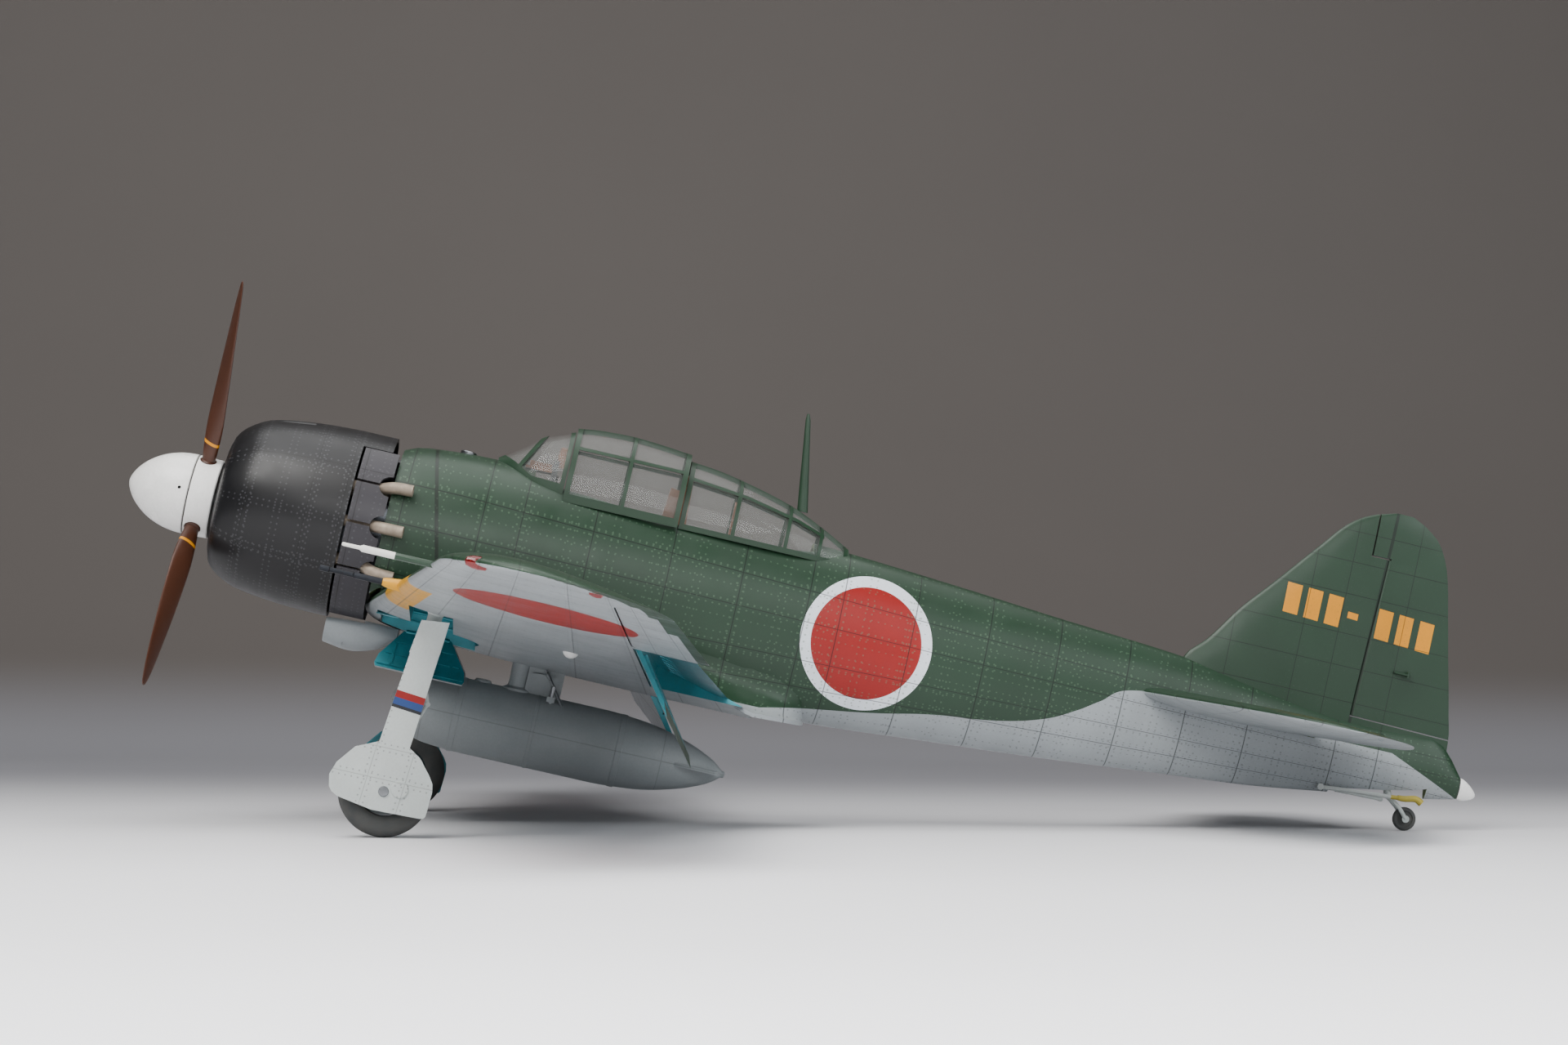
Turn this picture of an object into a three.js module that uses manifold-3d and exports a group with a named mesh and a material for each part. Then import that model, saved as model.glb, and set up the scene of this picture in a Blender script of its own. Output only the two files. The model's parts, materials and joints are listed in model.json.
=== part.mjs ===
// A 1/24 low-wing warbird model: hollow shells, moving controls, folding landing gear and an
// electric power train. Millimetres, +X to the pilot's left, nose towards -Y, +Z up.
// The airframe is drawn level (s = distance aft of the spinner tip, t = height over the thrust
// line) and is then tilted nose-up onto its wheels.
import * as THREE from "three";
import { mergeVertices } from "three/addons/utils/BufferGeometryUtils.js";
import Module from "manifold-3d";

const wasm = await Module();
wasm.setup();

// ---- Driving dimensions ------------------------------------------------------------------------------
const SPAN = 458;
const LENGTH = 382.2;
const GROUND_ANGLE = THREE.MathUtils.degToRad(12.3);
const WALL = 1.2;
const SKIN_GAP = 0.3;
const HINGE_GAP = 0.45;

const PROP_RADIUS = 63.5;
const SPINNER_RADIUS = 11;
const SPINNER_LENGTH = 17;
const BACKPLATE_LENGTH = 7;
const PROP_STATION = 20;
const BLADE_ANGLES = [25, 145, 265];
const SHAFT_RADIUS = 1.5;
const MOTOR_RADIUS = 9;

const COWL_FRONT = 25.2;
const COWL_REAR = 60.5;
const COWL_TOP_REAR = 68.6;
const COWL_RADIUS = 25.8;
const COWL_RISE = 1.7;
const COWL_WALL = 1;
const COWL_FLAP_LENGTH = 10;
const COWL_FLAP_EDGES = [55, 27, 1, -27, -73];
const FIREWALL = 71;

const TYRE_RADIUS = 11.8;
const TYRE_WIDTH = 6.4;
const WHEEL_TRACK = 146;
const WHEEL_STATION = 88.7;
const GEAR_PIVOT_HEIGHT = -14;
const AXLE_HEIGHT = -63.4;
const GEAR_RETRACT = THREE.MathUtils.degToRad(85.5);
const WELL_GAP = 1;
const LEG_RADIUS = 1.9;
const COVER_THICKNESS = 0.8;
const COVER_OFFSET = 5.5;
const COVER_WIDTH = 7;
const DOOR_SPLAY = THREE.MathUtils.degToRad(28);

const TAIL_WHEEL_RADIUS = 3.3;
const TAIL_WHEEL_WIDTH = 2;
const TAIL_WHEEL_STATION = 364;

const FLAP_REST = THREE.MathUtils.degToRad(52);
const FLAP_THICKNESS = 1.1;
const FLAP_BARREL = 0.78;
const TANK_RADIUS = 10.2;
const TANK_HEIGHT = -42.2;

// ---- Where the drawing's stations go when the span or the length changes -----------------------------
const DRAWN_LENGTH = 382.2;
const TAIL_BREAK = 200;
const DRAWN_SEMI_SPAN = 229;
const SPAN_BREAK = 92;

function aft(s) {
  if (s <= TAIL_BREAK) return s;
  return TAIL_BREAK + ((s - TAIL_BREAK) * (LENGTH - TAIL_BREAK)) / (DRAWN_LENGTH - TAIL_BREAK);
}

function outboard(x) {
  if (x <= SPAN_BREAK) return x;
  return SPAN_BREAK + ((x - SPAN_BREAK) * (SPAN / 2 - SPAN_BREAK)) / (DRAWN_SEMI_SPAN - SPAN_BREAK);
}

// ---- Solids ------------------------------------------------------------------------------------------
function solid(geometry) {
  const bare = geometry.index ? geometry.toNonIndexed() : geometry.clone();
  const cleaned = new THREE.BufferGeometry().setAttribute("position", bare.getAttribute("position"));
  const merged = mergeVertices(cleaned, 1e-4);
  const triVerts = new Uint32Array(merged.index.array);
  const vertProperties = merged.attributes.position.array;
  let made = new wasm.Manifold(new wasm.Mesh({ numProp: 3, vertProperties, triVerts }));
  if (made.volume() < 0) {
    for (let i = 0; i < triVerts.length; i += 3) {
      [triVerts[i + 1], triVerts[i + 2]] = [triVerts[i + 2], triVerts[i + 1]];
    }
    made = new wasm.Manifold(new wasm.Mesh({ numProp: 3, vertProperties, triVerts }));
  }
  return made;
}

function geometryOf(shape) {
  const mesh = shape.getMesh();
  const geometry = new THREE.BufferGeometry();
  geometry.setAttribute("position", new THREE.BufferAttribute(new Float32Array(mesh.vertProperties), 3));
  geometry.setIndex(new THREE.BufferAttribute(new Uint32Array(mesh.triVerts), 1));
  return geometry;
}

function moved(shape, matrix) {
  return solid(geometryOf(shape).applyMatrix4(matrix));
}

function mirrored(shape) {
  return moved(shape, new THREE.Matrix4().makeScale(-1, 1, 1));
}

function turned(shape, pivot, axis, angle) {
  const matrix = new THREE.Matrix4().makeTranslation(pivot.x, pivot.y, pivot.z);
  matrix.multiply(new THREE.Matrix4().makeRotationAxis(axis, angle));
  matrix.multiply(new THREE.Matrix4().makeTranslation(-pivot.x, -pivot.y, -pivot.z));
  return moved(shape, matrix);
}

function point(x, s, t) {
  return new THREE.Vector3(x, s, t);
}

// A closed body through rings of points, with a fan on each end.
function loft(rings) {
  const count = rings[0].length;
  const points = rings.flat();
  const index = [];
  for (let r = 0; r + 1 < rings.length; r++) {
    for (let i = 0; i < count; i++) {
      const a = r * count + i;
      const b = r * count + ((i + 1) % count);
      index.push(a, b, b + count, a, b + count, a + count);
    }
  }
  for (const end of [0, rings.length - 1]) {
    const middle = new THREE.Vector3();
    rings[end].forEach((p) => middle.add(p));
    points.push(middle.divideScalar(count));
    const hub = points.length - 1;
    for (let i = 0; i < count; i++) {
      const a = end * count + i;
      const b = end * count + ((i + 1) % count);
      if (end === 0) index.push(hub, b, a);
      else index.push(hub, a, b);
    }
  }
  const geometry = new THREE.BufferGeometry().setFromPoints(points);
  geometry.setIndex(index);
  return solid(geometry);
}

function box(low, high) {
  const size = high.clone().sub(low);
  const geometry = new THREE.BoxGeometry(size.x, size.y, size.z);
  const middle = low.clone().add(high).multiplyScalar(0.5);
  return solid(geometry.translate(middle.x, middle.y, middle.z));
}

function rod(from, to, r0, r1, sides = 12) {
  const along = to.clone().sub(from);
  const geometry = new THREE.CylinderGeometry(r1, r0, along.length(), sides);
  const turn = new THREE.Quaternion().setFromUnitVectors(point(0, 1, 0), along.clone().normalize());
  geometry.applyQuaternion(turn);
  const middle = from.clone().add(to).multiplyScalar(0.5);
  return solid(geometry.translate(middle.x, middle.y, middle.z));
}

function pipe(points, radius, sides = 8, steps = 6) {
  const section = new THREE.Shape();
  section.absarc(0, 0, radius, 0, 2 * Math.PI);
  const extrudePath = new THREE.CatmullRomCurve3(points);
  return solid(
    new THREE.ExtrudeGeometry(section, { steps, curveSegments: sides / 2, extrudePath, bevelEnabled: false }),
  );
}

// A body of revolution about the thrust line or a line along it: [radius, station] pairs.
function turnedBody(profile, x, t, sides) {
  const outline = profile.map(([r, s]) => new THREE.Vector2(r, s));
  const geometry = new THREE.LatheGeometry(outline, sides);
  return solid(geometry.translate(x, 0, t));
}

// A plate cut from an outline in the side view, from x0 to x1.
function sidePlate(outline, x0, x1) {
  const shape = new THREE.Shape(outline.map(([s, t]) => new THREE.Vector2(s, t)));
  const geometry = new THREE.ExtrudeGeometry(shape, { depth: x1 - x0, bevelEnabled: false });
  geometry.applyMatrix4(new THREE.Matrix4().set(0, 0, 1, x0, 1, 0, 0, 0, 0, 1, 0, 0, 0, 0, 0, 1));
  return solid(geometry);
}

function between(table, at, column) {
  let i = 1;
  while (i < table.length - 1 && table[i][0] < at) i++;
  const share = THREE.MathUtils.clamp((at - table[i - 1][0]) / (table[i][0] - table[i - 1][0]), 0, 1);
  return THREE.MathUtils.lerp(table[i - 1][column], table[i][column], share);
}

// An egg-shaped ring across the thrust line: separate powers above and below the widest line.
function eggRing(s, half, top, bottom, middle, crown, keel, sides) {
  const ring = [];
  for (let i = 0; i < sides; i++) {
    const angle = (i * 2 * Math.PI) / sides;
    const across = Math.cos(angle);
    const up = Math.sin(angle);
    const power = up >= 0 ? crown : keel;
    const reach = up >= 0 ? top - middle : middle - bottom;
    const x = half * Math.sign(across) * Math.abs(across) ** (2 / power);
    ring.push(point(x, s, middle + Math.sign(up) * reach * Math.abs(up) ** (2 / power)));
  }
  return ring;
}

// ---- Fuselage ----------------------------------------------------------------------------------------
// Station, top, bottom, half width, height of the widest line, crown power, keel power.
const FUSELAGE = [
  [FIREWALL, 25, -23.6, 23.6, 1, 2.1, 2.1],
  [76, 26.8, -23.6, 23.5, 1, 2.1, 2.2],
  [96, 28.1, -23.6, 22.6, 0, 2.2, 2.4],
  [118, 27.8, -23.6, 21.2, -1, 2.3, 2.6],
  [150, 26.8, -23.6, 19, -2, 2.3, 2.6],
  [178, 25.8, -24.1, 16.6, -2, 2.2, 2.4],
  [197, 24.9, -23.3, 15, -1.5, 2.1, 2.2],
  [225, 23.1, -21.1, 12.6, -1, 2, 2.1],
  [258, 20.6, -18.5, 9.9, 0, 2, 2],
  [290, 18.4, -15.4, 7.6, 1, 1.9, 2],
  [318, 15.2, -12.8, 5.8, 1.5, 1.8, 2],
  [342, 12.2, -9.4, 4.3, 1.5, 1.7, 2],
  [368, 11.6, -5.5, 2.6, 1.5, 1.5, 2],
  [373, 7.6, -4.5, 2, 1, 1.5, 2],
  [377, 2.6, -3.6, 1.3, 0, 1.8, 2],
];

function fuselageLoft(offset, first, last, sides = 20) {
  const stations = FUSELAGE.map((row) => row[0]).filter((s) => s > first + 0.5 && s < last - 0.5);
  return loft(
    [first, ...stations, last].map((s) => {
      const value = (column) => between(FUSELAGE, s, column);
      const half = Math.max(value(3) + offset, 0.4);
      const top = value(1) + offset;
      const bottom = value(2) - offset;
      return eggRing(aft(s), half, top, bottom, value(4), value(5), value(6), sides);
    }),
  );
}

// ---- Wing --------------------------------------------------------------------------------------------
const WING_RIBS = [0, 30, 62, 95, 121, 150, 180, 205];
const TIP_START = 205;
const TIP_STEPS = [0.45, 0.75, 0.93];
const TIP_PIVOT = 0.45;
const AIRFOIL_STEPS = [0, 0.015, 0.06, 0.15, 0.3, 0.48, 0.64, 0.8, 1];
const CAMBER = 0.033;
const CREST = 0.35;

function wingLine(x) {
  const nose = point(outboard(x), 70 + 0.11 * x, -18.6 + 0.0615 * x);
  const tail = point(outboard(x), 180 - 0.17 * x, -25.5 + 0.087 * x);
  const thickness = THREE.MathUtils.lerp(0.137, 0.09, x / DRAWN_SEMI_SPAN);
  return { nose, tail, chord: tail.y - nose.y, thickness };
}

function halfThickness(share) {
  const series = 0.2969 * Math.sqrt(share) - 0.126 * share - 0.3516 * share ** 2;
  return 5 * (series + 0.2843 * share ** 3 - 0.1036 * share ** 4) + 0.004;
}

function camber(share) {
  const reach = share < CREST ? CREST : 1 - CREST;
  return CAMBER * (1 - ((share - CREST) / reach) ** 2);
}

// Height over the chord line of the upper (+1) or lower (-1) surface, as a share of chord.
function surfaceHeight(share, side, thickness) {
  return camber(share) + side * halfThickness(share) * thickness;
}

function wingPoint(x, share, side, inset = 0, squeeze = 1) {
  const { nose, tail, chord, thickness } = wingLine(x);
  const at = TIP_PIVOT + (share - TIP_PIVOT) * squeeze;
  const p = nose.clone().lerp(tail, at);
  p.z += side === 0 ? 0 : surfaceHeight(share, side, thickness) * chord * squeeze - side * inset;
  return p;
}

function wingRing(x, inset, squeeze, steps) {
  const upper = steps.map((share) => wingPoint(x, share, 1, inset, squeeze));
  const lower = steps.map((share) => wingPoint(x, share, -1, inset, squeeze));
  return [...upper, ...lower.reverse()];
}

function wingOuter(grow = 0) {
  const rings = WING_RIBS.map((x) => wingRing(x, -grow, 1, AIRFOIL_STEPS));
  for (const q of TIP_STEPS) {
    const x = TIP_START + q * (DRAWN_SEMI_SPAN - TIP_START);
    rings.push(wingRing(x, -grow, Math.sqrt(1 - q * q), AIRFOIL_STEPS));
  }
  const last = rings[rings.length - 1].map((p) => p.clone());
  const hub = last.reduce((sum, p) => sum.add(p), new THREE.Vector3()).divideScalar(last.length);
  rings.push(last.map((p) => p.lerp(hub, 0.8).setX(SPAN / 2)));
  return loft(rings);
}

function wingHollow() {
  const steps = [0.06, 0.15, 0.3, 0.48, 0.62];
  const ribs = [-1, ...WING_RIBS.slice(1, -2)];
  return loft(ribs.map((x) => wingRing(x, WALL, 1, steps)));
}

// Everything above (+1) or below (-1) the chord surface, with the seam gap on the upper side.
function chordSide(side) {
  const lift = side > 0 ? SKIN_GAP : 0;
  return loft(
    [-1, DRAWN_SEMI_SPAN + 1].map((x) => {
      const { nose, tail } = wingLine(x);
      const height = 60 * side;
      return [
        point(nose.x, nose.y - 12, nose.z + lift + 0.75),
        point(tail.x, tail.y + 12, tail.z + lift - 0.75),
        point(tail.x, tail.y + 12, tail.z + height),
        point(nose.x, nose.y - 12, nose.z + height),
      ];
    }),
  );
}

// ---- Hinged control surfaces -------------------------------------------------------------------------
// A frame on a hinge line: first axis along it, second aft, third up.
function hingeFrame(from, to, aftward) {
  const along = to.clone().sub(from).normalize();
  const up = along.clone().cross(aftward).normalize();
  const back = up.clone().cross(along).normalize();
  return { along, up, back };
}

function hingeBlock(from, to, aftward, reach, height, grow) {
  const { along, up, back } = hingeFrame(from, to, aftward);
  const length = from.distanceTo(to) + 2 * grow;
  const geometry = new THREE.BoxGeometry(length, reach + grow, 2 * height);
  geometry.translate(length / 2 - grow, (reach - grow) / 2, 0);
  const matrix = new THREE.Matrix4().makeBasis(along, back, up).setPosition(from);
  return solid(geometry.applyMatrix4(matrix));
}

function hingeBarrel(from, to, r0, r1, grow) {
  const along = to.clone().sub(from).normalize().multiplyScalar(grow);
  return rod(from.clone().sub(along), to.clone().add(along), r0 + grow, r1 + grow, 16);
}

// Splits a surface at a hinge line: what moves, and what has to be cut from what stays.
function controlSurface(outer, from, to, aftward, reach, height, r0, r1) {
  const block = hingeBlock(from, to, aftward, reach, height, 0);
  const barrel = hingeBarrel(from, to, r0, r1, 0);
  const cutter = hingeBlock(from, to, aftward, reach, height, HINGE_GAP);
  const roundCut = hingeBarrel(from, to, r0, r1, HINGE_GAP);
  return { moving: outer.intersect(block).add(barrel), cutter: cutter.add(roundCut) };
}

// ---- Node list ---------------------------------------------------------------------------------------
const group = new THREE.Group();
const airframe = new THREE.Group();
group.add(airframe);

function finish(color, roughness, metalness = 0) {
  return { color, roughness, metalness };
}

const GREEN = finish(0x3a5a40, 0.5);
const GREY = finish(0xa9aeb0, 0.5);
const CHARCOAL = finish(0x3a3a3c, 0.55);
const PLUM = finish(0x4a474c, 0.5);
const IVORY = finish(0xe4e4e2, 0.35);
const BROWN = finish(0x5e3a2a, 0.5);
const GLASS = finish(0xdfe8ea, 0.08);
const STEEL = finish(0x8c8f92, 0.35, 1);
const COVER_GREY = finish(0xbfc6c4, 0.5);
const TYRE = finish(0x3c3f40, 0.85);
const TEAL = finish(0x1f6e78, 0.35, 0.4);
const TANK_GREY = finish(0x8e9496, 0.5);
const EXHAUST = finish(0x9c8f80, 0.6);
const OLIVE = finish(0xa39338, 0.5);
const COCKPIT_GREEN = finish(0x6f7f4f, 0.6);
const BLACK = finish(0x1d1e20, 0.5);
const BLUE = finish(0x2f4f9e, 0.5);
const CIRCUIT = finish(0x1f5c33, 0.4);

function add(name, shape, look) {
  const material = new THREE.MeshStandardMaterial(look);
  const mesh = new THREE.Mesh(geometryOf(shape), material);
  mesh.name = name;
  airframe.add(mesh);
  return mesh;
}

function addPair(name, shape, look) {
  add(name + "_left", shape, look);
  add(name + "_right", mirrored(shape), look);
}

// ---- Wing skins, ailerons and flaps ------------------------------------------------------------------
const HINGE_SHARE = 0.76;
const AILERON_SPAN = [123, 203];
const FLAP_SPAN = [28, 119];
const AFTWARD = point(0, 1, 0);

const wing = wingOuter();
const hollow = wingHollow();

function hingePoint(x) {
  return wingPoint(x, HINGE_SHARE, 1).add(wingPoint(x, HINGE_SHARE, -1)).multiplyScalar(0.5);
}

function hingeRadius(x) {
  return wingPoint(x, HINGE_SHARE, 1).z - hingePoint(x).z - 0.02;
}

const [aileronIn, aileronOut] = AILERON_SPAN;
const aileron = controlSurface(
  wing,
  hingePoint(aileronIn),
  hingePoint(aileronOut),
  AFTWARD,
  40,
  8,
  hingeRadius(aileronIn),
  hingeRadius(aileronOut),
);

// The split flap is the lower skin aft of its hinge; the upper skin stays over it.
const [flapIn, flapOut] = FLAP_SPAN;
const flapHinge = [wingPoint(flapIn, HINGE_SHARE, -1), wingPoint(flapOut, HINGE_SHARE, -1)];
flapHinge.forEach((p) => (p.z += FLAP_THICKNESS / 2));
const flapAxis = flapHinge[1].clone().sub(flapHinge[0]).normalize();

function flapLayer(grow, roof) {
  const shares = [HINGE_SHARE - grow / 80, 0.88, 1.06];
  const rings = [flapIn - 4, flapOut + 4].map((x) => {
    const low = shares.map((share) => wingPoint(x, share, -1, -3));
    const high = shares.map((share) => wingPoint(x, share, -1, roof));
    return [...low, ...high.reverse()];
  });
  return loft(rings);
}

const flapSlab = hingeBlock(flapHinge[0], flapHinge[1], AFTWARD, 34, 12, 0);
const flapClosed = wing.intersect(flapSlab).intersect(flapLayer(0, FLAP_THICKNESS));
const flapBarrel = rod(flapHinge[0], flapHinge[1], FLAP_BARREL, FLAP_BARREL, 8);
const flap = turned(flapClosed.add(flapBarrel), flapHinge[0], flapAxis, -FLAP_REST);
const flapBarrelCut = hingeBarrel(flapHinge[0], flapHinge[1], FLAP_BARREL, FLAP_BARREL, HINGE_GAP);
const flapSpace = hingeBlock(flapHinge[0], flapHinge[1], AFTWARD, 40, 14, HINGE_GAP).intersect(
  loft(
    [flapIn - 2, flapOut + 2].map((x) => {
      const shares = [HINGE_SHARE - 0.03, 0.86, 0.94, 1.1];
      const low = shares.map((share) => wingPoint(x, share, -1, -8));
      const high = shares.map((share) => {
        const roof = wingPoint(x, Math.min(share, 1), 1, 1);
        const floor = wingPoint(x, Math.min(share, 1), -1, FLAP_THICKNESS + HINGE_GAP);
        return wingPoint(x, share, -1, -8).setZ(Math.max(roof.z, floor.z));
      });
      return [...low, ...high.reverse()];
    }),
  ),
);
const flapBay = flapSpace.add(flapBarrelCut);

// Landing gear lies folded in a round well and a slot that opens downwards.
const pivot = point(WHEEL_TRACK / 2, WHEEL_STATION + 2.6, GEAR_PIVOT_HEIGHT);
const axle = point(WHEEL_TRACK / 2, WHEEL_STATION, AXLE_HEIGHT);
const LEG_LENGTH = GEAR_PIVOT_HEIGHT - AXLE_HEIGHT;
const foldedAxle = point(
  pivot.x - LEG_LENGTH * Math.sin(GEAR_RETRACT),
  WHEEL_STATION,
  pivot.z - LEG_LENGTH * Math.cos(GEAR_RETRACT),
);
const WELL_RADIUS = TYRE_RADIUS + WELL_GAP + 1.4;
const WELL_ROOF = foldedAxle.z + TYRE_WIDTH / 2 + WELL_GAP;
const wheelWell = rod(
  point(foldedAxle.x, foldedAxle.y, -60),
  point(foldedAxle.x, foldedAxle.y, WELL_ROOF),
  WELL_RADIUS,
  WELL_RADIUS,
  24,
);
const legSlot = box(
  point(foldedAxle.x, WHEEL_STATION - COVER_WIDTH / 2 - WELL_GAP, -60),
  point(pivot.x + LEG_RADIUS + 5, WHEEL_STATION + 2.6 + COVER_WIDTH / 2 + WELL_GAP, GEAR_PIVOT_HEIGHT + 3.4),
);
const doorHinge = foldedAxle.x - WELL_RADIUS - 4;
const doorBay = box(
  point(doorHinge - 1, WHEEL_STATION - WELL_RADIUS + 1, -60),
  point(foldedAxle.x, WHEEL_STATION + WELL_RADIUS - 1, WELL_ROOF - 4.5),
);
const gearCuts = wheelWell.add(legSlot).add(doorBay);

const upperBlank = wing.intersect(chordSide(1)).subtract(hollow).subtract(aileron.cutter);
const rootTrim = box(point(-2, 60, -60), point(SKIN_GAP / 2, 200, 20));
const upperLeft = upperBlank.subtract(gearCuts).subtract(flapBay).subtract(rootTrim);
const lowerLeft = wing
  .intersect(chordSide(-1))
  .subtract(hollow)
  .subtract(aileron.cutter)
  .subtract(gearCuts)
  .subtract(flapBay);
addPair("wing_upper_skin", upperLeft, GREEN);
add("wing_lower_skin", lowerLeft.add(mirrored(lowerLeft)), GREY);
addPair("aileron", aileron.moving, GREEN);
addPair("flap", flap, GREY);

// ---- Fuselage shell, fin and tailplane ---------------------------------------------------------------
const FIN_OUTLINE = [
  // height, leading edge, trailing edge, thickness
  [6, 290, 371.8, 5.4],
  [12.6, 292, 371.4, 5],
  [19.1, 294, 370, 4.6],
  [24.2, 298.7, 368.9, 4.4],
  [34.8, 306, 366.4, 4],
  [44.6, 314.2, 364.2, 3.6],
  [57.3, 324.5, 361.1, 3],
  [64.5, 330.6, 357.6, 2.4],
  [68.4, 336.4, 353, 1.8],
  [70.6, 343.5, 348.5, 0.8],
];
const FIN_STEPS = [0, 0.03, 0.12, 0.3, 0.6, 1];

function tailRing(place, nose, tail, thickness) {
  const reach = tail - nose;
  const sides = FIN_STEPS.map((share) => [nose + share * reach, 0.5 * thickness * tailShape(share)]);
  const port = sides.map(([s, half]) => place(s, half));
  const starboard = sides.map(([s, half]) => place(s, -half));
  return [...port, ...starboard.reverse()];
}

function tailShape(share) {
  return 1.9 * halfThickness(share) + 0.06;
}

const finOuter = loft(
  FIN_OUTLINE.map(([t, nose, tail, thickness]) =>
    tailRing((s, half) => point(half, aft(s), t), nose, tail, thickness),
  ),
);
const RUDDER_HINGE = [point(0, aft(343.6), 12.7), point(0, aft(344.6), 57.2)];
const RUDDER_BARREL = [1.9, 1.2];
const rudder = controlSurface(
  finOuter,
  RUDDER_HINGE[0],
  RUDDER_HINGE[1],
  AFTWARD,
  40,
  8,
  RUDDER_BARREL[0],
  RUDDER_BARREL[1],
);
const HORN_FRONT = aft(339.3);
const HORN_HEIGHT = RUDDER_HINGE[1].z + 0.4;
const hornFront = box(point(-6, HORN_FRONT, HORN_HEIGHT), point(6, aft(380), 80));
const hornRear = box(point(-6, RUDDER_HINGE[1].y, HORN_HEIGHT - 1.4), point(6, aft(380), 80));
const hornCut = box(point(-6, HORN_FRONT - HINGE_GAP, HORN_HEIGHT - HINGE_GAP), point(6, aft(380), 80));
add("rudder", rudder.moving.add(finOuter.intersect(hornFront.add(hornRear))), GREEN);
const rudderClear = rudder.cutter.add(hornCut);
const finRoot = fuselageLoft(SKIN_GAP, FIREWALL, 377);
add("fin", finOuter.subtract(rudderClear).subtract(finRoot), GREEN);

const TAILPLANE_HEIGHT = 6;
const TAIL_OUTLINE = [
  // half span, leading edge, trailing edge, thickness
  [0, 281.3, 353, 5.6],
  [20, 287, 353.5, 5],
  [45, 294.5, 350.5, 4.2],
  [68, 301.5, 345, 3.4],
  [82, 307, 339.5, 2.6],
  [90, 313, 334, 1.8],
  [95.3, 321, 326, 0.8],
];
const ELEVATOR_HINGE = 331.5;
const ELEVATOR_SPAN = [8.5, 87];
const JOINER_RADIUS = 1.2;

function tailplaneHalf(from) {
  return loft(
    TAIL_OUTLINE.map(([x, nose, tail, thickness]) =>
      tailRing((s, half) => point(Math.max(x, from), aft(s), TAILPLANE_HEIGHT + half), nose, tail, thickness),
    ),
  );
}

const stabOuter = tailplaneHalf(0);
const elevator = controlSurface(
  stabOuter,
  point(ELEVATOR_SPAN[0], aft(ELEVATOR_HINGE), TAILPLANE_HEIGHT),
  point(ELEVATOR_SPAN[1], aft(ELEVATOR_HINGE), TAILPLANE_HEIGHT),
  AFTWARD,
  40,
  8,
  1.9,
  1,
);
const joiner = rod(
  point(SKIN_GAP / 2, aft(ELEVATOR_HINGE), TAILPLANE_HEIGHT),
  point(ELEVATOR_SPAN[0] + 2, aft(ELEVATOR_HINGE), TAILPLANE_HEIGHT),
  JOINER_RADIUS,
  JOINER_RADIUS,
);
const joinerRoom = JOINER_RADIUS + 0.6;
const joinerBay = box(
  point(-1, aft(ELEVATOR_HINGE) - joinerRoom, TAILPLANE_HEIGHT - joinerRoom),
  point(ELEVATOR_SPAN[0] + 1, aft(ELEVATOR_HINGE) + joinerRoom, TAILPLANE_HEIGHT + joinerRoom),
);
const stabTrim = box(point(-1, aft(ELEVATOR_HINGE) - 2.6, -5), point(ELEVATOR_SPAN[0], aft(370), 15));
const stabLeft = stabOuter.subtract(elevator.cutter).subtract(stabTrim);
add("tailplane", stabLeft.add(mirrored(stabLeft)), GREEN);
addPair("elevator", elevator.moving.add(joiner), GREEN);

const SILL = 20.4;
const COCKPIT = { front: 107, rear: 186, half: 12.6 };
const stabSlot = loft(
  [0, 1].map((k) =>
    [
      [279.5, 0.6],
      [284, 3.4],
      [300, 4],
      [330, 2.6],
      [330, -2.6],
      [300, -4],
      [284, -3.4],
      [279.5, -0.6],
    ].map(([s, h]) => point(k * 14 - 1, aft(s), TAILPLANE_HEIGHT + h)),
  ),
);
const wingSaddle = loft(
  [-1, 40].map((x) => {
    const steps = [0, 0.02, 0.06, 0.15, 0.3, 0.48, 0.64, 0.8, 1];
    const roof = steps.map((share) => wingPoint(x, share, 1, -SKIN_GAP));
    const nose = point(outboard(x), roof[0].y - SKIN_GAP, -60);
    const tail = point(outboard(x), roof[8].y + SKIN_GAP, -60);
    roof[0].y -= SKIN_GAP;
    roof[8].y += SKIN_GAP;
    return [...roof, tail, nose];
  }),
);
const TAIL_BAY = { front: 341, rear: 368, half: 2.1 };
const tailBay = box(
  point(-TAIL_BAY.half, aft(TAIL_BAY.front), -20),
  point(TAIL_BAY.half, aft(TAIL_BAY.rear), -1),
);
const canopyHole = box(
  point(-COCKPIT.half, COCKPIT.front, 16),
  point(COCKPIT.half, COCKPIT.rear, 40),
);
const fuselageShell = fuselageLoft(0, FIREWALL, 377)
  .subtract(fuselageLoft(-WALL, FIREWALL + 1.5, 366))
  .subtract(canopyHole)
  .subtract(wingSaddle)
  .subtract(mirrored(wingSaddle))
  .subtract(stabSlot)
  .subtract(mirrored(stabSlot))
  .subtract(joinerBay)
  .subtract(mirrored(joinerBay))
  .subtract(tailBay);
const leftHalfSpace = box(point(SKIN_GAP / 2, 0, -90), point(60, LENGTH + 20, 90));
const fuselageLeft = fuselageShell.intersect(leftHalfSpace);
add("fuselage_left_half", fuselageLeft, GREEN);
add("fuselage_right_half", mirrored(fuselageLeft), GREEN);

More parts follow.
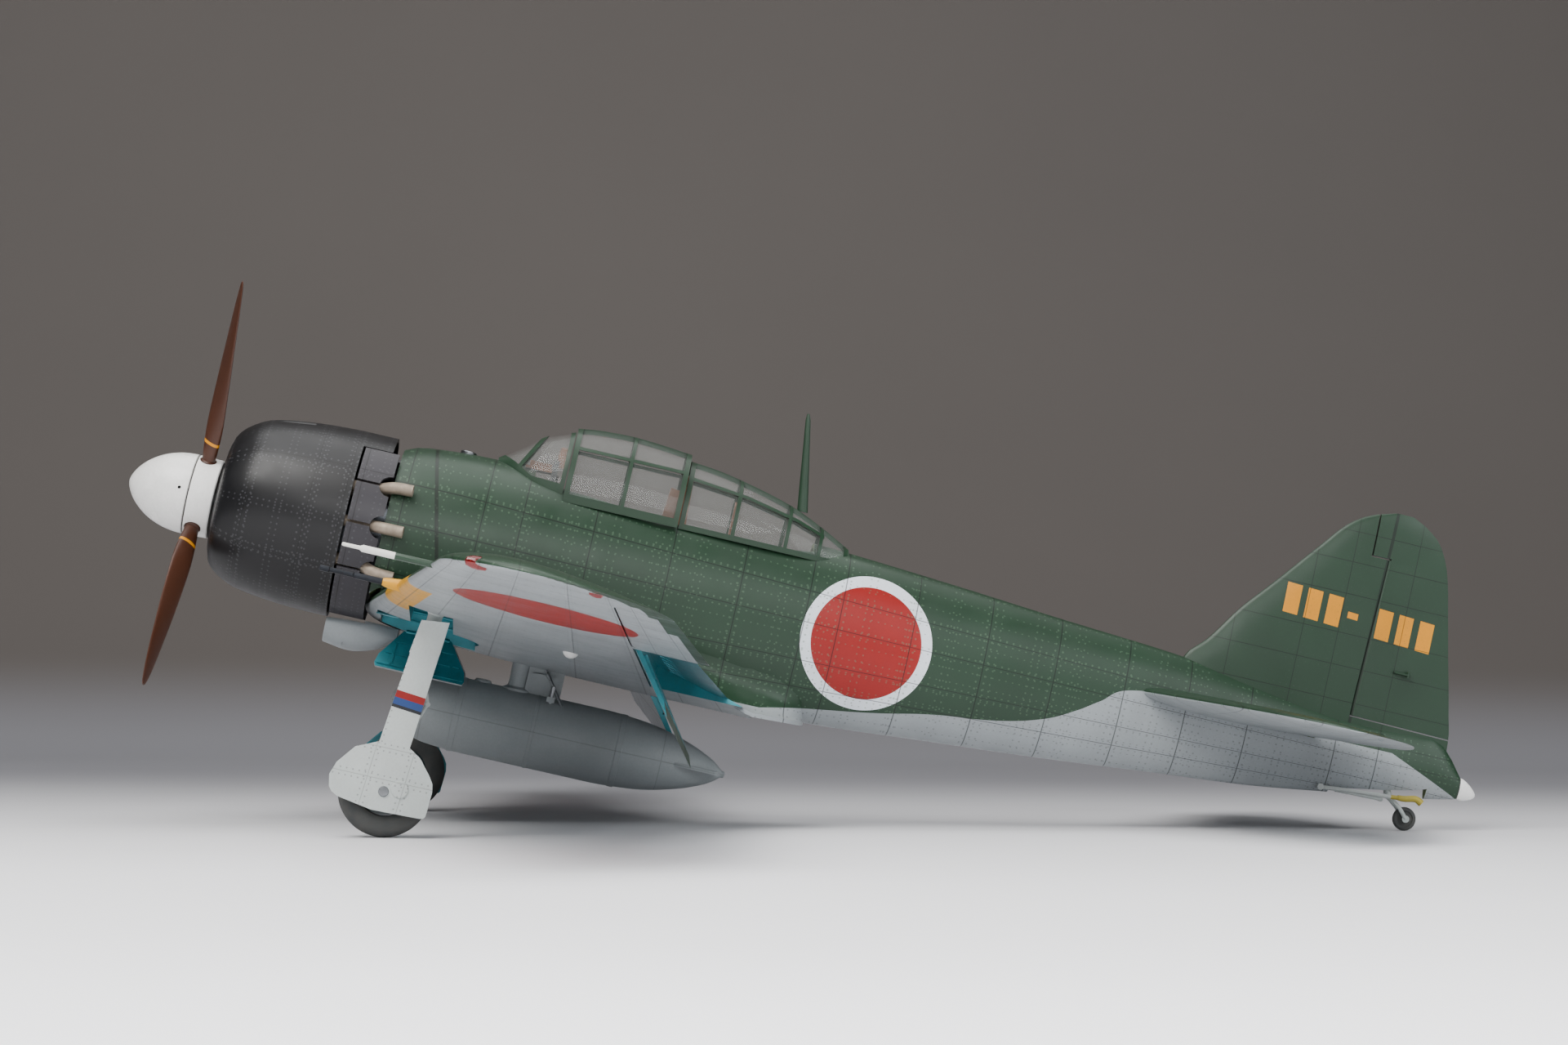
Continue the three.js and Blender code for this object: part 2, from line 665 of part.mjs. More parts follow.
// ---- Canopy: windscreen, sliding hood and fixed rear part --------------------------------------------
// Station, top, base, half width at the base, power of the arch.
const GLAZING = [
  [96.4, 28.6, 27.4, 4, 2],
  [102, 32.6, 24.2, 9.6, 2.1],
  [108, 37.2, 21.4, 12.8, 2.3],
  [115.3, 40, 20.8, 14, 2.4],
];
const REAR_GLAZING = [
  [148.2, 39.4, 20.6, 13.6, 2.3],
  [155, 38.8, 20.6, 13.4, 2.3],
  [163, 37.4, 20.6, 13, 2.3],
  [177.8, 33.7, 20.8, 11.6, 2.2],
  [187.2, 29.8, 21.4, 9.4, 2.1],
  [195.6, 25.6, 22, 5, 2],
];
const HOOD = [
  [115.9, 41.2, 20.6, 15.4, 2.4],
  [123, 42.1, 20.6, 15.4, 2.4],
  [131.2, 42.4, 20.6, 15.4, 2.4],
  [139, 42, 20.6, 15.4, 2.4],
  [147.6, 41.2, 20.6, 15.4, 2.4],
];
const GLASS_WALL = 0.9;
const ARCH_POINTS = 10;

function archRing(s, top, base, half, power, inset) {
  const ring = [];
  for (let i = 0; i <= ARCH_POINTS; i++) {
    const angle = (i * Math.PI) / ARCH_POINTS;
    const across = Math.cos(angle);
    const x = (half - inset) * Math.sign(across) * Math.abs(across) ** (2 / power);
    ring.push(point(x, s, base + (top - inset - base) * Math.sin(angle) ** (2 / power)));
  }
  const drop = 10;
  ring.push(point(-half + inset, s, base - drop), point(half - inset, s, base - drop));
  return ring;
}

function archLoft(rows, inset, overrun) {
  const first = rows[0];
  const last = rows[rows.length - 1];
  const ahead = [first[0] - overrun, ...first.slice(1)];
  const behind = [last[0] + overrun, ...last.slice(1)];
  const used = overrun > 0 ? [ahead, ...rows, behind] : rows;
  return loft(used.map(([s, top, base, half, power]) => archRing(s, top, base, half, power, inset)));
}

const saddle = fuselageLoft(SKIN_GAP, FIREWALL, 260);
const belowSill = box(point(-40, 60, -60), point(40, 260, SILL));

function glazing(rows, overrun) {
  return archLoft(rows, 0, 0).subtract(archLoft(rows, GLASS_WALL, overrun)).subtract(belowSill);
}

function largest(shape) {
  return shape.decompose().sort((a, b) => b.volume() - a.volume())[0];
}

const windscreenMouth = box(point(-20, 114.4, 0), point(20, 116, 39.2));
const windscreenRoom = windscreenMouth.intersect(archLoft(GLAZING, GLASS_WALL, 1));
const windscreen = glazing(GLAZING, 0).subtract(windscreenRoom).subtract(saddle);
add("windscreen", largest(windscreen), GLASS);
const MAST_SEAT = 181;
const mastSocket = rod(point(0, MAST_SEAT, 20), point(0, MAST_SEAT, 60), 1.5, 1.5);
const rearGlass = glazing(REAR_GLAZING, 0).add(
  archLoft([REAR_GLAZING[4], REAR_GLAZING[5]], 0, 0).subtract(belowSill),
);
const rearMouth = archLoft(REAR_GLAZING.slice(0, 2), GLASS_WALL, 1);
add("rear_canopy", largest(rearGlass.subtract(rearMouth).subtract(saddle).subtract(mastSocket)), GLASS);
const hoodMouth = archLoft(HOOD, GLASS_WALL, 2);
add("canopy_hood", archLoft(HOOD, 0, 0).subtract(hoodMouth).subtract(belowSill).subtract(saddle), GLASS);

// ---- Antenna mast, guns and pitot tube ---------------------------------------------------------------
const mast = rod(point(0, MAST_SEAT, 33.2), point(0, 176.6, 60), 1.05, 0.5, 8);
add("antenna_mast", mast.subtract(rearGlass), GREEN);

const CANNON = { x: 100, tip: 61.7, root: 79.6, radius: 0.75 };
const CANNON_HEIGHT = wingLine(CANNON.x).nose.z;
const cannon = rod(
  point(CANNON.x, CANNON.tip, CANNON_HEIGHT),
  point(CANNON.x, CANNON.root, CANNON_HEIGHT),
  CANNON.radius,
  CANNON.radius,
  8,
).add(rod(point(CANNON.x, 74, CANNON_HEIGHT), point(CANNON.x, CANNON.root + 1, CANNON_HEIGHT), 1.3, 1.9, 10));
const wingClear = wingOuter(SKIN_GAP);
addPair("cannon", cannon.subtract(wingClear), BLACK);
const PITOT = { x: 187, length: 20, radius: 0.8 };
const pitotRoot = wingLine(PITOT.x).nose;
const pitot = rod(
  point(outboard(PITOT.x), pitotRoot.y - PITOT.length, pitotRoot.z),
  point(outboard(PITOT.x), pitotRoot.y + 1, pitotRoot.z),
  PITOT.radius,
  PITOT.radius,
  8,
);
add("pitot_tube", pitot.subtract(wingClear), IVORY);

// ---- Cockpit -----------------------------------------------------------------------------------------
const TUB = { front: 110, rear: 149, half: 11.4, floor: -5.6, wall: 1 };
const tubOuter = box(point(-TUB.half, TUB.front, TUB.floor), point(TUB.half, TUB.rear, SILL - 2));
const tubInner = box(
  point(-TUB.half + TUB.wall, TUB.front + TUB.wall, TUB.floor + TUB.wall),
  point(TUB.half - TUB.wall, TUB.rear - TUB.wall, SILL + 2),
);
const stick = rod(point(0, 124, TUB.floor + 0.5), point(0, 125, 7.5), 0.7, 0.55, 8);
const stickGrip = rod(point(0, 125, 6.8), point(0, 125.2, 10.5), 0.9, 0.9, 8);
add("cockpit_tub", tubOuter.subtract(tubInner).add(stick).add(stickGrip), COCKPIT_GREEN);

const seatFloor = TUB.floor + TUB.wall + SKIN_GAP;
const seatPan = sidePlate(
  [
    [133, seatFloor],
    [143.6, seatFloor],
    [146.2, 20],
    [144.6, 20],
    [141.6, 3.4],
    [133, 2.6],
  ],
  -5.2,
  5.2,
);
const seatScoop = sidePlate(
  [
    [131, 1.6],
    [141, 2.4],
    [144, 22],
    [131, 22],
  ],
  -4.3,
  4.3,
);
add("pilot_seat", seatPan.subtract(seatScoop), OLIVE);

const PANEL = { front: 111.3, rear: 112.8, top: 31.6, base: 14, half: 11 };
const panelArch = [PANEL.front, PANEL.rear].map((s) => [s, PANEL.top, PANEL.base, PANEL.half, 2.2]);
const panelHood = archLoft(panelArch, 0, 0).subtract(box(point(-30, 100, -20), point(30, 130, SILL)));
const panelHalf = TUB.half - 1.4;
const panelFace = box(point(-panelHalf, PANEL.front, 12), point(panelHalf, PANEL.rear, SILL + 1));
const gunsight = box(point(-1.6, 112, 30), point(1.6, 116, 34.6));
add("instrument_panel", panelHood.add(panelFace).add(gunsight), BLACK);

// ---- Engine cowling and its flaps --------------------------------------------------------------------
const COWL = [
  // station, radius, height of its centre
  [COWL_FRONT, COWL_RADIUS - 10.8, 0.7],
  [COWL_FRONT + 0.8, COWL_RADIUS - 7.9, 0.8],
  [COWL_FRONT + 4, COWL_RADIUS - 4.8, 1.1],
  [COWL_FRONT + 9, COWL_RADIUS - 2.4, 1.35],
  [COWL_FRONT + 18, COWL_RADIUS - 0.9, 1.5],
  [COWL_FRONT + 27, COWL_RADIUS - 0.2, 1.6],
  [COWL_REAR, COWL_RADIUS, COWL_RISE],
  [COWL_TOP_REAR, COWL_RADIUS, COWL_RISE],
];
const COWL_SIDES = 28;

function cowlRing(s, radius, rise) {
  return eggRing(s, radius, rise + radius, rise - radius, rise, 2, 2, COWL_SIDES);
}

const cowlOuter = loft(COWL.map(([s, radius, rise]) => cowlRing(s, radius, rise)));
const cowlInner = loft(
  [0, 2, 4, 6, 7].map((i, step) => {
    const [s, radius, rise] = COWL[i];
    const overrun = [-1, 1, 0.6, 0.6, 1][step];
    return cowlRing(s + overrun, radius - COWL_WALL, rise);
  }),
);

function onCowl(degrees, radius, s) {
  const angle = THREE.MathUtils.degToRad(degrees);
  return point(radius * Math.cos(angle), s, COWL_RISE + radius * Math.sin(angle));
}

// A wedge of the space round the cowl's axis, between two angles and two stations.
function cowlSector(from, to, s0, s1, trim) {
  const corners = [from - trim, (from + to) / 2, to + trim].map((a) => onCowl(a, 60, 0));
  const rings = [s0, s1].map((s) => [
    point(0, s, COWL_RISE),
    ...corners.map((p) => point(p.x, s, p.z)),
  ]);
  return loft(rings);
}

const flapRing = box(point(-40, COWL_REAR, -40), point(40, COWL_TOP_REAR + 5, 40));
const topSegment = cowlSector(90 + 35, 90 - 35, COWL_REAR - 1, COWL_TOP_REAR + 5, 0);
const cowlShell = cowlOuter.subtract(cowlInner).subtract(flapRing.subtract(topSegment));
add("engine_cowling", cowlShell, CHARCOAL);

const CHAMBER = 0.7;
const PIPE_RADIUS = 1.6;
const PIPE_REACH = 23.7 + SKIN_GAP + PIPE_RADIUS;
const FLAP_WALL = 0.9;
const flapEnds = [COWL_REAR + CHAMBER, COWL_REAR + COWL_FLAP_LENGTH];
const flapTube = loft(flapEnds.map((s) => cowlRing(s, COWL_RADIUS, COWL_RISE)));
const boreEnds = [COWL_REAR, COWL_REAR + 15];
const flapBore = loft(boreEnds.map((s) => cowlRing(s, COWL_RADIUS - FLAP_WALL, COWL_RISE)));
const flapBand = flapTube.subtract(flapBore);
const NOTCH_RADIUS = 3.1;
const notchEdges = COWL_FLAP_EDGES.slice(1, 4);

function notchAt(degrees) {
  return rod(
    onCowl(degrees, 15, COWL_REAR + COWL_FLAP_LENGTH),
    onCowl(degrees, 35, COWL_REAR + COWL_FLAP_LENGTH),
    NOTCH_RADIUS,
    NOTCH_RADIUS,
    12,
  );
}

const notches = notchEdges.map(notchAt).reduce((all, one) => all.add(one));
for (let i = 0; i + 1 < COWL_FLAP_EDGES.length; i++) {
  const sector = cowlSector(COWL_FLAP_EDGES[i], COWL_FLAP_EDGES[i + 1], COWL_REAR, COWL_REAR + 15, 0.8);
  addPair("cowl_flap_" + (i + 1), flapBand.intersect(sector).subtract(notches), PLUM);
}

// ---- Oil cooler scoop --------------------------------------------------------------------------------
const SCOOP = [
  [60.9, 7.6, -23.4, -31],
  [67.8, 8, -22.5, -31.9],
  [75.2, 7.6, -21.5, -30.2],
  [80.5, 6, -21.5, -26.4],
];

function scoopLoft(inset, rows) {
  return loft(
    rows.map(([s, half, top, bottom], i) => {
      const reach = inset > 0 && i === 0 ? -2 : 0;
      return eggRing(s + reach, half - inset, top + inset, bottom + inset, -26, 2.4, 2.4, 16);
    }),
  );
}

const scoopShell = scoopLoft(0, SCOOP).subtract(scoopLoft(1, SCOOP.slice(0, 3)));
const saddleFront = fuselageLoft(SKIN_GAP, FIREWALL - SKIN_GAP, 120);
const bottomFlapClear = loft([60, 71.2].map((s) => cowlRing(s, COWL_RADIUS + 0.5, COWL_RISE)));
const bothWings = wingClear.add(mirrored(wingClear));
const scoop = scoopShell.subtract(saddleFront).subtract(bothWings).subtract(bottomFlapClear);
add("oil_cooler_scoop", largest(scoop), COVER_GREY);

// ---- Engine with exhaust pipes, motor, shaft, propeller and spinner ----------------------------------
const CYLINDERS = 9;
const CYLINDER_STATION = 40;
const CRANKCASE_RADIUS = 11.6;
const ENGINE_RADIUS = COWL_RADIUS - 5.3;
let engine = rod(point(0, 35, 0), point(0, 51, 0), 9, CRANKCASE_RADIUS, 18);
for (let i = 0; i < CYLINDERS; i++) {
  const angle = (i * 2 * Math.PI) / CYLINDERS;
  const outward = point(Math.sin(angle), 0, Math.cos(angle));
  const foot = outward.clone().multiplyScalar(6).setY(CYLINDER_STATION);
  const head = outward.clone().multiplyScalar(ENGINE_RADIUS).setY(CYLINDER_STATION);
  engine = engine.add(rod(foot, head, 2.9, 3.3, 6));
}
const COLLECTOR = { radius: ENGINE_RADIUS - 1.1, station: 52, pipe: 1.9 };
const collector = turnedBody(
  [
    [COLLECTOR.radius - COLLECTOR.pipe, COLLECTOR.station - COLLECTOR.pipe],
    [COLLECTOR.radius + COLLECTOR.pipe, COLLECTOR.station - COLLECTOR.pipe],
    [COLLECTOR.radius + COLLECTOR.pipe, COLLECTOR.station + COLLECTOR.pipe],
    [COLLECTOR.radius - COLLECTOR.pipe, COLLECTOR.station + COLLECTOR.pipe],
    [COLLECTOR.radius - COLLECTOR.pipe, COLLECTOR.station - COLLECTOR.pipe],
  ],
  0,
  0,
  18,
);
engine = engine.add(collector);
for (const side of [-1, 1]) {
  for (const degrees of [60, 0, -60]) {
    const angle = THREE.MathUtils.degToRad(degrees);
    const from = point(side * 10.6 * Math.cos(angle), 49.6, 10.6 * Math.sin(angle));
    const reach = COLLECTOR.radius;
    const to = point(side * reach * Math.cos(angle), COLLECTOR.station, reach * Math.sin(angle));
    engine = engine.add(rod(from, to, 1.3, 1.3, 6));
  }
  for (const degrees of notchEdges) {
    const path = [
      [COLLECTOR.radius, COLLECTOR.station],
      [COLLECTOR.radius + 2.2, COLLECTOR.station + 6],
      [PIPE_REACH - 2.8, COWL_REAR + 6],
      [PIPE_REACH, COWL_REAR + COWL_FLAP_LENGTH + 1],
      [PIPE_REACH + 0.6, COWL_REAR + COWL_FLAP_LENGTH + 6],
    ].map(([radius, s]) => {
      const p = onCowl(degrees, radius, s);
      return point(side * p.x, p.y, p.z);
    });
    engine = engine.add(pipe(path, PIPE_RADIUS, 6, 5));
  }
}
const MOTOR_FRONT = 49;
const motorRoom = MOTOR_RADIUS + 0.5;
const shaftRoom = SHAFT_RADIUS + 0.5;
const motorTunnel = rod(point(0, MOTOR_FRONT - 0.6, 0), point(0, 75, 0), motorRoom, motorRoom, 18);
const shaftTunnel = rod(point(0, 30, 0), point(0, 60, 0), shaftRoom, shaftRoom, 12);
engine = engine.subtract(motorTunnel).subtract(shaftTunnel);
add("radial_engine", largest(engine.subtract(saddleFront)), EXHAUST);

const motor = rod(
  point(0, MOTOR_FRONT, 0),
  point(0, FIREWALL - SKIN_GAP, 0),
  MOTOR_RADIUS,
  MOTOR_RADIUS,
  18,
).subtract(rod(point(0, 40, 0), point(0, 64, 0), SHAFT_RADIUS + 0.3, SHAFT_RADIUS + 0.3, 12));
add("motor_can", motor, STEEL);
const shaft = rod(point(0, BACKPLATE_LENGTH, 0), point(0, 62, 0), SHAFT_RADIUS, SHAFT_RADIUS, 12);
add("motor_shaft", shaft, STEEL);

const shaftFit = SHAFT_RADIUS + 0.05;
const shaftHole = rod(point(0, 0, 0), point(0, 80, 0), shaftFit, shaftFit, 12);
const spinnerProfile = [[0, 0]];
for (let i = 1; i <= 5; i++) {
  const share = i / 5;
  spinnerProfile.push([SPINNER_RADIUS * (1 - (1 - share) ** 2.1) ** 0.62, SPINNER_LENGTH * share]);
}
const SPINNER_INNER = SPINNER_RADIUS - 1;
const spinner = turnedBody(
  [
    ...spinnerProfile,
    [SPINNER_INNER, SPINNER_LENGTH],
    [SPINNER_INNER * 0.86, SPINNER_LENGTH * 0.6],
    [SPINNER_INNER * 0.5, SPINNER_LENGTH * 0.22],
    [0, SPINNER_LENGTH * 0.14],
  ],
  0,
  0,
  18,
);
add("spinner", spinner, IVORY);

const plateFront = SPINNER_LENGTH + SKIN_GAP;
const bladeHoles = BLADE_ANGLES.map((degrees) => {
  const angle = THREE.MathUtils.degToRad(degrees);
  return rod(
    point(0, PROP_STATION, 0),
    point(20 * Math.sin(angle), PROP_STATION, 20 * Math.cos(angle)),
    2.35,
    2.35,
    8,
  );
}).reduce((all, one) => all.add(one));
const HUB_RADIUS = 4.2;
const backplate = turnedBody(
  [
    [SHAFT_RADIUS, plateFront],
    [SPINNER_RADIUS, plateFront],
    [SPINNER_RADIUS - 0.2, SPINNER_LENGTH + BACKPLATE_LENGTH],
    [SHAFT_RADIUS, SPINNER_LENGTH + BACKPLATE_LENGTH],
    [SHAFT_RADIUS, plateFront],
  ],
  0,
  0,
  18,
);
const hubClear = HUB_RADIUS + SKIN_GAP;
const hubRoom = rod(point(0, SPINNER_LENGTH - 2, 0), point(0, PROP_STATION + 2.4, 0), hubClear, hubClear);
add("spinner_backplate", backplate.subtract(bladeHoles).subtract(hubRoom).subtract(shaftHole), IVORY);

// Blade stations: radius, chord, thickness, pitch in degrees.
const BLADE = [
  [3, 3, 3, 60],
  [9, 3.4, 3.2, 58],
  [14, 5, 2.6, 52],
  [24, 7.4, 1.9, 40],
  [36, 8, 1.4, 30],
  [48, 7, 1.1, 24],
  [58, 5, 0.8, 20],
  [PROP_RADIUS - 1, 2.6, 0.6, 18],
  [PROP_RADIUS, 1, 0.4, 18],
];
const BLADE_SIDES = 8;

function bladeLoft(degrees) {
  const spin = THREE.MathUtils.degToRad(degrees);
  const outward = point(Math.sin(spin), 0, Math.cos(spin));
  const sideways = point(Math.cos(spin), 0, -Math.sin(spin));
  return loft(
    BLADE.map(([radius, chord, thickness, pitch]) => {
      const twist = THREE.MathUtils.degToRad(pitch);
      return Array.from({ length: BLADE_SIDES }, (_, i) => {
        const angle = (i * 2 * Math.PI) / BLADE_SIDES;
        const u = 0.5 * chord * Math.cos(angle);
        const v = 0.5 * thickness * Math.sin(angle);
        const across = u * Math.cos(twist) - v * Math.sin(twist);
        const along = u * Math.sin(twist) + v * Math.cos(twist);
        return outward
          .clone()
          .multiplyScalar(radius)
          .addScaledVector(sideways, across)
          .add(point(0, PROP_STATION + along, 0));
      });
    }),
  );
}

let propeller = rod(point(0, PROP_STATION - 2, 0), point(0, PROP_STATION + 2, 0), HUB_RADIUS, HUB_RADIUS, 16);
BLADE_ANGLES.forEach((degrees) => (propeller = propeller.add(bladeLoft(degrees))));
add("propeller", propeller.subtract(shaftHole), BROWN);

// ---- Drop tank and pylon -----------------------------------------------------------------------------
const tankProfile = [
  [0, 82.6],
  [4.4, 84],
  [7.6, 87.5],
  [9.6, 94],
  [TANK_RADIUS, 104],
  [TANK_RADIUS, 140],
  [9.4, 152],
  [7, 163],
  [3.4, 172],
  [0, 176.4],
];
const TANK_WALL = 1.2;
const TANK_SIDES = 18;
const tankCore = [
  [0, 86],
  [8, 96],
  [TANK_RADIUS - TANK_WALL, 106],
  [TANK_RADIUS - TANK_WALL, 140],
  [6, 158],
  [0, 164],
];
const tankFiller = rod(point(0, 108, TANK_HEIGHT), point(0, 108, TANK_HEIGHT + 20), 2.6, 2.6);
const tank = turnedBody(tankProfile, 0, TANK_HEIGHT, TANK_SIDES)
  .add(box(point(-0.5, 161, TANK_HEIGHT - 8.4), point(0.5, 174, TANK_HEIGHT + 8.4)))
  .add(box(point(-8.4, 161, TANK_HEIGHT - 0.5), point(8.4, 174, TANK_HEIGHT + 0.5)))
  .subtract(turnedBody(tankCore, 0, TANK_HEIGHT, 12))
  .subtract(tankFiller);
const tankRoom = tankProfile.map(([r, s]) => [r > 0 ? r + SKIN_GAP : 0, s]);
const tankClear = turnedBody(tankRoom, 0, TANK_HEIGHT, TANK_SIDES);
add("drop_tank", tank, TANK_GREY);
const pylon = rod(point(0, 115.4, TANK_HEIGHT + 8), point(0, 115.4, -20), 2.5, 2.9, 14)
  .add(box(point(-2.2, 113, -33), point(2.2, 127.4, -20)))
  .add(rod(point(-5.4, 125, -34), point(5.4, 125, -34), 1.1, 1.1, 8))
  .add(box(point(-1.4, 123.4, -35), point(1.4, 126.6, -30)))
  .add(rod(point(-5.2, 125, -36), point(-5.2, 125, -33), 0.8, 0.8, 8))
  .add(rod(point(5.2, 125, -36), point(5.2, 125, -33), 0.8, 0.8, 8));
add("tank_pylon", largest(pylon.subtract(tankClear).subtract(bothWings)), TANK_GREY);

// ---- Power and radio equipment -----------------------------------------------------------------------
add("battery_pack", box(point(-9, 73.4, -4), point(9, 104, 9)), BLUE);
add("speed_controller", box(point(-6, 74, 10), point(6, 94, 14)), CIRCUIT);
add("receiver", box(point(-7, 153, 2), point(7, 173, 8)), BLACK);
const servoTray = box(point(-9.6, 200, -6), point(9.6, 222, -4.6));
const servoHorn = rod(point(4.2, 207, 6), point(4.2, 207, 10), 2, 2, 10);
const servo = box(point(1, 204, -5), point(7.4, 218, 7)).add(servoHorn);
add("tail_servos", servoTray.add(servo).add(mirrored(servo)), BLACK);

// ---- Main landing gear -------------------------------------------------------------------------------
const legTop = point(pivot.x, pivot.y, pivot.z);
const legFoot = point(axle.x, axle.y + 1.1, axle.z + TYRE_RADIUS + 2.4);
const FORK_OFFSET = TYRE_WIDTH / 2 + 1;
let leg = rod(legTop, legFoot, LEG_RADIUS, 1.5, 10);
leg = leg.add(rod(point(pivot.x, pivot.y - 4, pivot.z), point(pivot.x, pivot.y + 4, pivot.z), 1.7, 1.7, 8));
const forkTop = point(axle.x + FORK_OFFSET, axle.y + 0.9, axle.z + TYRE_RADIUS + 1.6);
leg = leg.add(rod(legFoot.clone().add(point(0, 0, 0.6)), forkTop, 1.2, 1, 8));
const forkFoot = axle.clone().setX(axle.x + FORK_OFFSET);
leg = leg.add(rod(forkTop.clone().add(point(0, 0, 0.6)), forkFoot, 0.75, 0.75, 8));
leg = leg.add(rod(forkFoot.clone().add(point(0.6, 0, 0)), axle.clone().setX(axle.x - 3), 0.9, 0.9, 10));
addPair("gear_leg", leg, COVER_GREY);

const COVER_X = WHEEL_TRACK / 2 + COVER_OFFSET;
const wheelCoverOutline = [
  // from the axle: aft, up
  [-13.6, -1.6],
  [-11.1, -3.6],
  [-2, -5.1],
  [10.2, -4.7],
  [11.5, -4.4],
  [11.9, 2.4],
  [10.4, 6.1],
  [7, 10.1],
  [3.9, 12],
  [COVER_WIDTH / 2 + 0.6, 14],
  [COVER_WIDTH / 2 + 2.9, 43.6],
  [-COVER_WIDTH / 2 + 2.9, 43.6],
  [-COVER_WIDTH / 2 - 0.4, 12],
  [-9.4, 9.5],
  [-13.1, 4.7],
  [-14.2, 1.3],
].map(([s, t]) => [axle.y + s, axle.z + t]);
let cover = sidePlate(wheelCoverOutline, COVER_X, COVER_X + COVER_THICKNESS);
const COVER_BRACKET = axle.z + 24;
cover = cover.add(
  box(
    point(pivot.x + LEG_RADIUS + 0.15, WHEEL_STATION + 0.2, COVER_BRACKET),
    point(COVER_X + 0.2, WHEEL_STATION + 2.6, COVER_BRACKET + 3),
  ),
);
addPair("gear_cover", cover, COVER_GREY);

// A wheel's profile has a flat tread band, and one facet faces straight down.
const WHEEL_SIDES = 24;
const HUB_SIDES = 16;
const HUB_OUTER = 6.4;
const tyreFace = TYRE_RADIUS / Math.cos(Math.PI / WHEEL_SIDES);

function wheelSolid(profile, sides, x, s, t) {
  const outline = profile.map(([r, across]) => new THREE.Vector2(r, across));
  const geometry = new THREE.LatheGeometry(outline, sides);
  geometry.rotateZ(-Math.PI / 2).rotateX(Math.PI / sides + GROUND_ANGLE);
  return solid(geometry.translate(x, s, t));
}

function ringProfile(inner, outer, width, shoulder, tread) {
  return [
    [inner, -width / 2 + 0.4],
    [outer * 0.8, -width / 2],
    [outer - shoulder, -width * 0.42],
    [outer, -tread / 2],
    [outer, tread / 2],
    [outer - shoulder, width * 0.42],
    [outer * 0.8, width / 2],
    [inner, width / 2 - 0.4],
    [inner, -width / 2 + 0.4],
  ];
}

const tyreProfile = ringProfile(HUB_OUTER, tyreFace, TYRE_WIDTH, 1.6, 2.2);
const tyre = wheelSolid(tyreProfile, WHEEL_SIDES, axle.x, axle.y, axle.z);
addPair("tyre", tyre, TYRE);
const HUB_BORE = 0.95;
const hub = wheelSolid(
  [
    [HUB_BORE, -2.2],
    [3, -2.4],
    [4.6, -1.2],
    [HUB_OUTER - SKIN_GAP, -2.4],
    [HUB_OUTER - SKIN_GAP, 2.4],
    [4.6, 1.2],
    [3, 2.4],
    [HUB_BORE, 2.2],
    [HUB_BORE, -2.2],
  ],
  HUB_SIDES,
  axle.x,
  axle.y,
  axle.z,
);
addPair("wheel_hub", hub, STEEL);

// ---- Inner gear doors --------------------------------------------------------------------------------
const DOOR_HEIGHT = wingPoint(doorHinge, 0.17, -1).z + 0.2;
const DOOR_LENGTH = 12.2;
const doorOutline = [
  [WHEEL_STATION - 6.6, DOOR_HEIGHT],
  [WHEEL_STATION + 6.6, DOOR_HEIGHT],
  [WHEEL_STATION + 12.4, DOOR_HEIGHT - DOOR_LENGTH + 2],
  [WHEEL_STATION + 12.4, DOOR_HEIGHT - DOOR_LENGTH],
  [WHEEL_STATION - 12.4, DOOR_HEIGHT - DOOR_LENGTH],
  [WHEEL_STATION - 12.4, DOOR_HEIGHT - DOOR_LENGTH + 2],
];
const DOOR_THICKNESS = 0.8;
const doorPlate = sidePlate(doorOutline, doorHinge, doorHinge + DOOR_THICKNESS);
const doorKnuckle = rod(
  point(doorHinge + 0.5, WHEEL_STATION - 6, DOOR_HEIGHT),
  point(doorHinge + 0.5, WHEEL_STATION + 6, DOOR_HEIGHT),
  0.6,
  0.6,
  8,
);
const doorPivot = point(doorHinge + 0.5, WHEEL_STATION, DOOR_HEIGHT);
addPair("inner_door", turned(doorPlate.add(doorKnuckle), doorPivot, AFTWARD, -DOOR_SPLAY), TEAL);

// ---- Tail: light, wheel, strut and hook --------------------------------------------------------------
const LIGHT_FRONT = aft(377) + SKIN_GAP;
const LIGHT_LENGTH = LENGTH - LIGHT_FRONT;
const tailLight = loft(
  [
    [0, 1],
    [0.35, 0.85],
    [0.7, 0.6],
    [0.92, 0.3],
    [1, 0.08],
  ].map(([along, size]) => {
    const middle = -0.5 - along;
    const s = LIGHT_FRONT + along * LIGHT_LENGTH;
    return eggRing(s, 1.25 * size, middle + 3 * size, middle - 3 * size, middle, 2, 2, 12);
  }),
);
add("tail_light", tailLight, IVORY);

const restHeight = (radius) => {
  const mainAxle = AXLE_HEIGHT * Math.cos(GROUND_ANGLE) - WHEEL_STATION * Math.sin(GROUND_ANGLE);
  const floor = mainAxle - TYRE_RADIUS;
  return (floor + radius + aft(TAIL_WHEEL_STATION) * Math.sin(GROUND_ANGLE)) / Math.cos(GROUND_ANGLE);
};
const tailAxle = point(0, aft(TAIL_WHEEL_STATION), restHeight(TAIL_WHEEL_RADIUS));
const tailSteer = point(0, tailAxle.y - 6.6, tailAxle.z + 7.2);
const strutTop = point(0, tailSteer.y - 1, tailSteer.z + 3.4);
const forkHalf = TAIL_WHEEL_WIDTH / 2 + 0.75;
const barHalf = forkHalf + 0.4;
const crown = tailSteer.clone().add(point(0, 0.7, -2));
let strut = rod(strutTop, point(0, crown.y - 0.1, crown.z + 0.4), 1.1, 1.1, 10);
strut = strut.add(rod(crown.clone().setX(-barHalf), crown.clone().setX(barHalf), 0.8, 0.8, 8));
for (const side of [-1, 1]) {
  const top = crown.clone().setX(side * forkHalf);
  strut = strut.add(rod(top, point(side * forkHalf, tailAxle.y, tailAxle.z), 0.5, 0.6, 8));
}
strut = strut.add(rod(tailAxle.clone().setX(-barHalf), tailAxle.clone().setX(barHalf), 0.5, 0.5, 8));
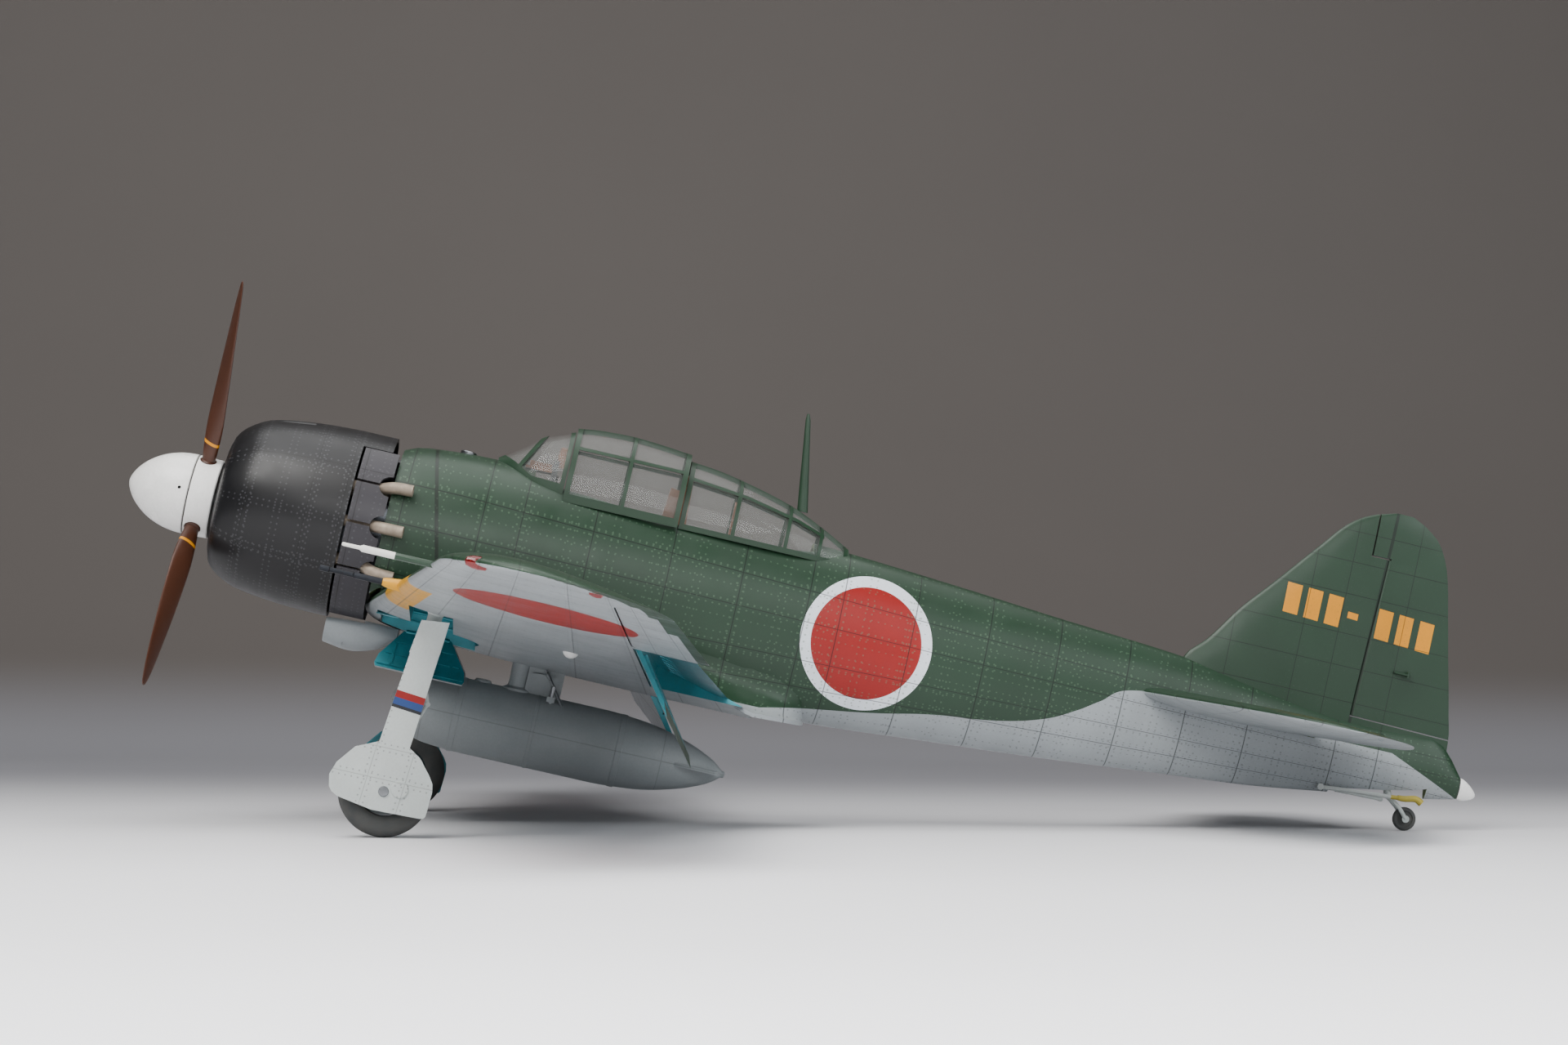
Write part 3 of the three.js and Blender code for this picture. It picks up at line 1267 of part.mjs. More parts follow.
add("tail_strut", strut, COVER_GREY);
const tailWheel = wheelSolid(
  [
    [0.58, -TAIL_WHEEL_WIDTH / 2],
    [2.6, -TAIL_WHEEL_WIDTH / 2],
    [TAIL_WHEEL_RADIUS / Math.cos(Math.PI / HUB_SIDES), -0.5],
    [TAIL_WHEEL_RADIUS / Math.cos(Math.PI / HUB_SIDES), 0.5],
    [2.6, TAIL_WHEEL_WIDTH / 2],
    [0.58, TAIL_WHEEL_WIDTH / 2],
    [0.58, -TAIL_WHEEL_WIDTH / 2],
  ],
  HUB_SIDES,
  tailAxle.x,
  tailAxle.y,
  tailAxle.z,
);
add("tail_wheel", tailWheel, TYRE);

const HOOK_X = 3.9;
const hookPivot = point(HOOK_X, aft(338), -8.6);
const hookBend = point(HOOK_X, aft(362), -6.7);
const HOOK_PIN = 0.9;
const pinEnd = hookPivot.clone().setX(HOOK_X + HOOK_PIN);
let hook = rod(hookPivot.clone().setX(HOOK_X - HOOK_PIN), pinEnd, HOOK_PIN, HOOK_PIN, 8);
hook = hook.add(rod(hookPivot, hookBend, 0.6, 0.6, 8));
hook = hook.add(rod(hookBend, point(HOOK_X, aft(366.6), -6.2), 0.9, 1, 8));
add("arrester_hook", hook, OLIVE);

// ---- Stand the model on its wheels, centred over the origin ------------------------------------------
airframe.rotation.x = -GROUND_ANGLE;
group.updateMatrixWorld(true);
const bounds = new THREE.Box3().setFromObject(group, true);
airframe.position.set(0, -(bounds.min.y + bounds.max.y) / 2, -bounds.min.z);
group.updateMatrixWorld(true);

export default group;
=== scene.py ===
"""A 1/24 warbird model aircraft: its surfaces, finishes and studio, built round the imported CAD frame."""

import json
import math
import random

import bmesh
import bpy
from mathutils import Matrix, Quaternion, Vector


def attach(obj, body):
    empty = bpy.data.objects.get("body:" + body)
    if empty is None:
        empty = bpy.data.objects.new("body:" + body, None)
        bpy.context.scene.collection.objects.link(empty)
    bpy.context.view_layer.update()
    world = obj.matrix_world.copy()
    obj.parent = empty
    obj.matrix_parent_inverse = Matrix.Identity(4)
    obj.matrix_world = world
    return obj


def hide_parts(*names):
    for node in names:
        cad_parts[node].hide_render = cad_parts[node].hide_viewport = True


bl_info = {
    "name": "Warbird Model Aircraft",
    "version": (1, 0, 0),
    "blender": (4, 5, 0),
    "location": "3D View > Sidebar > Warbird",
    "description": "Builds the surfaces and finishes of a 1/24 warbird model round its CAD frame",
    "category": "Add Mesh",
}

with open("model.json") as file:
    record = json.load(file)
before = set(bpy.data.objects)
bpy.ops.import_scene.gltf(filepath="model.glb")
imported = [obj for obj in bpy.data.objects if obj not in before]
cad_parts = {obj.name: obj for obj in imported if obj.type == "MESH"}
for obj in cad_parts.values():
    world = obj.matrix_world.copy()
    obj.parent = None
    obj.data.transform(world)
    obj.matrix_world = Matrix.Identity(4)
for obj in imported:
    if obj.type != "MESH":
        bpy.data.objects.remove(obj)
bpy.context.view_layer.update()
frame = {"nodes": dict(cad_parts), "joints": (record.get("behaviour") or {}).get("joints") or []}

# ---- The airframe's own coordinates: x to the left, s aft of the spinner tip, t up, in mm ----

MM = 0.001
PROP_STATION = 20.0


def joint(name):
    """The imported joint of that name."""
    return next(j for j in frame["joints"] if j["name"] == name)


AFT = Vector(joint("propeller_spin")["axis"]).normalized()
LEFT = Vector((1.0, 0.0, 0.0))
UP = LEFT.cross(AFT)
TIP = Vector(joint("propeller_spin")["pos_m"]) - AFT * PROP_STATION * MM
AIRFRAME = Matrix.Translation(TIP) @ Matrix((LEFT, AFT, UP)).transposed().to_4x4() @ Matrix.Scale(MM, 4)
TO_AIRFRAME = AIRFRAME.inverted()


def pivot_of(name):
    """A joint's pivot in airframe millimetres."""
    return TO_AIRFRAME @ Vector(joint(name)["pos_m"])


def axis_of(name):
    """A joint's axis as an airframe direction."""
    return (TO_AIRFRAME.to_3x3() @ Vector(joint(name)["axis"])).normalized()


def lerp(a, b, share):
    """The value a share of the way from a to b."""
    return a + (b - a) * share


def smooth_table(table, at, column):
    """A value between a table's rows, on a cubic that passes through every row without overshoot."""
    rows = len(table)
    i = 1
    while i < rows - 1 and table[i][0] < at:
        i += 1
    x0, x1 = table[i - 1][0], table[i][0]
    y0, y1 = table[i - 1][column], table[i][column]
    share = min(max((at - x0) / (x1 - x0), 0.0), 1.0)

    def slope(k):
        if k == 0 or k == rows - 1:
            near = 1 if k == 0 else rows - 1
            return (table[near][column] - table[near - 1][column]) / (
                table[near][0] - table[near - 1][0]
            )
        before = (table[k][column] - table[k - 1][column]) / (table[k][0] - table[k - 1][0])
        after = (table[k + 1][column] - table[k][column]) / (table[k + 1][0] - table[k][0])
        if before * after <= 0:
            return 0.0
        return 2 * before * after / (before + after)

    m0, m1 = slope(i - 1) * (x1 - x0), slope(i) * (x1 - x0)
    s2, s3 = share * share, share ** 3
    return (
        2 * s3 - 3 * s2 + 1
    ) * y0 + (s3 - 2 * s2 + share) * m0 + (3 * s2 - 2 * s3) * y1 + (s3 - s2) * m1


# ---- Mesh building, in airframe millimetres ----


def new_mesh(points, faces):
    """A mesh from points and faces, with its faces turned outwards."""
    mesh = bpy.data.meshes.new("work")
    mesh.from_pydata([tuple(p) for p in points], [], faces)
    work = bmesh.new()
    work.from_mesh(mesh)
    bmesh.ops.remove_doubles(work, verts=work.verts, dist=1e-4)
    bmesh.ops.recalc_face_normals(work, faces=work.faces)
    work.to_mesh(mesh)
    work.free()
    return mesh


def loft(rings, caps=True, closed=True):
    """A skin through rings of equal length; caps close its ends."""
    count = len(rings[0])
    points = [p for ring in rings for p in ring]
    faces = []
    around = count if closed else count - 1
    for r in range(len(rings) - 1):
        for i in range(around):
            a, b = r * count + i, r * count + (i + 1) % count
            faces.append((a, b, b + count, a + count))
    if caps:
        faces.append(tuple(range(count)))
        faces.append(tuple(range((len(rings) - 1) * count, len(rings) * count)))
    return new_mesh(points, faces)


def lathe(profile, sides, origin=(0, 0, 0), axis=(0, 1, 0)):
    """A body of revolution: (radius, distance along the axis) pairs, ends closed on the axis or capped."""
    along = Vector(axis).normalized()
    side = along.orthogonal().normalized()
    other = along.cross(side)
    rings = []
    for radius, distance in profile:
        middle = Vector(origin) + along * distance
        ring = []
        for i in range(sides):
            angle = 2 * math.pi * i / sides
            ring.append(middle + (side * math.cos(angle) + other * math.sin(angle)) * max(radius, 1e-3))
        rings.append(ring)
    return loft(rings)


def ring_lathe(profile, sides, origin=(0, 0, 0), axis=(0, 1, 0)):
    """A body of revolution whose profile closes on itself, such as a tyre."""
    along = Vector(axis).normalized()
    side = along.orthogonal().normalized()
    other = along.cross(side)
    points, faces = [], []
    count = len(profile)
    for i in range(sides):
        angle = 2 * math.pi * i / sides
        outward = side * math.cos(angle) + other * math.sin(angle)
        points += [Vector(origin) + along * distance + outward * radius for radius, distance in profile]
    for i in range(sides):
        for j in range(count):
            a, b = i * count + j, i * count + (j + 1) % count
            c, d = ((i + 1) % sides) * count + (j + 1) % count, ((i + 1) % sides) * count + j
            faces.append((a, b, c, d))
    return new_mesh(points, faces)


def tube(points, radius, sides=16, end_radius=None):
    """A round bar through points, tapering to end_radius."""
    points = [Vector(p) for p in points]
    rings = []
    side = None
    for i, p in enumerate(points):
        ahead = points[min(i + 1, len(points) - 1)] - points[max(i - 1, 0)]
        ahead.normalize()
        side = ahead.orthogonal().normalized() if side is None else (
            side - ahead * side.dot(ahead)
        ).normalized()
        other = ahead.cross(side)
        share = i / max(len(points) - 1, 1)
        r = radius if end_radius is None else lerp(radius, end_radius, share)
        ring = []
        for k in range(sides):
            angle = 2 * math.pi * k / sides
            ring.append(p + (side * math.cos(angle) + other * math.sin(angle)) * r)
        rings.append(ring)
    return loft(rings)


def curve_points(points, steps):
    """Points on a smooth curve through the given ones."""
    points = [Vector(p) for p in points]
    out = []
    for i in range(len(points) - 1):
        p0, p1 = points[max(i - 1, 0)], points[i]
        p2, p3 = points[i + 1], points[min(i + 2, len(points) - 1)]
        for k in range(steps):
            u = k / steps
            out.append(
                0.5
                * (
                    2 * p1
                    + (p2 - p0) * u
                    + (2 * p0 - 5 * p1 + 4 * p2 - p3) * u * u
                    + (3 * p1 - p0 - 3 * p2 + p3) * u ** 3
                )
            )
    out.append(points[-1])
    return out


def block(low, high):
    """A box between two corners."""
    (x0, s0, t0), (x1, s1, t1) = low, high
    rings = [[(x0, s, t0), (x1, s, t0), (x1, s, t1), (x0, s, t1)] for s in (s0, s1)]
    return loft(rings)


def plate(outline, across, direction, u_axis, v_axis, origin=(0, 0, 0)):
    """A flat plate from an outline in two given axes, from across[0] to across[1] along direction."""
    n, u, v, o = Vector(direction), Vector(u_axis), Vector(v_axis), Vector(origin)
    rings = [[o + u * a + v * b + n * depth for a, b in outline] for depth in across]
    return loft(rings)


def side_plate(outline, x0, x1):
    """A plate from a side-view outline of (s, t) pairs."""
    return plate(outline, (x0, x1), (1, 0, 0), (0, 1, 0), (0, 0, 1))


def join(meshes):
    """One mesh that holds them all, side by side."""
    work = bmesh.new()
    for mesh in meshes:
        work.from_mesh(mesh)
    out = bpy.data.meshes.new("work")
    work.to_mesh(out)
    work.free()
    return out


def transformed(mesh, matrix):
    """A copy under a matrix, its faces still outwards."""
    out = mesh.copy()
    out.transform(matrix)
    if matrix.determinant() < 0:
        out.flip_normals()
    return out


def mirrored(mesh):
    """The other side's copy."""
    return transformed(mesh, Matrix.Scale(-1, 4, Vector((1, 0, 0))))


def turned(mesh, pivot, axis, angle):
    """A copy turned about an axis through a pivot."""
    move = Matrix.Translation(Vector(pivot))
    return transformed(mesh, move @ Matrix.Rotation(angle, 4, Vector(axis)) @ move.inverted())


def boolean(mesh, tool, how, solver="MANIFOLD"):
    """The mesh with the tool cut from it, joined to it or crossed with it."""
    a = bpy.data.objects.new("work_a", mesh)
    b = bpy.data.objects.new("work_b", tool)
    scene = bpy.context.scene.collection
    scene.objects.link(a)
    scene.objects.link(b)
    step = a.modifiers.new("cut", "BOOLEAN")
    step.operation = how
    step.object = b
    step.solver = solver
    if tool.materials or mesh.materials:
        step.material_mode = "TRANSFER"
    bpy.context.view_layer.update()
    made = bpy.data.meshes.new_from_object(a.evaluated_get(bpy.context.evaluated_depsgraph_get()))
    bpy.data.objects.remove(a)
    bpy.data.objects.remove(b)
    if not made.polygons:
        raise RuntimeError("a cut left nothing")
    return made


def cut(mesh, *tools):
    """The mesh less every tool."""
    for tool in tools:
        mesh = boolean(mesh, tool, "DIFFERENCE")
    return mesh


def union(mesh, *others):
    """The mesh joined with the others."""
    for other in others:
        mesh = boolean(mesh, other, "UNION")
    return mesh


def common(mesh, tool):
    """What the mesh and the tool share."""
    return boolean(mesh, tool, "INTERSECT")


def keep_faces(mesh, test):
    """A copy that keeps only the faces whose centre passes a test."""
    work = bmesh.new()
    work.from_mesh(mesh)
    bmesh.ops.delete(
        work, geom=[f for f in work.faces if not test(f.calc_center_median())], context="FACES"
    )
    out = bpy.data.meshes.new("work")
    work.to_mesh(out)
    work.free()
    return out


def sign(value):
    """-1 or 1."""
    return -1.0 if value < 0 else 1.0


def egg_ring(s, half, top, bottom, middle, crown, keel, sides):
    """A ring across the thrust line with its own fullness above and below its widest line."""
    ring = []
    for i in range(sides):
        angle = 2 * math.pi * i / sides
        across, up = math.cos(angle), math.sin(angle)
        power = crown if up >= 0 else keel
        reach = top - middle if up >= 0 else middle - bottom
        x = half * sign(across) * abs(across) ** (2 / power)
        ring.append((x, s, middle + sign(up) * reach * abs(up) ** (2 / power)))
    return ring


# ---- Finishing a piece ----

MATERIALS = {}


def settle(name, mesh, body, materials, replaces=(), crease=32.0):
    """Turns a work mesh into a named piece that rides on a body."""
    mesh = mesh.copy()
    mesh.name = name
    mesh.transform(AIRFRAME)
    kept = [MATERIALS[m] for m in materials]
    indices = [min(p.material_index, len(kept) - 1) for p in mesh.polygons]
    mesh.materials.clear()
    for material in kept:
        mesh.materials.append(material)
    mesh.polygons.foreach_set("material_index", indices)
    mesh.polygons.foreach_set("use_smooth", [True] * len(mesh.polygons))
    mesh.set_sharp_from_angle(angle=math.radians(crease))
    piece = bpy.data.objects.new(name, mesh)
    bpy.context.scene.collection.objects.link(piece)
    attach(piece, body)
    if replaces:
        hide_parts(*replaces)
    return piece


def tag(mesh, index):
    """Gives every face of a work mesh one material index."""
    mesh.materials.clear()
    for i in range(index + 1):
        mesh.materials.append(bpy.data.materials.get("tag%d" % i) or bpy.data.materials.new("tag%d" % i))
    mesh.polygons.foreach_set("material_index", [index] * len(mesh.polygons))
    return mesh


# ---- Fuselage and wing shapes ----

# Station, top, bottom, half width, height of the widest line, crown power, keel power.
FUSELAGE = [
    (71, 25, -23.6, 23.6, 1, 2.1, 2.1),
    (76, 26.8, -23.6, 23.5, 1, 2.1, 2.2),
    (96, 28.1, -23.6, 22.6, 0, 2.2, 2.4),
    (118, 27.8, -23.6, 21.2, -1, 2.3, 2.6),
    (150, 26.8, -23.6, 19, -2, 2.3, 2.6),
    (178, 25.8, -24.1, 16.6, -2, 2.2, 2.4),
    (197, 24.9, -23.3, 15, -1.5, 2.1, 2.2),
    (225, 23.1, -21.1, 12.6, -1, 2, 2.1),
    (258, 20.6, -18.5, 9.9, 0, 2, 2),
    (290, 18.4, -15.4, 7.6, 1, 1.9, 2),
    (318, 15.2, -12.8, 5.8, 1.5, 1.8, 2),
    (342, 12.2, -9.4, 4.3, 1.5, 1.7, 2),
    (368, 11.6, -5.5, 2.6, 1.5, 1.5, 2),
    (373, 7.6, -4.5, 2, 1, 1.5, 2),
    (377, 2.6, -3.6, 1.3, 0, 1.8, 2),
]
SKIN_WALL = 1.2
SILL = 20.4
TIP_START = 205
SEMI_SPAN = 229
HINGE_SHARE = 0.76
FLAP_REST_ANGLE = 52
CANNON_X = 100
PITOT_X = 187
TIP_LAMP_X = 220.5
BLISTER_X, BLISTER_SHARE = 68, 0.54
LINK_TOP = 20.5
DOOR_SPLAY = 28
TANK_HEIGHT = -42.2
SEAM_OFFSET = 86.6 - 568.0 / 1000
HINGE_GAP = 0.35
AILERON_SPAN = (123, 203)
FLAP_SPAN = (28, 119)
AFTWARD = Vector((0, 1, 0))


def spaced(low, high, step):
    """Evenly spaced values from low to high, no further apart than step."""
    count = max(1, math.ceil((high - low) / step))
    return [lerp(low, high, i / count) for i in range(count + 1)]


def fuselage_loft(offset, first, last, sides, step):
    """The body's outer skin, or an inner or outer copy of it."""
    rings = []
    for s in spaced(first, last, step):
        top, bottom, half, middle, crown, keel = (smooth_table(FUSELAGE, s, k) for k in range(1, 7))
        half = max(half + offset, 0.4)
        rings.append(egg_ring(s, half, top + offset, bottom - offset, middle, crown, keel, sides))
    return loft(rings)


def fuselage_half(s, t):
    """Half the body's width at a station and height."""
    top, bottom, half, middle, crown, keel = (smooth_table(FUSELAGE, s, k) for k in range(1, 7))
    power, reach = (crown, top - middle) if t >= middle else (keel, middle - bottom)
    rise = min(abs(t - middle) / reach, 0.999)
    return half * (1 - rise ** power) ** (1 / power)


def half_thickness(share):
    """The airfoil's half thickness, per chord and per unit of thickness."""
    series = 0.2969 * math.sqrt(share) - 0.126 * share - 0.3516 * share ** 2
    return 5 * (series + 0.2843 * share ** 3 - 0.1036 * share ** 4) + 0.004


def wing_point(x, share, side, inset=0.0, squeeze=1.0):
    """A point on the wing's upper (1) or lower (-1) skin, or on its chord (0)."""
    nose = Vector((x, 70 + 0.11 * x, -18.6 + 0.0615 * x))
    tail = Vector((x, 180 - 0.17 * x, -25.5 + 0.087 * x))
    chord = tail.y - nose.y
    thickness = lerp(0.137, 0.09, x / SEMI_SPAN)
    p = nose.lerp(tail, 0.45 + (share - 0.45) * squeeze)
    if side:
        reach = 0.35 if share < 0.35 else 0.65
        camber = 0.033 * (1 - ((share - 0.35) / reach) ** 2)
        p.z += (camber + side * half_thickness(share) * thickness) * chord * squeeze - side * inset
    return p


def wing_ring(x, inset, squeeze, steps):
    """One rib of the wing."""
    upper = [wing_point(x, share, 1, inset, squeeze) for share in steps]
    lower = [wing_point(x, share, -1, inset, squeeze) for share in steps]
    return upper + lower[::-1]


def airfoil_steps(count):
    """Shares of the chord, closer together at the nose."""
    return [1 - math.cos(0.5 * math.pi * i / count) for i in range(count + 1)]


def wing_outer(grow, count, step):
    """The left wing from the middle of the body to its rounded tip, upper faces 0 and lower faces 1."""
    steps = airfoil_steps(count)
    rings = [wing_ring(x, -grow, 1, steps) for x in spaced(0, TIP_START, step)]
    for i in range(1, 15):
        q = math.sin(0.5 * math.pi * i / 14.6)
        rings.append(
            wing_ring(TIP_START + q * (SEMI_SPAN - TIP_START), -grow, math.sqrt(1 - q * q), steps)
        )
    mesh = tag(loft(rings), 1)
    for face in mesh.polygons:
        middle = face.center
        share = (middle.y - 70 - 0.11 * middle.x) / (110 - 0.28 * middle.x)
        chord_line = wing_point(middle.x, min(max(share, 0), 1), 0).z
        face.material_index = 0 if middle.z > chord_line - 0.1 else 1
    return mesh


def hinge_block(start, end, aftward, reach, height, grow):
    """A block from a hinge line aft, grown all round by a gap."""
    along = (end - start).normalized()
    up = along.cross(aftward).normalized()
    back = up.cross(along).normalized()
    rings = []
    for v in (-height, height):
        ring = []
        for u, w in (
            (-grow, -grow),
            (reach, -grow),
            (reach, (end - start).length + grow),
            (-grow, (end - start).length + grow),
        ):
            ring.append(start + back * u + along * w + up * v)
        rings.append(ring)
    return loft(rings)


def hinge_barrel(start, end, r0, r1, grow, sides=40):
    """The round nose that turns on a hinge line."""
    along = (end - start).normalized() * grow
    return tube([start - along, end + along], r0 + grow, sides, r1 + grow)


def control_surface(outer, start, end, reach, height, r0, r1):
    """Splits a surface at a hinge line into what moves and what must be cut from the rest."""
    moving = common(outer, tag(hinge_block(start, end, AFTWARD, reach, height, 0), 1))
    moving = union(moving, tag(hinge_barrel(start, end, r0, r1, 0), 1))
    cutter = union(
        tag(hinge_block(start, end, AFTWARD, reach, height, HINGE_GAP), 1),
        tag(hinge_barrel(start, end, r0, r1, HINGE_GAP), 1),
    )
    return moving, cutter


# Height, leading edge, trailing edge, thickness.
FIN_OUTLINE = [
    (6, 290, 371.8, 5.4),
    (12.6, 292, 371.4, 5),
    (19.1, 294, 370, 4.6),
    (24.2, 298.7, 368.9, 4.4),
    (34.8, 306, 366.4, 4),
    (44.6, 314.2, 364.2, 3.6),
    (57.3, 324.5, 361.1, 3),
    (64.5, 330.6, 357.6, 2.4),
    (68.4, 336.4, 353, 1.8),
    (70.6, 343.5, 348.5, 0.8),
]
# Half span, leading edge, trailing edge, thickness.
TAIL_OUTLINE = [
    (0, 281.3, 353, 5.6),
    (20, 287, 353.5, 5),
    (45, 294.5, 350.5, 4.2),
    (68, 301.5, 345, 3.4),
    (82, 307, 339.5, 2.6),
    (90, 313, 334, 1.8),
    (95.3, 321, 326, 0.8),
]
TAILPLANE_HEIGHT = 6
ELEVATOR_HINGE = 331.5
ELEVATOR_SPAN = (8.5, 87)


def tail_surface(outline, place, count, step):
    """A fin or half tailplane through its outline's rows."""
    rings = []
    steps = airfoil_steps(count)
    for at in spaced(outline[0][0], outline[-1][0], step):
        nose, tail, thickness = (smooth_table(outline, at, k) for k in (1, 2, 3))
        halves = [
            (nose + u * (tail - nose), 0.5 * thickness * (1.9 * half_thickness(u) + 0.06)) for u in steps
        ]
        port = [Vector(place(at, s, half)) for s, half in halves]
        rings.append(port + [Vector(place(at, s, -half)) for s, half in halves[::-1]])
    return loft(rings)


# ---- Canopy ----

# Station, top, base, half width at the base, power of the arch.
GLAZING = [
    (96.4, 28.6, 27.4, 4, 2),
    (102, 32.6, 24.2, 9.6, 2.1),
    (108, 37.2, 21.4, 12.8, 2.3),
    (115.3, 40, 20.8, 14, 2.4),
]
HOOD = [
    (115.9, 41.2, 20.6, 15.4, 2.4),
    (123, 42.1, 20.6, 15.4, 2.4),
    (131.2, 42.4, 20.6, 15.4, 2.4),
    (139, 42, 20.6, 15.4, 2.4),
    (147.6, 41.2, 20.6, 15.4, 2.4),
]
REAR_GLAZING = [
    (148.2, 39.4, 20.6, 13.6, 2.3),
    (155, 38.8, 20.6, 13.4, 2.3),
    (163, 37.4, 20.6, 13, 2.3),
    (177.8, 33.7, 20.8, 11.6, 2.2),
    (187.2, 29.8, 21.4, 9.4, 2.1),
    (195.6, 25.6, 22, 5, 2),
]
GLASS_WALL = 0.9


def arch_loft(rows, inset, overrun, points=44):
    """A canopy arch through its rows, inset or outset all round, with a skirt below."""
    first, last = rows[0][0], rows[-1][0]
    stations = spaced(first, last, 1.5)
    if overrun:
        stations = [first - overrun] + stations + [last + overrun]
    rings = []
    for s in stations:
        top, base, half, power = (smooth_table(rows, min(max(s, first), last), k) for k in range(1, 5))
        ring = []
        for i in range(points + 1):
            angle = math.pi * i / points
            across = math.cos(angle)
            x = (half - inset) * sign(across) * abs(across) ** (2 / power)
            ring.append((x, s, base + (top - inset - base) * math.sin(angle) ** (2 / power)))
        ring += [(-half + inset, s, base - 10), (half - inset, s, base - 10)]
        rings.append(ring)
    return loft(rings)


def below_sill(height):
    """Everything under a height, to trim a canopy's skirt."""
    return block((-40, 60, -60), (40, 260, height))


def glazed(rows, inner_rows, bars, saddle):
    """A canopy part: its clear shell and its painted framing, which stands proud of both faces."""
    shell = cut(arch_loft(rows, 0, 0), arch_loft(inner_rows, GLASS_WALL, 2), below_sill(SILL), saddle)
    skin = cut(
        arch_loft(rows, -0.32, 0.12),
        arch_loft(inner_rows, GLASS_WALL + 0.2, 3),
        below_sill(SILL),
        saddle,
    )
    return shell, common(skin, union(bars[0], *bars[1:]))


# ---- Engine and cowling ----

# Station, radius, height of the centre.
COWL = [
    (25.2, 15, 0.7),
    (26, 17.9, 0.8),
    (29.2, 21, 1.1),
    (34.2, 23.4, 1.35),
    (43.2, 24.9, 1.5),
    (52.2, 25.6, 1.6),
    (60.5, 25.8, 1.7),
    (68.6, 25.8, 1.7),
]
COWL_RISE = 1.7
COWL_REAR = 60.5
COWL_FLAP_LENGTH = 10
COWL_FLAP_EDGES = (55, 27, 1, -27, -73)
EXHAUST_REACH = 25.6


def on_cowl(degrees, radius, s):
    """A point round the cowl's axis."""
    angle = math.radians(degrees)
    return Vector((radius * math.cos(angle), s, COWL_RISE + radius * math.sin(angle)))


def cowl_loft(first, last, inset, sides, step):
    """The cowling's skin between two stations."""
    rings = []
    near_lip = [first + d for d in (0, 0.1, 0.25, 0.45, 0.7, 1, 1.5, 2.2) if inset == 0 and first < 26]
    for s in sorted(set(near_lip + spaced(first, last, step))):
        at = min(max(s, COWL[0][0]), COWL[-1][0])
        radius, rise = smooth_table(COWL, at, 1) - inset, smooth_table(COWL, at, 2)
        rings.append(egg_ring(s, radius, rise + radius, rise - radius, rise, 2, 2, sides))
    return loft(rings)


def cowl_sector(start, end, s0, s1, trim):
    """A wedge of the space round the cowl's axis."""
    corners = [on_cowl(a, 60, 0) for a in (start - trim, (start + end) / 2, end + trim)]
    return loft([[(0, s, COWL_RISE)] + [(p.x, s, p.z) for p in corners] for s in (s0, s1)])


# Radius, chord, thickness, pitch in degrees.
BLADE = [
    (3, 3, 3, 60),
    (9, 3.4, 3.2, 58),
    (14, 5, 2.6, 52),
    (24, 7.4, 1.9, 40),
    (36, 8, 1.4, 30),
    (48, 7, 1.1, 24),
    (58, 5, 0.8, 20),
    (62.5, 2.6, 0.6, 18),
    (63.5, 1, 0.4, 18),
]
BLADE_ANGLES = (25, 145, 265)


def blade(degrees):
    """One propeller blade."""
    spin = math.radians(degrees)
    outward, sideways = Vector((math.sin(spin), 0, math.cos(spin))), Vector(
        (math.cos(spin), 0, -math.sin(spin))
    )
    rings = []
    for radius in spaced(3, 62, 1.5) + [62.5, 62.9, 63.2, 63.4, 63.5]:
        chord, thickness, pitch = (smooth_table(BLADE, radius, k) for k in (1, 2, 3))
        twist = math.radians(pitch)
        ring = []
        for i in range(28):
            angle = 2 * math.pi * i / 28
            u, v = 0.5 * chord * math.cos(angle), 0.5 * thickness * math.sin(angle)
            across, along = u * math.cos(
                twist
            ) - v * math.sin(twist), u * math.sin(twist) + v * math.cos(twist)
            ring.append(outward * radius + sideways * across + Vector((0, PROP_STATION + along, 0)))
        rings.append(ring)
    return loft(rings)


# ---- Pieces: airframe ----


def saddle_of(sides=48):
    """The body's outside, grown by a hair, to trim what sits on it."""
    return fuselage_loft(0.05, 71, 262, sides, 6)


def wheel_points():
    """The left leg's pivot, its axle and the axle when folded."""
    pivot, axle = pivot_of("gear_left_fold"), pivot_of("wheel_left_spin")
    turn = Matrix.Rotation(
        math.radians(joint("gear_left_fold")["range_deg"][1]), 4, axis_of("gear_left_fold")
    )
    return pivot, axle, pivot + turn @ (axle - pivot)


def gear_cuts():
    """The round wheel well, the slot for the leg and the bay for the inner door."""
    pivot, _, folded = wheel_points()
    roof = folded.z + 4.2
    well = lathe([(14.2, -60 - folded.z), (14.2, roof - folded.z)], 72, folded, (0, 0, 1))
    slot = block((folded.x, 84.2, -60), (pivot.x + 6.9, 95.8, pivot.z + 3.4))
    bay = block((folded.x - 19.2, 75.5, -60), (folded.x, 101.9, roof - 4.5))
    return tag(union(well, slot, bay), 2)


def hinge_point(x):
    """The middle of the wing's thickness on the aileron hinge."""
    return (wing_point(x, HINGE_SHARE, 1) + wing_point(x, HINGE_SHARE, -1)) * 0.5


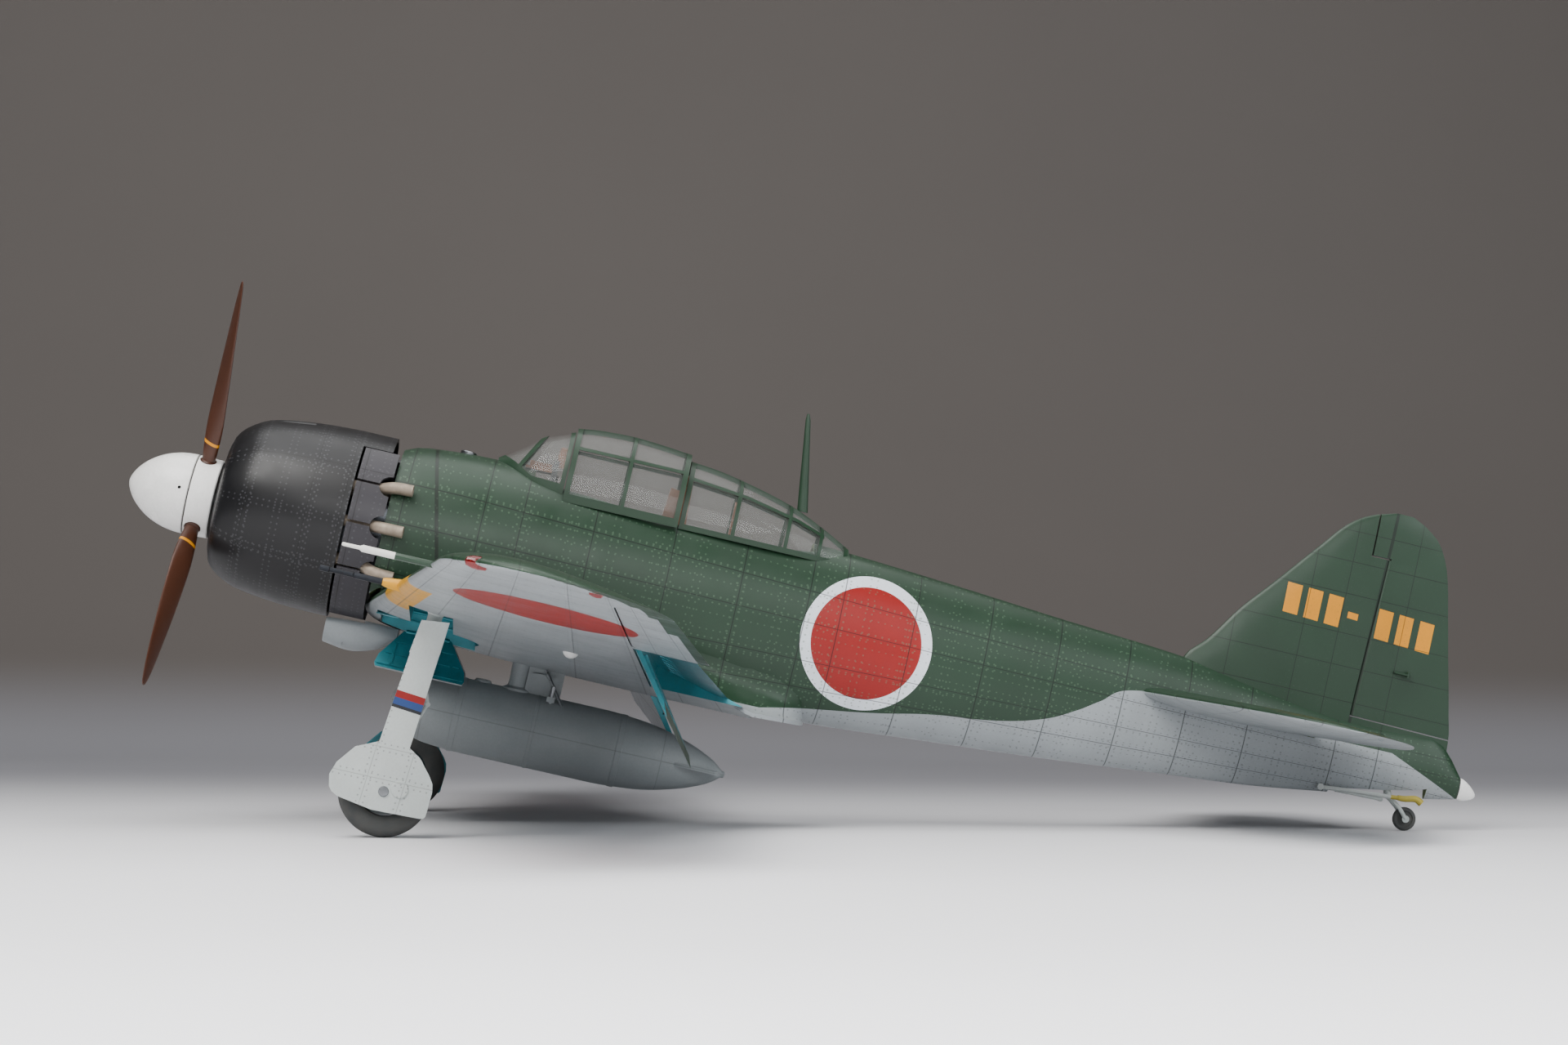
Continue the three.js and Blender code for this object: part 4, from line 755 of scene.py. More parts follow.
def flap_parts():
    """The left flap turned to its rest angle, with ribs inside, and the bay it leaves."""
    hinge = [wing_point(x, HINGE_SHARE, -1) + Vector((0, 0, 0.55)) for x in FLAP_SPAN]
    shares = [HINGE_SHARE, 0.8, 0.84, 0.88, 0.92, 0.96, 1.0, 1.06]
    layer = []
    for x in (FLAP_SPAN[0] - 4, FLAP_SPAN[1] + 4):
        low = [wing_point(x, share, -1, -3) for share in shares]
        layer.append(low + [wing_point(x, share, -1, 1.1) for share in shares][::-1])
    slab = hinge_block(hinge[0], hinge[1], AFTWARD, 34, 12, 0)
    outer = wing_outer(0, 30, 8)
    closed = common(common(outer, tag(slab, 2)), tag(loft(layer), 2))
    barrel = tag(hinge_barrel(hinge[0], hinge[1], 0.78, 0.78, 0, 24), 2)
    ribs = []
    for x in spaced(FLAP_SPAN[0] + 4, FLAP_SPAN[1] - 4, 9.4):
        foot = wing_point(x, 0.785, -1, 0.8)
        tip = wing_point(x, 0.955, -1, 0.8)
        ribs.append(
            loft(
                [
                    [foot + d, foot + d + Vector((0, 0, 1.25)), tip + d + Vector((0, 0, 0.35)), tip + d]
                    for d in (Vector((-0.3, 0, 0)), Vector((0.3, 0, 0)))
                ]
            )
        )
    spar = []
    for x in (FLAP_SPAN[0] + 1.5, FLAP_SPAN[1] - 1.5):
        foot = wing_point(x, 0.862, -1, 0.8)
        spar.append(
            [foot, foot + Vector((0, 0.5, 0)), foot + Vector((0, 0.5, 0.8)), foot + Vector((0, 0, 0.8))]
        )
    made = join([union(closed, barrel), tag(join(ribs + [loft(spar)]), 2)])
    axis = (hinge[1] - hinge[0]).normalized()
    flap = turned(made, hinge[0], axis, -math.radians(FLAP_REST_ANGLE))
    space = hinge_block(hinge[0], hinge[1], AFTWARD, 40, 14, HINGE_GAP)
    room = []
    for x in (FLAP_SPAN[0] - 2, FLAP_SPAN[1] + 2):
        steps = [HINGE_SHARE - 0.03, 0.8, 0.86, 0.9, 0.94, 1.1]
        low = [wing_point(x, share, -1, -8) for share in steps]
        high = []
        for share in steps:
            roof = wing_point(x, min(share, 1), 1, 1.0)
            floor = wing_point(x, min(share, 1), -1, 1.1 + HINGE_GAP)
            here = wing_point(x, share, -1, -8)
            high.append(Vector((x, here.y, max(roof.z, floor.z))))
        room.append(low + high[::-1])
    bay = common(space, loft(room))
    bay = union(bay, hinge_barrel(hinge[0], hinge[1], 0.78, 0.78, HINGE_GAP, 24))
    return flap, tag(bay, 2)


def build_wings():
    """Wing skins, ailerons, flaps, wells and their ribs."""
    outer = wing_outer(0, 40, 5)
    ends = [hinge_point(x) for x in AILERON_SPAN]
    radii = [(wing_point(x, HINGE_SHARE, 1) - end).z - 0.02 for x, end in zip(AILERON_SPAN, ends)]
    aileron, aileron_gap = control_surface(outer, *ends, 40, 8, *radii)
    flap, bay = flap_parts()
    half = cut(outer, aileron_gap, bay, gear_cuts(), tag(block((-3, 60, -60), (0.02, 200, 20)), 2))
    looks = ("wing_top_paint", "wing_under_paint", "teal_lacquer")
    ribs = well_ribs()
    for side, flip in (("left", lambda m: m), ("right", mirrored)):
        skin = ("wing_upper_skin_left", "wing_lower_skin") if side == "left" else (
            "wing_upper_skin_right",
        )
        settle("wing_surface_" + side, flip(half), "airframe", looks, skin, 28)
        settle(
            "aileron_surface_" + side,
            flip(aileron),
            "aileron_" + side,
            looks,
            ("aileron_" + side,),
            28,
        )
        settle(
            "flap_surface_" + side, flip(flap), "flap_" + side, looks, ("flap_" + side,), 28
        )
        settle("well_ribs_" + side, flip(ribs), "airframe", ("teal_lacquer",))
        settle(
            "wing_fillet_" + side,
            flip(wing_fillet()),
            "airframe",
            ("fuselage_paint",),
            (),
            40,
        )


def well_ribs():
    """Beads round the wheel well's wall and ribs under the flap bay's roof."""
    folded = wheel_points()[2]
    parts = []
    for height in (-2.2, 0.4, 3.0):
        bead = []
        for k in range(8):
            angle = math.pi * k / 4
            bead.append((14.05 + 0.35 * math.cos(angle), height + 0.3 * math.sin(angle)))
        ring = ring_lathe(bead, 64, folded, (0, 0, 1))
        parts.append(
            keep_faces(ring, lambda c: c.x < folded.x + 11.5 and c.y > 76 or abs(c.y - folded.y) > 7.5)
        )
    for x in spaced(FLAP_SPAN[0] + 5, FLAP_SPAN[1] - 5, 9.2):
        ring = []
        for share in (0.795, 0.82, 0.85, 0.88):
            ring.append(wing_point(x, share, 1, 0.8))
        for share in (0.88, 0.85, 0.82, 0.795):
            drop = lerp(0.4, 0.05, (share - 0.795) / 0.085)
            ring.append(wing_point(x, share, 1, 0.8 + drop))
        parts.append(loft([[p + Vector((d, 0, 0)) for p in ring] for d in (-0.3, 0.3)]))
    return join(parts)


def wing_fillet():
    """The concave fairing between the left wing root and the body."""
    rings = []
    for s in spaced(74, 193.6, 2.2):
        share = min((s - 71.8) / 106, 1.0)
        height = wing_point(18, min(max(share, 0.0), 1.0), 1).z
        reach = lerp(1.6, 12.5, max(0.0, (s - 95) / 85) ** 1.3) if s > 95 else 1.6
        if s > 176:
            fade = (s - 176) / 17.6
            reach = 12.7 * math.sqrt(max(1 - fade ** 2, 0.004))
            height = lerp(height, -23.2, fade)
        wall = fuselage_half(s, height + reach * 0.9)
        low_wall = fuselage_half(s, max(height, -23.4))
        start = Vector((wall - 0.05, s, height + reach * 0.9))
        corner = Vector((max(low_wall, wall * 0.9), s, height + 0.08 * reach))
        end = Vector((max(low_wall, wall) + reach * 0.9, s, height + 0.02))
        ring = []
        for k in range(11):
            u = k / 10
            ring.append(start * (1 - u) ** 2 + corner * (2 * u * (1 - u)) + end * u * u)
        thick = 0.9 if s < 174 else 1.1
        ring.append(end - Vector((0, 0, thick)))
        ring.append(Vector((low_wall * 0.75, s, height - thick)))
        ring.append(Vector((low_wall * 0.75, s, height + reach * 0.9)))
        rings.append(ring)
    return loft(rings)


def wing_saddle():
    """Everything under the wing's upper skin beneath the body."""
    rings = []
    for x in (-40, 0, 40):
        crest = [wing_point(0, share, 1, 0.2) for share in airfoil_steps(30)]
        lift = 0.0615 * abs(x)
        ring = [Vector((x, p.y, p.z + lift)) for p in crest]
        rings.append(ring + [Vector((x, crest[-1].y, -60)), Vector((x, crest[0].y, -60))])
    return loft(rings)


def build_fuselage():
    """The body's shell, open over the cockpit and under the tail wheel."""
    shell = tag(fuselage_loft(0, 71, 377, 96, 3.2), 0)
    inner = tag(fuselage_loft(-SKIN_WALL, 72.5, 366, 64, 6), 1)
    opening = []
    for s, half in ((107, 12.6), (150, 12.6), (176, 10.4), (186, 7.4)):
        opening.append([Vector((x * half, s, t)) for x, t in ((-1, 16), (1, 16), (1, 40), (-1, 40))])
    hole = tag(loft(opening), 1)
    tail_bay = tag(block((-2.1, 341, -20), (2.1, 368, -1)), 1)
    joiner = tag(block((-12, 329.6, 4.1), (12, 333.4, 7.9)), 1)
    body = cut(shell, inner, hole, tail_bay, joiner, tag(wing_saddle(), 1))
    settle(
        "fuselage_shell",
        body,
        "airframe",
        ("fuselage_paint", "cockpit_paint"),
        ("fuselage_left_half", "fuselage_right_half"),
    )
    rim = [tube([(side * 12.75, 115, 19.6), (side * 12.75, 150, 19.5)], 0.55, 12) for side in (-1, 1)]
    settle("cockpit_rails", join(rim), "airframe", ("fuselage_paint",))
    lids = [
        lathe(
            [(0, 0.35), (1.9, 0.35), (2.2, 0.12), (2.2, -1.2), (0, -1.2)],
            36,
            (0, 88, 28.2),
            (0, 0.04, 1),
        ),
    ]
    for side in (-1, 1):
        wall = fuselage_half(88, -2)
        lids.append(
            lathe(
                [(0, 0.3), (1.0, 0.3), (1.15, 0.1), (1.15, -0.8), (0, -0.8)],
                28,
                (side * wall, 99, -2),
                (side, 0, 0),
            )
        )
    settle("body_caps", join(lids), "airframe", ("bare_steel",))
    light = []
    for along, size in (
        (0, 1), (0.12, 1), (0.35, 0.9), (0.6, 0.7), (0.8, 0.48), (0.92, 0.3), (0.98, 0.16), (1, 0.05)
    ):
        middle = -0.5 - along
        light.append(
            egg_ring(
                377.3 + along * 4.9, 1.25 * size, middle + 3 * size, middle - 3 * size, middle, 2, 2, 32
            )
        )
    settle("tail_lamp", loft(light), "airframe", ("white_enamel",), ("tail_light",))


def build_tail():
    """Fin, rudder, tailplane and elevators."""
    fin_outer = tail_surface(FIN_OUTLINE, lambda t, s, half: (half, s, t), 26, 1.6)
    start, end = Vector((0, 343.6, 12.7)), Vector((0, 344.6, 57.2))
    moving, gap = control_surface(fin_outer, start, end, 40, 8, 1.9, 1.2)
    horn = common(
        fin_outer, union(block((-6, 339.3, 57.6), (6, 380, 80)), block((-6, 344.6, 56.2), (6, 380, 80)))
    )
    gap = union(gap, block((-6, 338.85, 57.15), (6, 380, 80)))
    fin = cut(fin_outer, gap)
    trim = [
        tube([(1.7, 352, 27), (2.3, 356.5, 27)], 0.35, 10),
        tube([(2.1, 356, 26.4), (2.1, 356, 28)], 0.5, 10),
    ]
    settle(
        "rudder_surface",
        join([union(moving, horn)] + trim),
        "rudder",
        ("tail_paint",),
        ("rudder",),
        28,
    )
    settle("fin_surface", fin, "airframe", ("tail_paint",), ("fin",), 28)

    half = tail_surface(TAIL_OUTLINE, lambda x, s, h: (x, s, TAILPLANE_HEIGHT + h), 26, 1.8)
    start = Vector((ELEVATOR_SPAN[0], ELEVATOR_HINGE, TAILPLANE_HEIGHT))
    end = Vector((ELEVATOR_SPAN[1], ELEVATOR_HINGE, TAILPLANE_HEIGHT))
    moving, gap = control_surface(half, start, end, 40, 8, 1.9, 1)
    joiner = tube(
        [(0.15, ELEVATOR_HINGE, TAILPLANE_HEIGHT), (10.5, ELEVATOR_HINGE, TAILPLANE_HEIGHT)], 1.2, 24
    )
    half = cut(half, gap, block((-1, ELEVATOR_HINGE - 2.6, -5), (ELEVATOR_SPAN[0], 370, 15)))
    settle(
        "tailplane_surface",
        join([half, mirrored(half)]),
        "airframe",
        ("tailplane_paint",),
        ("tailplane",),
        28,
    )
    for side, flip in (("left", lambda m: m), ("right", mirrored)):
        moving_half = flip(join([moving, joiner]))
        settle(
            "elevator_surface_" + side,
            moving_half,
            "elevators",
            ("tailplane_paint",),
            ("elevator_" + side,),
            28,
        )


def build_canopy():
    """Windscreen, sliding hood and rear glazing with their framing."""
    saddle = saddle_of()
    slant = [(98.9, 22), (100.1, 22), (109.9, 40.6), (108.7, 40.6)]
    bars = [
        block((-20, 114.2, 0), (20, 116, 50)),
        side_plate(
            [(90, 20), (96.5, 30.4), (101, 28.4), (106, 25.4), (118, 24.8), (118, 15), (90, 15)], -20, 20
        ),
        side_plate(slant, -20, 20),
    ]
    glass, bar = glazed(GLAZING, GLAZING, bars, saddle)
    settle("windscreen_glass", glass, "airframe", ("clear_acrylic",), ("windscreen",), 40)
    settle("windscreen_frame", bar, "airframe", ("frame_paint",))

    rails = [
        block((-20, 110, 18), (20, 150, 22.7)),
        block((-20, 110, 35.2), (20, 150, 36.1)),
        block((-0.5, 110, 30), (0.5, 150, 50)),
    ]
    hoops = [
        block((-20, s0, 10), (20, s1, 50)) for s0, s1 in ((115, 117.2), (131.4, 132.4), (146.3, 148))
    ]
    glass, bar = glazed(HOOD, HOOD, rails + hoops, saddle)
    settle("hood_glass", glass, "hood", ("clear_acrylic",), ("canopy_hood",), 40)
    settle("hood_frame", bar, "hood", ("frame_paint",))

    rails = [
        block((-20, 147, 18), (20, 192, 21.9)),
        side_plate(
            [
                (147, 34.4), (147, 35.3), (165, 33.5), (180, 30.5), (188, 27.9), (188, 27), (180, 29.6),
                (165, 32.6),
            ],
            -20,
            20,
        ),
        block((-0.5, 147, 24), (0.5, 200, 50)),
        block((-20, 194.4, 10), (20, 199, 50)),
    ]
    hoops = [
        block((-20, s0, 10), (20, s1, 50))
        for s0, s1 in ((147.6, 149.4), (162.4, 163.4), (177.2, 178.2), (186.8, 187.7))
    ]
    glass, bar = glazed(REAR_GLAZING, REAR_GLAZING, rails + hoops, saddle)
    settle("rear_glass", glass, "airframe", ("clear_acrylic",), ("rear_canopy",), 40)
    settle("rear_frame", bar, "airframe", ("frame_paint",))

    mast = []
    for k in range(17):
        u = k / 16
        middle = Vector((0, lerp(181, 176.6, u), lerp(33.2, 60, u)))
        chord, thick = lerp(3.0, 1.3, u), lerp(1.5, 0.7, u)
        if k == 16:
            chord, thick = chord * 0.5, thick * 0.5
        mast.append(
            [
                middle + Vector((0.5 * thick * math.cos(a), 0.5 * chord * math.sin(a), 0))
                for a in [math.pi * i / 12 for i in range(24)]
            ]
        )
    settle("mast_fin", loft(mast), "airframe", ("frame_paint",), ("antenna_mast",), 50)


def build_guns():
    """Cannon barrels, pitot tube and the lamps on the wings."""
    height = wing_point(CANNON_X, 0, 0).z
    barrel = lathe(
        [
            (0.45, 61.9), (0.75, 61.7), (0.78, 62.4), (0.78, 64), (0.62, 64.2), (0.62, 70),
            (0.78, 70.2), (0.78, 80.6), (0, 80.6),
        ],
        36,
        (CANNON_X, 0, height),
    )
    muzzle = lathe([(0.45, 60), (0.45, 66)], 24, (CANNON_X, 0, height))
    gun = cut(barrel, muzzle)
    fairing = lathe(
        [(0, 77.2), (0.9, 77.4), (1.15, 78.2), (1.35, 79.6), (1.6, 82), (1.7, 86), (0, 86)],
        36,
        (CANNON_X, 0, height),
    )
    settle("cannon_barrel_left", gun, "airframe", ("gunmetal",), ("cannon_left",))
    settle("cannon_barrel_right", mirrored(gun), "airframe", ("gunmetal",), ("cannon_right",))
    settle(
        "cannon_fairings",
        join([fairing, mirrored(fairing)]),
        "airframe",
        ("wing_under_paint",),
    )
    root = wing_point(PITOT_X, 0, 0)
    tip = root.y - 20
    tube_profile = [
        (0.25, tip + 0.6), (0.3, tip), (0.42, tip + 0.3), (0.45, tip + 4), (0.8, tip + 4.6),
        (0.8, root.y + 1.2), (0, root.y + 1.2),
    ]
    settle(
        "pitot_head",
        lathe(tube_profile, 28, (PITOT_X, 0, root.z)),
        "airframe",
        ("pitot_paint",),
        ("pitot_tube",),
    )
    for side, flip in (("left", lambda m: m), ("right", mirrored)):
        shapes = []
        for share, size in ((0.04, 1.0), (0.75, 0.6)):
            lamp = wing_point(TIP_LAMP_X, share, 0, 0, 0.76)
            outline = [(0.02, -2.6), (0.9, -2.2), (1.35, -1), (1.5, 0.6), (1.3, 2.2), (0.02, 3)]
            shapes.append(lathe([(r * size, a * size) for r, a in outline], 28, lamp))
        lens = "red_lens" if side == "left" else "blue_lens"
        settle("tip_lamps_" + side, flip(join(shapes)), "airframe", (lens,))
        spot = wing_point(BLISTER_X, BLISTER_SHARE, -1, 0.1)
        blister = lathe(
            [(0.02, -1.5), (0.9, -1.3), (1.7, -0.7), (2.1, 0.1), (2.1, 0.6), (0.02, 0.6)],
            32,
            spot,
            (0, 0, 1),
        )
        settle("wing_blister_" + side, flip(blister), "airframe", ("white_enamel",))


# ---- Pieces: engine and nose ----


def build_cowling():
    """Cowling, its flaps, the oil cooler and the gun troughs."""
    outer = cowl_loft(25.2, 68.6, 0, 128, 1.4)
    inner = cowl_loft(24, 70, 1, 96, 3)
    band = block((-40, COWL_REAR, -40), (40, 75, 40))
    top = cowl_sector(125, 55, COWL_REAR - 1, 76, 0)
    trough = []
    for x in (-6.2, 6.2):
        trough.append(tube([(x, 29.0, 24.9), (x, 46, 27.2)], 1.5, 28, 1.7))
    shell = cut(outer, inner, cut(band, top), *trough)
    lip = []
    for k in range(14):
        angle = 2 * math.pi * k / 14
        lip.append((15.35 + 0.8 * math.cos(angle), 25.9 + 0.72 * math.sin(angle)))
    rolled = transformed(ring_lathe(lip, 96), Matrix.Translation((0, 0, 0.75)))
    liners = []
    for x in (-6.2, 6.2):
        tray = cut(
            tube([(x, 29.4, 24.6), (x, 46, 26.8)], 1.9, 28, 2.1),
            tube([(x, 28, 24.6), (x, 48, 27.2)], 1.5, 28, 1.7),
        )
        liners.append(common(tray, cowl_loft(25.2, 68.6, 0.15, 96, 3)))
    settle(
        "cowling_shell",
        join([shell, rolled]),
        "airframe",
        ("cowl_paint",),
        ("engine_cowling",),
        30,
    )
    settle("gun_troughs", join(liners), "airframe", ("gunmetal",))

    flap_tube = cowl_loft(COWL_REAR + 0.7, COWL_REAR + COWL_FLAP_LENGTH, 0, 128, 2.5)
    bore = cowl_loft(COWL_REAR, COWL_REAR + 15, 0.9, 96, 5)
    ring = cut(flap_tube, bore)
    notches = []
    for degrees in COWL_FLAP_EDGES[1:4]:
        end = COWL_REAR + COWL_FLAP_LENGTH
        notches.append(tube([on_cowl(degrees, 15, end), on_cowl(degrees, 35, end)], 3.1, 40))
    for i in range(len(COWL_FLAP_EDGES) - 1):
        sector = cowl_sector(COWL_FLAP_EDGES[i], COWL_FLAP_EDGES[i + 1], COWL_REAR, COWL_REAR + 15, 0.8)
        flap = cut(common(ring, sector), *notches)
        middle = (COWL_FLAP_EDGES[i] + COWL_FLAP_EDGES[i + 1]) / 2
        arm = tube([on_cowl(middle, 24.7, 62.5), on_cowl(middle, 24.55, 69)], 0.45, 12)
        made = join([flap, arm])
        for side, flip in (("left", lambda m: m), ("right", mirrored)):
            name = "cowl_flap_%d_%s" % (i + 1, side)
            settle(name + "_skin", flip(made), name, ("cowl_flap_paint",), (name,), 30)

    rows = [
        (60.9, 7.6, -23.4, -31),
        (67.8, 8, -22.5, -31.9),
        (75.2, 7.6, -21.5, -30.2),
        (80.5, 6, -21.5, -26.4),
    ]

    def scoop(inset, first, last):
        rings = []
        for s in spaced(first, last, 1.3):
            at = min(max(s, 60.9), 80.5)
            half, high, low = (smooth_table(rows, at, k) for k in (1, 2, 3))
            rings.append(egg_ring(s, half - inset, high + inset, low + inset, -26, 2.4, 2.4, 64))
        return loft(rings)

    shell = cut(
        scoop(0, 60.9, 80.5),
        scoop(0.8, 59, 75.6),
        fuselage_loft(0.1, 70.8, 120, 64, 5),
        cowl_loft(58, 71.2, -0.5, 64, 6),
    )
    mesh_rows = []
    for k in range(-5, 6):
        mesh_rows.append(tube([(k * 1.25, 66.5, -30.8), (k * 1.25, 66.5, -24.6)], 0.16, 6))
    for k in range(6):
        mesh_rows.append(tube([(-7, 66.6, -30.2 + k * 1.1), (7, 66.6, -30.2 + k * 1.1)], 0.16, 6))
    settle("oil_cooler_duct", shell, "airframe", ("under_paint",), ("oil_cooler_scoop",))
    settle("oil_cooler_grille", join(mesh_rows), "airframe", ("bare_steel",))


def build_engine():
    """Finned cylinders, crankcase, exhaust collector and stubs, motor and shaft."""
    metal, fins = [], []
    metal.append(
        lathe(
            [
                (2.1, 33.5), (4.5, 33.7), (6.4, 34.6), (7.4, 36), (9.4, 37), (11.2, 44), (11.6, 51),
                (9.6, 51), (9.6, 48.5), (2.1, 48.5),
            ],
            72,
        )
    )
    for i in range(12):
        angle = 2 * math.pi * i / 12
        foot = Vector((6.9 * math.sin(angle), 34.6, 6.9 * math.cos(angle)))
        metal.append(lathe([(0, 0), (0.5, 0), (0.5, 0.8), (0, 0.8)], 6, foot - Vector((0, 0.6, 0))))
    for i in range(9):
        angle = 2 * math.pi * i / 9
        outward = Vector((math.sin(angle), 0, math.cos(angle)))
        profile = [(2.2, 8.5)]
        for k in range(11):
            r = 8.9 + k * 1.02
            profile += [(2.3, r), (3.15, r + 0.18), (3.15, r + 0.52), (2.3, r + 0.7)]
        profile += [(2.5, 20.4), (2.2, 20.9), (0.02, 21)]
        fins.append(lathe([(0.02, 8.5)] + profile, 30, (0, 40, 0), outward))
        across = Vector((math.cos(angle), 0, -math.sin(angle)))
        for offset in (-1.25, 1.25):
            metal.append(
                tube(
                    [
                        across * offset * 1.8 + outward * 8.4 + Vector((0, 36.4, 0)),
                        across * offset + outward * 19.6 + Vector((0, 36.9, 0)),
                    ],
                    0.42,
                    12,
                )
            )
            metal.append(
                lathe(
                    [(0.02, 18.6), (1.0, 18.9), (1.15, 20.2), (0.8, 21.2), (0.02, 21.3)],
                    20,
                    across * offset + Vector((0, 37.4, 0)),
                    outward,
                )
            )
    settle(
        "engine_cylinders", join(fins), "airframe", ("cylinder_alloy",), ("radial_engine",), 30
    )
    settle("engine_case", join(metal), "airframe", ("case_paint",), (), 35)

    pipes = []
    ring = [
        (19.4 + 1.7 * math.cos(2 * math.pi * k / 20), 52 + 1.7 * math.sin(2 * math.pi * k / 20))
        for k in range(20)
    ]
    pipes.append(ring_lathe(ring, 96))
    for side in (-1, 1):
        for degrees in COWL_FLAP_EDGES[1:4]:
            path = []
            for radius, s in (
                (19.4, 52), (21.6, 58), (EXHAUST_REACH - 2.8, 66.5), (EXHAUST_REACH, 71.5),
                (EXHAUST_REACH + 0.6, 76.5),
            ):
                p = on_cowl(degrees, radius, s)
                path.append(Vector((side * p.x, p.y, p.z)))
            smooth = curve_points(path, 7)
            outer = tube(smooth, 1.6, 28)
            inner = tube(
                curve_points([path[3] * 1.0, path[4], path[4] + (path[4] - path[3])], 4), 1.3, 24
            )
            pipes.append(cut(outer, inner))
    stubs = join(pipes)
    settle(
        "exhaust_pipes",
        cut(stubs, fuselage_loft(0.1, 70.7, 90, 48, 6)),
        "airframe",
        ("exhaust_metal",),
        (),
        35,
    )

    can = lathe([(1.9, 49), (8.4, 49), (8.9, 49.4), (9, 50), (9, 70.2), (8.6, 70.7), (1.9, 70.7)], 64)
    settle("motor_bell", can, "airframe", ("anodised_alloy",), ("motor_can",))
    settle(
        "shaft_bar",
        lathe([(0.02, 7.2), (1.3, 7.2), (1.5, 7.5), (1.5, 61.8), (0.02, 61.8)], 32),
        "propeller",
        ("bare_steel",),
        ("motor_shaft",),
    )


def build_propeller():
    """Spinner, its backplate, hub and three blades."""
    outside = [(0.02, 0)]
    for i in range(1, 33):
        share = (i / 32) ** 1.6
        outside.append((11 * (1 - (1 - share) ** 2.1) ** 0.62, 17 * share))
    inside = [(10, 17), (9.6, 13.5), (8.6, 10.2), (6.8, 6.6), (4.4, 3.8), (0.02, 2.4)]
    shell = lathe(outside + inside, 96)
    holes = []
    for k in range(3):
        angle = math.radians(BLADE_ANGLES[k] + 60)
        holes.append(
            lathe(
                [(0.45, -1), (0.45, 1.5)],
                16,
                (10.55 * math.sin(angle), 14.6, 10.55 * math.cos(angle)),
                (math.sin(angle), 0, math.cos(angle)),
            )
        )
    settle(
        "spinner_shell", cut(shell, *holes), "propeller", ("spinner_paint",), ("spinner",), 40
    )
    backing = lathe(
        [(1.55, 17.3), (10.8, 17.3), (11, 17.5), (10.98, 20), (10.8, 23.7), (10.5, 24), (1.55, 24)], 96
    )
    cuffs = []
    for degrees in BLADE_ANGLES:
        angle = math.radians(degrees)
        out = Vector((math.sin(angle), 0, math.cos(angle)))
        cuffs.append(
            tube([Vector((0, PROP_STATION, 0)), out * 20 + Vector((0, PROP_STATION, 0))], 2.35, 36)
        )
    room = tube([(0, 15, 0), (0, PROP_STATION + 2.4, 0)], 4.5, 36)
    settle(
        "spinner_rear",
        cut(backing, room, *cuffs),
        "propeller",
        ("spinner_paint",),
        ("spinner_backplate",),
        40,
    )
    blades = [blade(degrees) for degrees in BLADE_ANGLES]
    boss = cut(
        tube([(0, PROP_STATION - 2, 0), (0, PROP_STATION + 2, 0)], 4.2, 48),
        tube([(0, 10, 0), (0, 30, 0)], 1.55, 24),
    )
    for degrees in BLADE_ANGLES:
        angle = math.radians(degrees)
        out = Vector((math.sin(angle), 0, math.cos(angle)))
        blades.append(
            lathe(
                [(1.2, 9.9), (2.1, 10), (2.15, 10.9), (1.7, 11.3), (1.2, 11.3)],
                36,
                (0, PROP_STATION, 0),
                out,
            )
        )
    settle(
        "propeller_blades",
        join(blades + [boss]),
        "propeller",
        ("blade_paint",),
        ("propeller",),
        45,
    )


# ---- Pieces: cockpit ----


